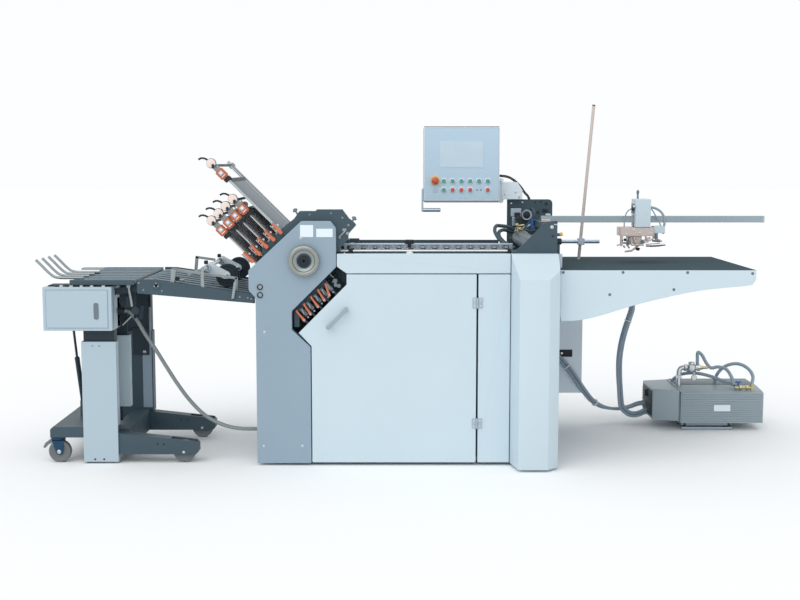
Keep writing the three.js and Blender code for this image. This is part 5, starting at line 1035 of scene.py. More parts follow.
def lever_shape(out, across, lean=0.0, slim_share=1.0):
    """A tapering clamp lever: round boss, waisted arm and a stepped tip."""

    def lay(points):
        a, y, b = points.T
        b = b * slim_share
        x = out + a * math.cos(lean) - b * math.sin(lean)
        z = -across + a * math.sin(lean) + b * math.cos(lean)
        return out_along_plates(np.stack([x, y, z], 1))

    return slab(LEVER_OUTLINE, 8.2, 23.8, 2.5, 2, turn=lay)


def build_clamp_lever(index, across):
    """Orange lever over its plate, with the screw in its boss."""
    number = index + 1
    body = f"lever_{number}"
    add_piece(f"lever_arm_{number}", [lever_shape(LEVER_OUT, across)], "lever_orange", body,
              (f"clamp_lever_{number}",))
    boss_screw = plate_pin((LEVER_OUT, 24, -across), (LEVER_OUT, 29.6, -across), 5)
    add_piece(f"lever_pin_{number}", [boss_screw], "bright_steel", body)


LOWER_LEVERS = ((160, -0.09), (199, -0.2), (245, -0.16), (285, -0.22), (316, -0.46))

LOWER_PITCH = 45


def build_lower_plates():
    """Lower plates in the stand with their rails, combs, orange levers, bolts and blocks."""
    plates, levers, bolts, supports = [], [], [], []
    nut = [(4, 0), (5, 1), (5, 5), (4, 6)]
    for index, (boss, lean) in enumerate(LOWER_LEVERS):
        down = -(157 + LOWER_PITCH * index)
        for y in (PLATE_FRONT, PLATE_REAR - 12):
            plates.append(plate_slab(oblong(548, 786, down - 5, down + 5), y, y + 12, 1.2, 1.5))
        plates.append(plate_slab(oblong(549, 764, down - 3, down + 3), PLATE_FRONT + 1, PLATE_REAR - 1, 0.8))
        levers.append(lever_shape(752, boss, lean, 0.74))
        bolts.append(plate_pin((752, 7.4, -boss), (752, 46, -boss), 4.4))
        bolts.append(ball((790, 26, -boss - 22), 4, 12, turn=out_along_plates))
        bolts.append(plate_pin((768, 24, -boss - 17), (792, 24, -boss - 26), 3.6))
        bolts.append(plate_turned(nut, (748, 30, -boss - 20), FRONT, 6))
        supports.append(plate_slab(oblong(756, 800, -boss - 30, -boss - 14), 28, 42, 2, 3))
    comb = oblong(789, 813, -348, -146)
    combs = [plate_slab(comb, y, y + 10, 1.2, 2) for y in (PLATE_FRONT, PLATE_REAR - 10)]
    combs.append(block(-463, -440, 31, 34, 612, 676, 1))
    bolts += pins(((-308, 60, 842), (-291, 60, 826), 3), ((-298, 58, 806), (-276, 58, 818), 3.4))
    bolts += [screw((-285, 60, 812), 7), screw((-268, 60, 790), 6), block(-290, -276, 60, 64, 786, 802, 1)]
    add_piece("lower_plates", plates, "dark_frame", stands_for=("lower_fold_plates",))
    add_piece("lower_combs", combs, "dark_frame")
    add_piece("lower_levers", levers, "lever_orange")
    add_piece("lower_bolts", bolts, "motor_grey")
    add_piece("lower_blocks", supports, "hood_grey")


# Register table and feeder

RAIL_LEFT, RAIL_RIGHT = -274, 505
RAIL_FRONT, RAIL_REAR = 192, 222
RAIL_LOW = 930.3
BALL_X = [-218 + 53.5 * i for i in range(14)]


def build_ball_rail():
    """Ball rail: two bars with ties between the windows, balls, a front rod and its clamps."""
    low = RAIL_LOW
    ties = [x - 26.7 for x in BALL_X]
    bars = [block(x0, x1, RAIL_FRONT, RAIL_REAR, low + foot, low + top, edge) for x0, x1, foot, top, edge in (
        (RAIL_LEFT, RAIL_RIGHT, 0, 13, 1.5), (RAIL_LEFT, RAIL_RIGHT, 29, 38, 1.5),
        (RAIL_LEFT, RAIL_LEFT + 10, 10, 32, 1), (RAIL_RIGHT - 15, RAIL_RIGHT, 10, 32, 1))]
    bars += [block(x - 7, x + 7, RAIL_FRONT + 1, RAIL_REAR - 1, low + 11, low + 31, 2) for x in ties]
    add_piece("rail_bars", bars, "silver_edge", stands_for=("ball_rail",))
    add_piece("rail_balls", [ball((x, 207, low + 21), 9.5, 18) for x in BALL_X], "balls")
    cups = turnings([(13, 0), (13, 5), (11, 7)], [(x, 207, low + 10) for x in BALL_X], UP, 20)
    add_piece("rail_cups", cups, "deep_frame")
    rods = pins(((-262, 62, 943), (484, 62, 943), 5), ((-262, 120, 936), (484, 120, 936), 4))
    add_piece("register_rods", rods, "bright_steel")
    clamps = blocks(
        (22, 62, 186, 228, 966, 984, 2), (34, 50, 186, 190, 950, 968, 1), (470, 487, 56, 110, 931, 952, 2),
        (-226, -206, 50, 120, 931, 955, 2))
    add_piece("rail_clamps", clamps, "black_rubber")
    knob = turned([(16, 0), (17, 2), (13, 9), (6, 11)], (42, 48, 931), UP, 24)
    add_piece("rail_knob", [knob], "window")


FEEDER_LINES = [
    (8.5, [(548, 620, 1008), (520, 590, 1022), (482, 560, 1029), (456, 525, 1030), (446, 490, 1012),
           (458, 440, 980), (484, 405, 952), (512, 372, 934)]),
    (8.5, [(543, 620, 996), (518, 590, 1004), (492, 558, 1010), (470, 525, 1002), (468, 490, 984),
           (484, 450, 962), (508, 410, 946), (532, 372, 934)]),
    (4, [(600, 640, 1010), (620, 640, 1040), (640, 640, 1062), (648, 640, 1090), (640, 700, 1110)]),
    (4, [(590, 600, 1010), (630, 560, 1006), (660, 520, 1016), (676, 470, 1030)]),
]
PULLEY_MIDDLE = (620, 728, 1074)
# Each row: radius, rise, Y, steps and the X and Z spots of black discs painted as the shade inside holes in
# the feeder's frames.
FEEDER_HOLES = [
    (5, 1.2, 741, 20, [(662, 1136), (690, 1138), (640, 1100)]),
    (8, 1.2, 741, 24, [(716, 1128), (676, 1086)]),
    (5, 0.8, 30, 16, [(612, 914), (664, 1010), (676, 1066)]),
]
DRUM_X, DRUM_Z = 586, 964
DRUM_RADIUS, DRUM_HALF = 38, 333


def build_feeder_details():
    """Pulley, valves, fittings, lines and clamps between the feeder's side frames."""
    rim = [(16, -5), (24, -6), (26, -4), (26, 4), (24, 6), (16, 6)]
    silver = [turned(rim, PULLEY_MIDDLE, steps=36)]
    silver += blocks(
        (668, 684, 27, 30.2, 1058, 1064, 1), (542, 594, 728, 740, 1066, 1106, 2),
        (548, 566, 716, 740, 1020, 1064, 2), (560, 600, 690, 706, 996, 1014, 2),
        (692, 711, 60, 92, 868, 930, 1.5), (848, 879.6, 551.5, 588, 938.6, 969.4, 2),
        (672, 694, 365, 395, 1084, 1094, 2))
    silver += pins(((596, 650, 1012), (640, 650, 1034), 8), ((690, 560, 954), (951.4, 560, 954), 8.7))
    add_piece("feeder_pulleys", silver, "silver_edge")
    screws = [screw((660, 30, 1050), 5.5)]
    screws += [screw((x, 741, z), 3) for x, z in ((545, 1130), (600, 1135), (545, 960))]
    add_piece("feeder_screws", screws, "bright_steel")
    dark = blocks(
        (560, 592, 640, 690, 1030, 1066, 3), (700, 722, 728, 741, 1090, 1104, 2),
        (560, 588, 712, 727, 1050, 1086, 2), (566, 584, 660, 680, 1040, 1072, 3))
    # Black discs painted as the shade inside the frames' holes.
    for radius, rise, y, steps, spots in FEEDER_HOLES:
        dark += turnings([(radius, 0), (radius, rise)], [(x, y, z) for x, z in spots], FRONT, steps)
    dark.append(turned([(18, -2), (18, 7), (16, 8)], PULLEY_MIDDLE, FRONT, 28))
    dark.append(turned([(14, 0), (14, 20), (11, 23)], (686, 80, 984), RIGHT, 24))
    add_piece("feeder_blocks", dark, "black_rubber")
    valves = pins(((640, 640, 1010), (640, 640, 1058), 11), ((686, 80, 1014), (700, 80, 1014), 7))
    add_piece("feeder_valves", valves, "blue_plastic")
    knob = turned([(6, 0), (8, 3), (8, 12), (6, 14)], (700, 80, 1014), (1, 0, 0.25), 8)
    add_piece("feeder_knob", [knob], "yellow_plastic")
    fittings = pins(
        ((548, 620, 1000), (592, 620, 1008), 5.5), ((560, 560, 1000), (560, 560, 1024), 6),
        ((590, 610, 1000), (612, 600, 990), 6), ((566, 640, 1024), (600, 630, 1030), 5))
    fittings.append(turned([(6, 0), (8, 1), (8, 9), (6, 10)], (575, 600, 1012), (0.3, -1, 0.2), 6))
    fittings.append(turned([(7, 0), (9, 1), (9, 8), (7, 9)], (560, 610, 1030), (0.6, -1, 0.4), 6))
    add_piece("feeder_fittings", fittings, "brass")
    hoses = [tube(smooth_line(line, 4), radius, 12) for radius, line in FEEDER_LINES]
    add_piece("feeder_lines", hoses, "dark_frame")


def build_suction():
    """Suction rail with its clamp and end, the guide pole and the suction drum."""
    add_piece("rail_clamp_bar", [block(652, 692, 350, 364.6, 1056, 1070, 2)], "warm_metal")
    rail = block(652, 1679, 365, 395, 1054, 1084, 1.2)
    add_piece("rail_bar", [rail], "motor_grey", stands_for=("suction_rail",))
    add_piece("rail_end", [block(1671, 1679.4, 364.6, 395.4, 1053.6, 1084.4, 1)], "silver_edge")
    foot, top = np.array([857, 584, 866.5]), np.array([918, 584, 1601.0])
    profile = [(7.5, 0), (7.5, 728), (6.8, 733), (4.5, 736.6), (1.5, 737.4)]
    add_piece("guide_pole", [turned(profile, foot, top - foot, 28)], "warm_metal")
    edge, half = DRUM_RADIUS - 1, DRUM_HALF
    drum = [(10, -half), (edge, -half), (DRUM_RADIUS, 2 - half), (DRUM_RADIUS, half - 2), (edge, half),
            (10, half)]
    skin = turned(drum, (DRUM_X, 391.5, DRUM_Z), steps=56)
    add_piece("drum_skin", [skin], "hood_grey", "suction_drum_body")
    ports = []
    for y in range(90, 720, 42):
        for angle in np.linspace(0, 2 * math.pi, 8, endpoint=False):
            way = np.array([math.cos(angle), 0, math.sin(angle)])
            middle = np.array([DRUM_X, y, DRUM_Z])
            ports.append(pin(middle + 37.4 * way, middle + 38.5 * way, 3, 0.2, 8))
    add_piece("drum_ports", ports, "black_rubber", "suction_drum_body")


HEAD_LINES = [
    (5.5, [(1150, 380, 1125), (1180, 376, 1118), (1205, 370, 1100), (1218, 364, 1072), (1217, 360, 1045),
           (1212, 360, 1020)]),
    (3, [(1150, 360, 1122), (1162, 356, 1108), (1174, 352, 1086), (1190, 350, 1062), (1198, 350, 1040)]),
    (3, [(1062, 350, 1118), (1046, 346, 1108), (1034, 344, 1086), (1030, 344, 1058), (1030, 344, 1034)]),
]


def build_separator():
    """Separator head: white housing, copper carriage, linkage, suckers and its lines."""
    body = "separator"
    housing = blocks(
        (1077, 1148, 326, 434, 1086, 1163, 3), (1078, 1147, 326, 364.2, 1034, 1088, 2),
        (1078, 1147, 396, 434, 1034, 1088, 2))
    add_piece("head_housing", housing, "white_panel", body, ("separator_head",))
    add_piece("side_box", [block(1166, 1218, 344, 404, 1006, 1038, 2)], "white_panel", body)
    copper = blocks(
        (1010, 1164, 330, 430, 993, 1033, 2), (1060, 1112, 344, 400, 952, 994, 3),
        (1012, 1024, 332, 350, 950, 994, 2), (1040, 1050, 336, 352, 948, 994, 2),
        (1166, 1188, 350, 376, 980, 1006, 2))
    copper += pins(
        ((1036, 352, 921), (1068, 352, 925), 4.4), ((1066, 352, 924), (1116, 352, 962), 4.4),
        ((1100, 340, 962), (1150, 340, 986), 5), ((1110, 336, 958), (1162, 336, 980), 3.6),
        ((1148, 350, 948), (1210, 350, 950), 4), ((1184, 350, 978), (1206, 350, 968), 4),
        ((1012, 340, 955), (996, 340, 950), 3.4), ((1028, 342, 950), (1034, 342, 938), 4),
        ((1016, 334, 990), (1016, 334, 946), 3.6), ((1072, 334, 990), (1088, 334, 950), 4),
        ((1126, 334, 992), (1140, 334, 966), 5), ((1060, 332, 952), (1120, 332, 952), 3.4),
        ((1042, 346, 960), (1056, 346, 936), 4), ((1086, 346, 956), (1090, 346, 940), 5))
    add_piece("head_carriage", copper, "warm_metal", body)
    stem = pins(
        ((1096, 380, 1160), (1096, 380, 1203), 4.4), ((1096, 380, 1186), (1096, 380, 1198), 6.6),
        ((1112, 336, 968), (1112, 330, 968), 9), ((1050, 334, 990), (1050, 334, 952), 4),
        ((1178, 344, 1002), (1178, 344, 976), 6), ((1160, 344, 972), (1196, 344, 968), 5),
        ((1024, 330, 962), (1046, 330, 962), 4))
    stem.append(block(1070, 1079, 350, 400, 1096, 1140, 2))
    add_piece("head_stem", stem, "hood_grey", body)
    bright = pins(
        ((1150, 348, 950), (1196, 348, 952), 8), ((1196, 348, 952), (1222, 348, 953), 5),
        ((1132, 348, 950), (1162, 348, 950), 7), ((1162, 348, 950), (1176, 348, 950), 4))
    bright += [screw((x, 330, z), 4) for x, z in ((1070, 1020), (1100, 1008), (1040, 1002), (1150, 1006))]
    bright += [turned([(9, 0), (9, 6), (7, 8)], (1080, 344, 970), FRONT, 20),
               turned([(8, 0), (8, 4)], (1110, 338, 970), FRONT, 20),
               turned([(7, 0), (7, 5)], (1072, 326, 1128), LEFT, 16)]
    add_piece("head_links", bright, "bright_steel", body)
    dark = [ball((1034, 340, 976), 7, 14)]
    dark += pins(((1018, 338, 972), (1018, 332, 972), 6), ((1048, 340, 970), (1048, 332, 970), 5),
                 ((1072, 350, 1118), (1064, 350, 1118), 9))
    dark += turnings([(9.5, 12), (9, 10), (4, 0)], [(1100, 364, 924), (1100, 396, 924)], UP, 20)
    add_piece("head_suckers", dark, "black_rubber", body)
    hoses = [tube(smooth_line(line, 3), radius, 12) for radius, line in HEAD_LINES]
    add_piece("head_lines", hoses, "hose_grey", body)
    add_piece("head_brass", [pin((1208, 358, 1004), (1216, 358, 1010), 5)], "brass", body)


BRACKET_CURVE = [
    (699, 642), (760, 643), (830, 655), (900, 674), (1019, 711), (1168, 748), (1297, 774), (1410, 787),
    (1500, 795),
]


def build_pile_table():
    """White brackets with a curved lower edge, a black top whose gloss is painted into a flat grey that
    mirrors nothing, bolts and ties.
    """
    curve = smooth_line([(x, 0, z) for x, z in BRACKET_CURVE], 18)
    outline = [(x, z) for x, _, z in curve] + [(1530, 800), (1546, 822), (1546, 864), (699, 864)]
    brackets = [slab(outline, 0, 20, 2), slab(outline, 768, 788, 2)]
    brackets += blocks((686.8, 728, 2, 80, 660, 845, 2), (686.8, 728, 708, 786, 660, 845, 2))
    add_piece("table_brackets", brackets, "white_panel", "pile", ("pile_table",))
    top = [(706, 1.5), (1544, 1.5), (1544, 786.5), (748, 786.5), (748, 720), (706, 700)]
    # Flat grey top: its black with the sheen of a reflection painted in.
    add_piece("table_top", [slab(top, 846, 865.2, 1.2, 2, "XY")], "table_top", "pile")
    ties = [block(x, x + 30, 18, 770, 820, 848, 2) for x in (780, 1150, 1480)]
    add_piece("table_ties", ties, "dark_frame", "pile")
    spots = [(708, 855), (967, 855), (1247, 854), (1529, 850), (911, 758), (1189, 780)]
    bolts = [screw((x, y, z), 4.4, way) for y, way in ((0, FRONT), (788, BACK)) for x, z in spots]
    add_piece("table_bolts", bolts, "hood_grey", "pile")


def build_box():
    """Electrical box on the back of the stand, with its dark outlet plate and hinges."""
    box = [slab(oblong(560, 918, 171, 636), 836, 996, 2, 3)]
    box += blocks((563, 599, 796.4, 838, 207, 243), (563, 599, 796.4, 838, 564, 600))
    # The box takes the whiter white: painted light that lifts it out of the shade behind the stand.
    add_piece("box_skin", box, "pale_box", stands_for=("electrical_box",))
    add_piece("box_outlet", [block(760, 868, 832, 836.6, 356, 392, 1)], "black_rubber")
    screws = [screw((x, 996, z), 5, BACK) for x in (580, 898) for z in (190, 617)]
    add_piece("box_screws", [screw((815, 832, 374), 4)] + screws, "bright_steel")
    add_piece("box_door", [block(572, 906, 995, 999, 183, 624, 1.5)], "box_white")


# Control panel

PANEL_FACE_Y = 638.6
BUTTON_X, BUTTON_PITCH = 210.7, 42.3
BUTTON_ROWS = (1240, 1198)
STOP_X, STOP_Z = 168.8, 1243
HINGE_X, HINGE_Y = 492, 715
KNUCKLE_Z = (1136, 1236.3)
KNUCKLE_TALL = 14


def panel_buttons(body):
    """Lamps and collars in two rows, the two push buttons and the emergency stop."""
    collar = [(14, 0), (14, 2.5), (12.5, 4), (10.4, 4), (10.4, 0.5)]
    lamp = [(9.8, 0), (9.8, 5.5), (8.8, 7), (6, 7.4)]
    columns = [BUTTON_X + BUTTON_PITCH * i for i in range(6)]
    top, low = BUTTON_ROWS
    green = [(x, PANEL_FACE_Y, top) for x in columns]
    red = [(x, PANEL_FACE_Y, low) for x in columns[1:4]]
    ends = [(columns[i], PANEL_FACE_Y, low) for i in (0, 5)]
    dots = [screw((columns[4] + step, PANEL_FACE_Y, low), 2.4, height=1.5) for step in (-9, 9)]
    add_piece("button_collars", turnings(collar, green + red + ends, FRONT, 28), "button_ring", body)
    add_piece("green_lamps", turnings(lamp, green, FRONT, 24), "green_plastic", body)
    add_piece("red_lamps", turnings(lamp, red, FRONT, 24), "red_plastic", body)
    add_piece("panel_dots", dots, "dark_frame", body)
    cap = [(9.6, -8), (9.6, 2), (9.6, 8), (8.6, 9.6), (5, 10)]
    for name, x, finish in (("start", columns[0], "green_plastic"), ("stop", columns[5], "red_plastic")):
        shape = turned(cap, (x, PANEL_FACE_Y + 2, low), FRONT, 24)
        add_piece(f"{name}_cap", [shape], finish, name, (f"{name}_button",))
    ring = [(22, 0), (22, 3), (20, 5), (12, 5.5), (12, 0)]
    shape = turned(ring, (STOP_X, PANEL_FACE_Y, STOP_Z), FRONT, 36)
    add_piece("stop_ring", [shape], "yellow_plastic", body)
    mushroom = [(9, -8), (9, 14), (16.5, 16), (17, 19), (16.4, 23), (13, 26.4), (7, 27.8), (2, 28)]
    shape = turned(mushroom, (STOP_X, PANEL_FACE_Y + 1.6, STOP_Z), FRONT, 36)
    add_piece("stop_mushroom", [shape], "red_plastic", "emergency", ("emergency_stop",))


def build_panel():
    """Control panel: bright casing, pale face, screen, lamps, push buttons, grip and back."""
    body = "panel"
    plates = [
        ("panel_casing", (112, 479, 1139, 1500), (641, 700, 5, 12), "silver_edge"),
        ("panel_front", (119, 474, 1153, 1492), (PANEL_FACE_Y, 645, 1.2, 6), "panel_face"),
        ("screen_rim", (186, 403, 1303, 1432), (637.8, 641, 0.6, 2), "panel_face"),
        ("screen_glass", (191, 398, 1308, 1427), (637.2, 640, 0.4, 1), "screen"),
        ("bare_badge", (158, 182, 1185, 1208), (637.9, 639.6, 0.4, 1), "silver_edge"),
    ]
    for name, sides, depth, finish in plates:
        stands_for = ("control_panel",) if name == "panel_casing" else ()
        add_piece(name, [slab(oblong(*sides), *depth)], finish, body, stands_for)
    # Thin pale strips round the face's edge: a painted highlight where the rim catches the light.
    highlight_lines = blocks(
        (114, 118.4, 638.4, 646, 1146, 1496, 1), (474.6, 478, 638.4, 646, 1146, 1496, 1),
        (116, 477, 638.4, 646, 1493.4, 1497, 1), (116, 477, 638.4, 646, 1148, 1151.6, 1))
    add_piece("panel_highlight_lines", highlight_lines, "pale_box", body)
    # Grey bands along the casing's top and bottom edges: painted shade that darkens those edges.
    shade_bands = blocks((116, 476, 640, 699, 1496.6, 1501.4, 1.5), (118, 474, 640, 699, 1137.6, 1144.6, 2))
    add_piece("panel_shade_bands", shade_bands, "hood_grey", body)
    panel_buttons(body)
    grip = [block(104, 113, 646, 673, 1092, 1205, 2), pin((110, 655, 1101), (196, 655, 1101), 9.4, 2)]
    add_piece("panel_grip", grip, "silver_edge", body)
    back = [block(130, 460, 698, 703, 1160, 1480, 1.5)]
    back += [block(437, 494, 699, 729, z, z + KNUCKLE_TALL, 2) for z in KNUCKLE_Z]
    back += turnings([(12, 0), (12, KNUCKLE_TALL)], [(HINGE_X, HINGE_Y, z) for z in KNUCKLE_Z], UP, 28)
    add_piece("panel_back", back, "pale_box", body)
    louvres = [block(200, 390, 702, 705, 1250 + i * 16, 1256 + i * 16, 1) for i in range(9)]
    add_piece("panel_louvres", louvres, "deep_frame", body)


def build_arm():
    """The panel's arm: knuckle, tie, post, gusset and its bolts."""
    arm = blocks(
        (493, 558, 701, 729, 1150.6, 1236, 3), (482.5, 500, 704.5, 714, 1151, 1235.6, 1),
        (530, 558, 716, 779, 1165, 1236, 3), (530, 558, 753.4, 779, 960, 1222, 3))
    arm.append(turned([(11, 0), (11, 85.6)], (HINGE_X, HINGE_Y, 1150.4), UP, 28))
    gusset = [(548, 1151), (596, 1151), (596, 1196), (572, 1234), (548, 1236)]
    arm.append(slab(gusset, 702, 712, 1.5, 3))
    add_piece("arm_skin", arm, "pale_box", stands_for=("panel_bracket",))
    bolts = [screw((x, 701, z), 4) for x, z in ((580, 1164), (562, 1186), (512, 1175))]
    bolts.append(turned([(6, 0), (6, 120)], (HINGE_X, HINGE_Y, 1133), UP, 20))
    add_piece("arm_bolts", bolts, "bright_steel")


# Pump


VALVE_LOOPS = [
    [(1500, 828, 306), (1499, 832, 340), (1503, 838, 378), (1522, 842, 366), (1548, 842, 322),
     (1572, 842, 298), (1604, 836, 304), (1640, 815, 296), (1660, 782, 262), (1666, 756, 226)],
    [(1754, 748, 232), (1762, 764, 268), (1746, 800, 302), (1706, 850, 318), (1654, 876, 302),
     (1618, 890, 262), (1604, 900, 212)],
    [(1390, 930, 214), (1430, 915, 250), (1490, 890, 264), (1560, 865, 256), (1630, 822, 234),
     (1690, 775, 216)],
]

PUMP_LEFT, PUMP_RIGHT = 1390, 1806
PUMP_LOW, RIB_TOP, RIB_COUNT = 38, 193, 14
VALVE_X, VALVE_Y, PIPE_Z = 1406, 828, 302


def pump_ring(x, shrink=0.0):
    """The housing's section in Y and Z at one X."""
    outline = [(724, PUMP_LOW), (1054, PUMP_LOW), (1054, 206), (846, 208), (740, 199), (724, 190)]
    plan = shrunk(rounded(anticlockwise(outline), 8, 4), shrink)
    return np.column_stack([np.full(len(plan), float(x)), plan])


def build_pump():
    """Pump housing with ribs round it, hood, louvred end, base, feet and lid."""
    rings = [pump_ring(x, shy) for x, shy in (
        (PUMP_LEFT, 3), (PUMP_LEFT + 3, 0), (PUMP_RIGHT - 3, 0), (PUMP_RIGHT, 3))]
    add_piece("pump_skin", [loft(np.array(rings))], "motor_grey", stands_for=("pump_housing",))
    ribs = []
    step = (RIB_TOP - PUMP_LOW) / RIB_COUNT
    for i in range(RIB_COUNT):
        low, high = PUMP_LOW + i * step + 1.6, PUMP_LOW + (i + 1) * step - 1.6
        ribs += blocks((1402, 1806.5, 720.5, 730, low, high, 1.6), (1798, 1809, 728, 1050, low, high, 1.6))
    add_piece("pump_ribs", ribs, "motor_grey")
    hood = [(1263, 762), (1389, 726), (1389, 1052), (1263, 1016)]
    add_piece("pump_hood", [slab(hood, 48, 204, 4, 5, "XY")], "motor_grey")
    louvres = blocks((1262, 1268, 768, 1010, 60, 194, 2), (1392.5, 1396, 722.6, 1055, 37, 196, 0.8))
    louvres += [block(1258, 1264, 775, 1005, 70 + i * 14, 77 + i * 14, 2) for i in range(8)]
    add_piece("pump_louvres", louvres, "deep_frame")
    cap = turned([(18, 0), (18, 12), (15, 17), (6, 18)], (1263, 889, 164), LEFT, 32)
    add_piece("pump_cap", [cap], "deep_frame")
    add_piece("pump_base", [block(1408, 1660, 754, 1024, 20, PUMP_LOW, 2)], "motor_grey")
    rails = blocks((1408, 1662, 748, 760, 2, 14, 2), (1408, 1662, 1018, 1030, 0, 14, 2))
    add_piece("pump_rails", rails, "silver_edge")
    feet = [block(x, x + 10, 750, 1028, 2, 34, 2) for x in (1420, 1640)]
    feet += [block(x, x + 12, 752, 764, 0, 24, 2) for x in (1412, 1646)]
    add_piece("pump_feet", feet, "black_rubber")
    add_piece("pump_plate", [block(1560, 1642, 718.8, 721, 100, 131, 0.6)], "pale_box")
    add_piece("pump_lid", [block(1402, 1800, 860, 1040, 206.6, 209.6, 1.5)], "hood_grey")


def build_pump_pipes():
    """The pump's valve pipe with its gauge, brass fittings, tap and hose loops."""
    x, y, bend = VALVE_X, VALVE_Y, PIPE_Z
    elbow = [(0, 203), (0, 250), (0, 276), (4, 292), (14, 301), (30, 302), (60, 302)]
    pipe = [tube(smooth_line([(x + out, y, z) for out, z in elbow], 3), 12.5, 20)]
    flange = [(17, 0), (18, 2), (18, 14), (17, 16)]
    bulb = [(20, -22), (24, -16), (26, 0), (24, 14), (16, 18), (16, 26), (13, 30)]
    gauge = [(13, -5), (15, -3), (15, 3), (13, 5)]
    for profile, centre, way, steps in (
            ([(16, 0), (16, 12), (14, 14)], (x, y, 250), UP, 8), (flange, (1430, y, bend), RIGHT, 8),
            (bulb, (1468, y, bend), UP, 32), ([(18, 0), (18, 12)], (1498, y, bend), RIGHT, 8),
            (gauge, (1482, y - 8, 252), FRONT, 28)):
        pipe.append(turned(profile, centre, way, steps))
    pipe += pins(((1440, y, bend), (1505, y, bend), 15), ((1482, y - 4, 262), (1482, y - 4, 282), 4))
    add_piece("pump_pipe", pipe, "bright_steel", stands_for=("pump_valve",))
    brass = [turned([(10, 0), (12, 2), (12, 12), (9, 14), (8, 26)], (1510, y, bend), RIGHT, 6)]
    brass += pins(((1535, y, bend), (1552, y, bend), 7), ((1668, 748, 214), (1752, 748, 214), 8),
                  ((1754, 748, 198), (1754, 748, 236), 10))
    brass += turnings([(11, 0), (13, 2), (13, 12), (11, 14)], [(1690, 748, 214), (1722, 748, 214)], RIGHT, 6)
    add_piece("pump_brass", brass, "brass")
    tap = [block(1672, 1700, 741, 755, 238, 246, 2), pin((1686, 748, 220), (1686, 748, 240), 4)]
    add_piece("pump_tap", tap, "blue_plastic")
    loops = [tube(smooth_line(line, 3.0), 8.4, 18) for line in VALVE_LOOPS]
    add_piece("pump_lines", loops, "hose_grey")


# Delivery


PILE_BAR = [(-1392, 824), (-1450, 824), (-1500, 825), (-1524, 831), (-1548, 850), (-1575, 878), (-1600, 903)]


def build_belt_table():
    """Belt table: dark deck, side plates, flat belts and the four bent bars at its end."""
    body = "lift"
    deck = blocks(
        (-1440, -1157, 22, 698, 803, 814, 2), (-1440, -1157, 20, 28, 798, 820, 2),
        (-1440, -1157, 692, 700, 798, 820, 2), (-1395, -1254, 54, 66, 771, 806, 2),
        (-1338, -1200, 590, 602, 771, 806, 2))
    deck += pins(((-1432, 26, 808), (-1432, 694, 808), 9), ((-1164, 26, 808), (-1164, 694, 808), 9))
    add_piece("table_deck", deck, "dark_frame", body, ("belt_table",))
    belts = [slab(oblong(-1436, -1162, 812, 817), y - 21, y + 21, 0.8) for y in np.linspace(64, 656, 8)]
    add_piece("table_belts", belts, "belt", body)
    bars = []
    for y in (78, 177, 276, 375):
        bars.append(tube(smooth_line([(x, y, z) for x, z in PILE_BAR], 3), 6.2, 14))
    add_piece("pile_bars", bars, "plate_aluminium", body)
    add_piece("bar_plate", [block(-1545, -1436, 636, 694, 812, 821, 3)], "plate_aluminium", body)


CONVEYOR_OUTLINE = [(-1149, 760), (-634, 716), (-634, 752), (-640, 757), (-1089, 821), (-1149, 822)]
DECK_OUTLINE = [(-1143, 806), (-1089, 800), (-640, 737), (-640, 745), (-1089, 808), (-1143, 811)]
BELT_OUTLINE = [(-1141, 813), (-1089, 813.5), (-642, 749.5), (-642, 746), (-1089, 810), (-1141, 809.5)]
CONVEYOR_END, CONVEYOR_END_Z, CONVEYOR_SLOPE = -634, 757, 0.1407
CONVEYOR_FRONT, CONVEYOR_REAR = 30.4, 699.6


def guide_leg(x, y, rise, lean):
    """A slim leg from the conveyor's side up to a guide."""
    z = CONVEYOR_END_Z + (CONVEYOR_END - x) * CONVEYOR_SLOPE
    foot = x - lean
    outline = [(foot, z - 4), (foot + 15, z - 6), (x + 15, z + rise - 4), (x, z + rise - 2)]
    return slab(outline, y, y + 5, 1, 2)


def guide_rail(x0, x1, y, rise):
    """A flat guide along the conveyor's slope."""
    tops = [(x, CONVEYOR_END_Z + (CONVEYOR_END - x) * CONVEYOR_SLOPE + rise) for x in (x0, x1)]
    outline = [(x, z - 12) for x, z in tops] + tops[::-1]
    return slab(outline, y, y + 5, 1, 2)


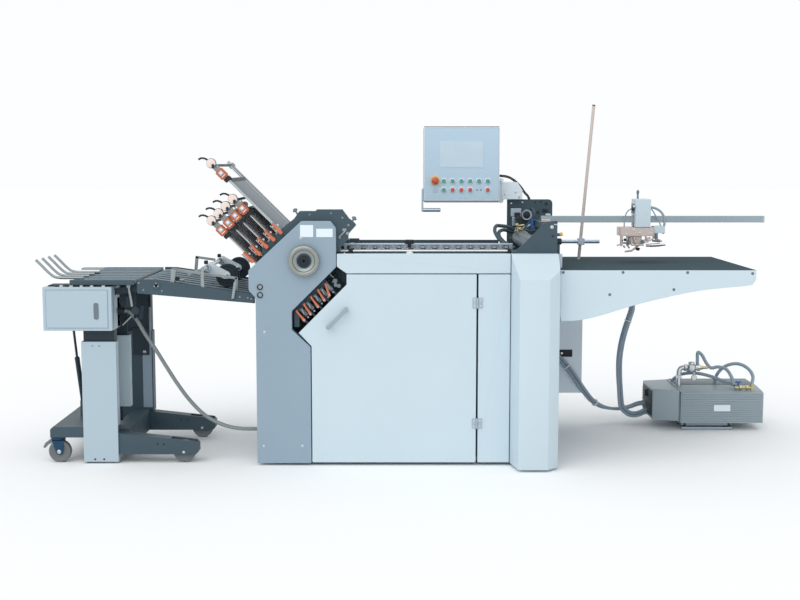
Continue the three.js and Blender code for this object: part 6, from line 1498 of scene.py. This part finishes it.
def build_conveyor():
    """Inclined conveyor: side plates, belts between slots, hub, guides and the brackets."""
    body = "lift"
    post = [(-870, 790), (-854, 786), (-855, 874), (-869, 874)]
    posts = [slab(post, y, y + 9.6, 1.5, 4) for y in (CONVEYOR_FRONT, 690)]
    add_piece("press_posts", posts, "plate_aluminium", body)
    bracket = [(-1006, 786), (-992, 784), (-978, 862), (-1000, 868)]
    add_piece("guide_bracket", [slab(bracket, 41, 45, 1, 3)], "plate_aluminium", body)
    plates = [slab(CONVEYOR_OUTLINE, y, y + 9.6, 2, 4) for y in (CONVEYOR_FRONT, 690)]
    plates.append(slab(DECK_OUTLINE, 42, 688, 1, 1))
    add_piece("conveyor_plates", plates, "dark_frame", body, ("inclined_conveyor",))
    belts = [slab(BELT_OUTLINE, y - 19, y + 19, 0.8) for y in np.linspace(78, 652, 8)]
    add_piece("conveyor_belts", belts, "belt", body)
    hub = [(18, 0), (18, 2), (16, 3.4), (7, 3.4)]
    hubs = [turned(hub, (-1064, y, 796), way, 36)
            for y, way in ((CONVEYOR_FRONT, FRONT), (CONVEYOR_REAR, BACK))]
    add_piece("conveyor_hub", hubs, "dark_frame", body)
    on_hub = [(-1064, 804), (-1072, 792), (-1056, 792)]
    beside_hub = [(-1140, 806), (-1040, 770), (-700, 744), (-665, 740), (-650, 736), (-1120, 775)]
    screws = [screw((x, 27, z), 2.6, height=2) for x, z in on_hub]
    screws += [screw((x, CONVEYOR_FRONT, z), 2.6, height=2) for x, z in beside_hub]
    screws += [screw((x, CONVEYOR_REAR, z), 3.6, BACK) for x, z in on_hub + beside_hub]
    add_piece("conveyor_screws", screws, "plate_aluminium", body)
    guides = [guide_rail(-1006, -720, 110, 56), guide_leg(-1006, 110, 56, 0), guide_leg(-732, 110, 56, 0)]
    guides += [guide_rail(-966, -872, 490, 88), guide_leg(-966, 490, 88, 9)]
    guides.append(slab([(-736, 738), (-724, 738), (-712, 812), (-724, 812)], 20, 25, 1, 2))
    guides.append(block(-980, -960, 112, 150, 806, 812, 1))
    add_piece("side_guides", guides, "plate_aluminium", body)


def build_crank():
    """Crank gear between the belt table and the conveyor: wheel, rods, cover and link."""
    gear = pins(((-985, 96, 818), (-985, 120, 818), 9), ((-1150, 90, 640), (-1140, 90, 700), 9))
    gear.append(turned([(16, 0), (18, 3), (18, 12), (14, 15)], (-1164, 60, 680), (0.4, -1, 0.1), 24))
    loop = [(-1232, 150, 628), (-1206, 140, 640), (-1186, 132, 650), (-1176, 124, 640)]
    gear.append(tube(smooth_line(loop, 2), 7, 14))
    gear += blocks((-1236, -1170, 100, 108, 690, 800, 3), (-1214, -1186, 84, 100, 690, 742, 3))
    gear.append(turned([(14, 0), (14, 6)], (-1190, 62, 790), FRONT, 24))
    add_piece("crank_gear", gear, "deep_frame", "lift")
    link = [(-1190, 54, 792), (-1186, 54, 760), (-1180, 54, 725), (-1177, 54, 700)]
    silver = [strap(smooth_line(link, 3), 9, 5), pin((-1226, 78, 614), (-1182, 70, 656), 3.4)]
    silver.append(turned([(9, 0), (9, 5), (6, 6)], (-1190, 56, 790), FRONT, 20))
    add_piece("crank_bright", silver, "plate_aluminium", "lift")


PRESS_X, PRESS_Z = -862, 862
PRESS_WHEEL_X, PRESS_WHEEL_Z = -776, 824
PRESS_WHEEL_Y = (196, 600)
PRESS_ARM = [(-876, 846), (-786, 808), (-762, 812), (-760, 836), (-842, 880), (-862, 884), (-880, 866)]
PRESS_TREAD = [
    (20, 1), (37, 1), (39, 2.5), (41, 0.5), (50, 0.2), (52.4, 2), (53, 5), (53, 21), (52.4, 24),
    (50, 25.8), (41, 25.5), (39, 23.5), (37, 25), (20, 25),
]
PRESS_DISC = [(8, -1), (19, 0), (20, 3), (20, 23), (19, 26), (8, 27)]


def build_press():
    """Press roller: shaft, white arms, knobs, the chain on the lift and the two rubber wheels."""
    shaft = pin((PRESS_X, 31, PRESS_Z), (PRESS_X, 699, PRESS_Z), 8, 1, 24)
    add_piece("press_shaft", [shaft], "bright_steel", "press", ("press_arm",))
    arms = []
    for y in PRESS_WHEEL_Y:
        arms.append(slab(PRESS_ARM, y - 9.5, y - 3.2, 1.5, 10))
        arms.append(turned([(15, 0), (15, 34), (13, 36)], (PRESS_X, y - 40, PRESS_Z), BACK, 24))
        boss = [(13, 0), (14, 1.5), (14, 6), (11, 8)]
        arms.append(turned(boss, (PRESS_WHEEL_X, y - 3.5, PRESS_WHEEL_Z), FRONT, 24))
    # The arms take the whiter white: painted light against the shade they sit in.
    add_piece("press_arms", arms, "pale_box", "press")
    knobs = turnings([(8, 0), (9, 2), (9, 14), (7, 16)], [(PRESS_X, 140, 880), (PRESS_X, 548, 880)], UP, 14)
    knobs += [ball((PRESS_X, y, 870), 10, 14) for y in (246, 652)]
    add_piece("press_knobs", knobs, "black_rubber", "press")
    links = [(-940 + i * 11.5, y, 828 + i * 5.4) for y in (150, 554) for i in range(8)]
    chain = turnings([(6, 0), (8, 1.5), (8, 9), (6, 10)], links, BACK, 12)
    add_piece("press_chain", chain, "plate_aluminium", "lift")
    middles = [(PRESS_WHEEL_X, y, PRESS_WHEEL_Z) for y in PRESS_WHEEL_Y]
    wheels = turnings(PRESS_TREAD, middles, BACK, 64)
    wheels.append(pin((PRESS_WHEEL_X, 184, PRESS_WHEEL_Z), (PRESS_WHEEL_X, 630, PRESS_WHEEL_Z), 6))
    add_piece("press_tyres", wheels, "deep_frame", "press_roll", ("press_wheels",))
    add_piece("press_discs", turnings(PRESS_DISC, middles, BACK, 32), "dark_frame", "press_roll")


SOCKET_Z = 789.6


def build_terminal_box():
    """White terminal box with a lidded face, a flush latch, sockets on top and a gland."""
    body = "lift"
    shell = blocks(
        (-1554, -1254, 0, 40, 599, 790, 2.5), (-1554, -1402, 38, 157, 599, 790, 2.5),
        (-1404, -1254, 108, 157, 599, 736, 2.5), (-1257, -1254, 30, 157, 599, 788, 1))
    add_piece("terminal_shell", shell, "box_white", body, ("terminal_box",))
    for name, sides, depth, finish in (
            ("groove", (-1541, -1269, 610, 779), (-1.2, 1, 0.5, 2), "grey_blue_cover"),
            ("lid", (-1538, -1272, 613, 776), (-3.6, 0.5, 1.2, 2), "box_white"),
            ("latch", (-1332, -1310, 649, 722), (-5.2, -2, 1, 10), "hood_grey")):
        add_piece(f"terminal_{name}", [slab(oblong(*sides), *depth)], finish, body)
    # A dark block painted as the shade in the recess in the box's top.
    add_piece("terminal_recess", [block(-1538, -1268, 34, 118, 789.4, 796, 1.5)], "deep_frame", body)
    places = (-1476, -1432, -1388, -1343, -1292)
    socket = [(12, 0), (12, 2), (10, 3), (10, 7), (8, 8)]
    sockets = turnings(socket, [(x, 22, SOCKET_Z) for x in places], UP, 20)
    caps = turnings([(9, 0), (9, 7)], [(x - 20, 26, SOCKET_Z) for x in places], UP, 12)
    add_piece("terminal_sockets", sockets, "bright_steel", body)
    add_piece("terminal_caps", caps, "black_rubber", body)
    gland = turned([(17, 0), (17, 6), (14, 8), (14, 22), (12, 28)], (-1254, 132, 672), RIGHT, 20)
    add_piece("terminal_gland", [gland], "black_rubber", body)


COVER_LEFT, COVER_RIGHT = -1401.3, -1247.7
STRUT_LOW = np.array([-1466, 300, 236.0])
STRUT_HIGH = np.array([-1466, 160, 579.0])
STRUT_SPLIT_SHARE = 0.62


def build_columns():
    """Column covers, dark sheets of painted shade behind them, inner columns, dark discs painted as the shade
    in the legs' holes, and the legs' screws.
    """
    skin = [slab(oblong(COVER_LEFT, COVER_RIGHT, 8, 546), 36, 43.6, 2, 3)]
    skin += blocks(
        (COVER_LEFT, COVER_LEFT + 2.9, 40, 86, 8, 546, 0.6),
        (COVER_RIGHT - 2.9, COVER_RIGHT, 40, 86, 8, 34, 0.6),
        (COVER_RIGHT - 2.9, COVER_RIGHT, 40, 86, 170, 546, 0.6))
    add_piece("delivery_skin", skin, "box_white", stands_for=("delivery_column_cover",))
    dots = [screw((x, 36, 20), 3) for x in (-1352, -1312)]
    dots += blocks((-1355, -1347, 35.2, 37, 526, 529, 0.5), (-1325, -1317, 35.2, 37, 526, 529, 0.5))
    add_piece("delivery_dots", dots, "deep_frame")
    sheets = [
        ("middle_skin", "box_white", STAND,
         [(-1290, -1228, 200, 208, 226, 552, 1.5), (-1228, -1224, 200, 240, 226, 552, 1)]),
        # middle_shade and lift_shade are dark sheets standing where there is only shade: painted shade.
        ("middle_shade", "deep_frame", STAND, [(-1336, -1262, 206, 214, 160, 546, 1)]),
        ("lift_shade", "deep_frame", "lift", [(-1336, -1236, 218, 222, 548, 690, 1)]),
        ("rear_channel", "grey_blue_cover", STAND,
         [(-1240, -1196, 556.5, 559.5, 152, 522, 0.6), (-1206, -1196, 556.5, 559.5, 523, 640, 0.6)]),
        ("rear_lift_plate", "deep_frame", "lift",
         [(-1350, -1206, 552, 555.8, 540, 772, 1), (-1284, -1206, 552, 555.8, 408, 545, 1)]),
        ("lift_side_strip", "deep_frame", "lift", [(-1391.6, -1257.4, 50.4, 97.6, 552, 770, 2)]),
    ]
    for name, finish, body, rows in sheets:
        add_piece(name, blocks(*rows), finish, body)
    add_piece("rear_lift_bolt", [screw((-1228, 552, 424), 6)], "bright_steel", "lift")
    spots = [(-1075, 44.2, 88), (-1048, 44.2, 86), (-1060, 560.2, 92), (-1030, 560.2, 90)]
    # Black discs painted as the shade inside the legs' holes.
    add_piece("leg_holes", turnings([(4.4, 0), (4.4, 1.2)], spots, FRONT, 14), "black_rubber")
    add_piece("leg_bolts", [screw((-960, y, 50), 4.4) for y in (44, 560)], "bright_steel")


def build_strut():
    """The gas strut: its cylinder on the stand and its rod, baked in place."""
    way = STRUT_HIGH - STRUT_LOW
    joint = STRUT_LOW + way * STRUT_SPLIT_SHARE
    collar = turned([(11.4, 0), (11.4, 12), (9, 16)], joint - way * 0.04, way, 24)
    add_piece("strut_cylinder", [pin(STRUT_LOW, joint, 11, 2, 24), collar], "deep_frame")
    rod_line = np.linspace(joint - way * 0.02, STRUT_HIGH + np.array([0, 0, 26.0]), 24)
    rod = as_object("strut_rod", [tube(rod_line, 5.5, 16)], "deep_frame")
    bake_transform(rod)


CASTER_RACE = [(10, 99.5), (12, 104), (30, 105), (32, 107), (32, 112.8), (10, 113), (10, 115.6)]
CASTER_TRAIL = 8
WHEEL_RADIUS = 50
TYRE_PROFILE = [
    (34, -12), (38, -14), (47, -13.6), (49.4, -10), (50, -5), (50, 5), (49.4, 10), (47, 13.6), (38, 14),
    (34, 12),
]
HUB_PROFILE = [
    (6.7, -14), (13, -14), (14, -9), (30, -8), (35.5, -12.5), (36, -11), (36, 11), (35.5, 12.5), (30, 8),
    (14, 9), (13, 14), (6.7, 14),
]


def caster_parts(x, y, place):
    """A swivel caster: top plate, ball race, bent fork, brake pedal and a two-part wheel."""
    axle_x = x + CASTER_TRAIL
    fork = [turned(CASTER_RACE, (x, y, 0), UP, 32)]
    cheek = [(axle_x - 13, 36), (axle_x + 13, 36), (axle_x + 16, 52), (x + 28, 108), (x - 26, 108),
             (axle_x - 16, 52)]
    fork += [slab(cheek, middle - 2, middle + 2, 1, 8) for middle in (y - 18, y + 18)]
    fork.append(slab(oblong(x - 26, x + 28, 98, 108), y - 20, y + 20, 2, 3))
    body = f"fork_{place}"
    add_piece(body, fork, "blue_steel", body, (f"caster_{body}",))
    pedal = [(-20, 90), (-20, 104), (-38, 102), (-56, 88), (-66, 68), (-58, 64), (-44, 80)]
    shape = slab([(x + a, z) for a, z in pedal], y - 13, y + 13, 1.6, 2)
    add_piece(f"caster_pedal_{place}", [shape], "hood_grey", body)
    axle = [pin((axle_x, y - 24, WHEEL_RADIUS), (axle_x, y + 24, WHEEL_RADIUS), 6)]
    axle.append(turned([(10, 0), (10, 4), (8, 5)], (axle_x, y - 20, WHEEL_RADIUS), FRONT, 6))
    add_piece(f"caster_bright_{place}", axle, "bright_steel", body)
    wheel_parts(axle_x, y, f"wheel_{place}", f"caster_wheel_{place}")


def wheel_parts(x, y, body, node):
    """A 100 mm wheel: tyre, dished hub and bearing cap."""
    centre = (x, y, WHEEL_RADIUS)
    add_piece(f"tyre_{node}", [turned(TYRE_PROFILE, centre, BACK, 56)], "tyre_grey", body, (node,))
    add_piece(f"hub_{node}", [turned(HUB_PROFILE, centre, BACK, 48)], "plate_aluminium", body)


def build_wheels():
    """Two swivel casters and two fixed wheels."""
    for place, y in (("front", 74), ("rear", 590)):
        caster_parts(-1523, y, place)
        wheel_parts(-960, y, f"tail_wheel_{place}", f"fixed_wheel_{place}")


def dress_frames():
    """Finishes on the CAD nodes that stay in view."""
    finishes = {
        "base_frame": "grey_blue_cover",
        "fold_roller": "bright_steel",
        "drive_motor": "motor_grey",
        "register_table": "dark_frame",
        "feeder_frame": "dark_frame",
        "suction_drum": "dark_frame",
        "delivery_base": "dark_frame",
        "lift_frame": "deep_frame",
    }
    for node, finish in finishes.items():
        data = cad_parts[node].data
        data.materials.clear()
        data.materials.append(look(finish))


# Camera, floor and lights


def add_sun(name, degrees, spread, strength):
    """A broad soft sun, its turn given as pitch, roll and heading in degrees."""
    data = bpy.data.lights.new(name, "SUN")
    data.energy = strength
    data.angle = math.radians(spread)
    lamp = bpy.data.objects.new(name, data)
    lamp.rotation_euler = [math.radians(turn) for turn in degrees]
    bpy.context.scene.collection.objects.link(lamp)
    return lamp


FLOOR_REACH = 60.0
FLOOR_WHITE = (0.955, 0.965, 0.97, 1.0)
SKY_WHITE = (0.975, 0.99, 1.0, 1.0)
SUN_TURN = (42.0, 0.0, -28.0)
SUN_SPREAD = 70.0
LENS = 56.25
SENSOR = 36.0
CAMERA_PLACE = (0, -5400, 1322)
CAMERA_DIP = 6.209


def build_floor():
    """A matt white floor that runs past the camera's view."""
    mesh = bpy.data.meshes.new("studio_floor")
    reach = FLOOR_REACH
    corners = [(-reach, -reach, 0), (reach, -reach, 0), (reach, reach, 0), (-reach, reach, 0)]
    mesh.from_pydata(corners, [], [(0, 1, 2, 3)])
    floor = bpy.data.objects.new("studio_floor", mesh)
    bpy.context.scene.collection.objects.link(floor)
    material = bpy.data.materials.new("studio_white")
    material.use_nodes = True
    shader = material.node_tree.nodes["Principled BSDF"]
    shader.inputs["Base Color"].default_value = FLOOR_WHITE
    shader.inputs["Roughness"].default_value = 1.0
    shader.inputs["Specular IOR Level"].default_value = 0.0
    mesh.materials.append(material)


def build_world(sky_light):
    """A white world: full strength where it is seen, softer where it lights."""
    world = bpy.data.worlds.new("studio")
    bpy.context.scene.world = world
    world.use_nodes = True
    tree = world.node_tree
    back = tree.nodes["Background"]
    back.inputs["Color"].default_value = SKY_WHITE
    path = tree.nodes.new("ShaderNodeLightPath")
    seen = math_node(tree, "MAXIMUM", path.outputs["Is Camera Ray"], path.outputs["Is Glossy Ray"])
    seen = math_node(tree, "MAXIMUM", seen, path.outputs["Is Transmission Ray"])
    wire(tree, ranged(tree, seen, sky_light, 1.0), back.inputs["Strength"])


def build_stage(context):
    """White floor and world, one broad sun and the camera of the photograph."""
    scene = context.scene
    sizes = scene.folder_sizes
    scene.view_settings.view_transform = "Standard"
    build_floor()
    build_world(sizes.sky_light)
    add_sun("soft_sun", SUN_TURN, SUN_SPREAD, sizes.sun_strength)
    data = bpy.data.cameras.new("photo_camera")
    data.lens = LENS
    data.sensor_width = SENSOR
    camera = bpy.data.objects.new("photo_camera", data)
    scene.collection.objects.link(camera)
    camera.location = metres(CAMERA_PLACE)
    camera.rotation_euler = (math.radians(90 - CAMERA_DIP), 0, 0)
    scene.camera = camera


# Properties, operators and panel


def colour_property(name):
    """A colour with its own name and default."""
    words = name.replace("_", " ")
    return bpy.props.FloatVectorProperty(
        name=words.capitalize(), description=f"Colour of the {words} finish", subtype="COLOR", size=3,
        min=0.0, max=1.0, default=linear(*COLOURS[name]))


class FolderColours(bpy.types.PropertyGroup):
    """Colours of the machine's finishes."""

    __annotations__ = {name: colour_property(name) for name in COLOURS}


class FolderSizes(bpy.types.PropertyGroup):
    """Levels of the studio."""

    sky_light: bpy.props.FloatProperty(
        name="Sky light", description="Strength of the world's light on the object", default=0.78, min=0.0,
        max=4.0)
    sun_strength: bpy.props.FloatProperty(
        name="Sun strength", description="Strength of the soft sun from the front left", default=1.2, min=0.0,
        max=10.0)


class FOLDER_OT_stage(bpy.types.Operator):
    """Floor, lamps, world and camera"""

    bl_idname = "folder.stage"
    bl_label = "Studio stage"

    def execute(self, context):
        build_stage(context)
        return {"FINISHED"}


class FOLDER_OT_cords(bpy.types.Operator):
    """Hoses, cables and their ties"""

    bl_idname = "folder.cords"
    bl_label = "Hoses and cables"

    def execute(self, context):
        build_cords()
        return {"FINISHED"}


class FOLDER_OT_covers(bpy.types.Operator):
    """Covers of the stand and the fold unit"""

    bl_idname = "folder.covers"
    bl_label = "Covers"

    def execute(self, context):
        build_fold_cover()
        build_front_covers()
        build_drive_cover()
        return {"FINISHED"}


class FOLDER_OT_door(bpy.types.Operator):
    """Door with its grip and hinges"""

    bl_idname = "folder.door"
    bl_label = "Door"

    def execute(self, context):
        build_door()
        return {"FINISHED"}


class FOLDER_OT_fold_unit(bpy.types.Operator):
    """Handwheel, rollers and the hardware of the fold unit's head"""

    bl_idname = "folder.fold_unit"
    bl_label = "Fold unit"

    def execute(self, context):
        build_handwheel()
        build_fold_head()
        return {"FINISHED"}


class FOLDER_OT_fold_plates(bpy.types.Operator):
    """Fold plates with counters, knobs and clamp levers"""

    bl_idname = "folder.fold_plates"
    bl_label = "Fold plates"

    def execute(self, context):
        for index, across in enumerate(PLATE_ACROSS):
            build_plate(index, across)
            build_knob(index, across)
            build_clamp_lever(index, across)
        build_lower_plates()
        return {"FINISHED"}


class FOLDER_OT_register(bpy.types.Operator):
    """Ball rail of the register table"""

    bl_idname = "folder.register"
    bl_label = "Register table"

    def execute(self, context):
        build_ball_rail()
        return {"FINISHED"}


class FOLDER_OT_feeder(bpy.types.Operator):
    """Feeder hardware, suction rail, separator head, pile table and the box behind"""

    bl_idname = "folder.feeder"
    bl_label = "Feeder"

    def execute(self, context):
        build_feeder_details()
        build_suction()
        build_separator()
        build_pile_table()
        build_box()
        return {"FINISHED"}


class FOLDER_OT_panel(bpy.types.Operator):
    """Control panel with its buttons and arm"""

    bl_idname = "folder.panel"
    bl_label = "Control panel"

    def execute(self, context):
        build_panel()
        build_arm()
        return {"FINISHED"}


class FOLDER_OT_pump(bpy.types.Operator):
    """Vacuum pump with its pipework"""

    bl_idname = "folder.pump"
    bl_label = "Vacuum pump"

    def execute(self, context):
        build_pump()
        build_pump_pipes()
        return {"FINISHED"}


class FOLDER_OT_delivery(bpy.types.Operator):
    """Delivery: belts, conveyor, press roller, terminal box, columns and casters"""

    bl_idname = "folder.delivery"
    bl_label = "Delivery"

    def execute(self, context):
        build_belt_table()
        build_conveyor()
        build_crank()
        build_press()
        build_terminal_box()
        build_columns()
        build_strut()
        build_wheels()
        return {"FINISHED"}


class FOLDER_OT_frames(bpy.types.Operator):
    """Finishes on the frames that stay in view"""

    bl_idname = "folder.frames"
    bl_label = "Frame finishes"

    def execute(self, context):
        dress_frames()
        return {"FINISHED"}


OPERATORS = (FOLDER_OT_stage, FOLDER_OT_cords, FOLDER_OT_covers, FOLDER_OT_door, FOLDER_OT_fold_unit,
             FOLDER_OT_fold_plates, FOLDER_OT_register, FOLDER_OT_feeder, FOLDER_OT_panel, FOLDER_OT_pump,
             FOLDER_OT_delivery, FOLDER_OT_frames)


class FOLDER_PT_sidebar(bpy.types.Panel):
    """Sizes, colours and the pieces of the machine"""

    bl_label = "Paper folder"
    bl_idname = "FOLDER_PT_sidebar"
    bl_space_type = "VIEW_3D"
    bl_region_type = "UI"
    bl_category = "Folder"

    def draw(self, context):
        layout = self.layout
        for group in (context.scene.folder_sizes, context.scene.folder_colours):
            for name in group.__annotations__:
                layout.prop(group, name)
        for operator in OPERATORS:
            layout.operator(operator.bl_idname)


CLASSES = (FolderColours, FolderSizes, *OPERATORS, FOLDER_PT_sidebar)


def register():
    """Registers the classes and their properties."""
    for item in CLASSES:
        bpy.utils.register_class(item)
    bpy.types.Scene.folder_colours = bpy.props.PointerProperty(type=FolderColours)
    bpy.types.Scene.folder_sizes = bpy.props.PointerProperty(type=FolderSizes)


def unregister():
    """Takes them out again."""
    del bpy.types.Scene.folder_sizes
    del bpy.types.Scene.folder_colours
    for item in reversed(CLASSES):
        bpy.utils.unregister_class(item)


def main():
    """Builds the whole scene in order."""
    register()
    for operator in OPERATORS:
        family, name = operator.bl_idname.split(".")
        result = getattr(getattr(bpy.ops, family), name)()
        if result != {"FINISHED"}:
            raise RuntimeError(f"{operator.bl_idname} didn't finish")
    bpy.context.view_layer.update()


if __name__ == "__main__":
    main()
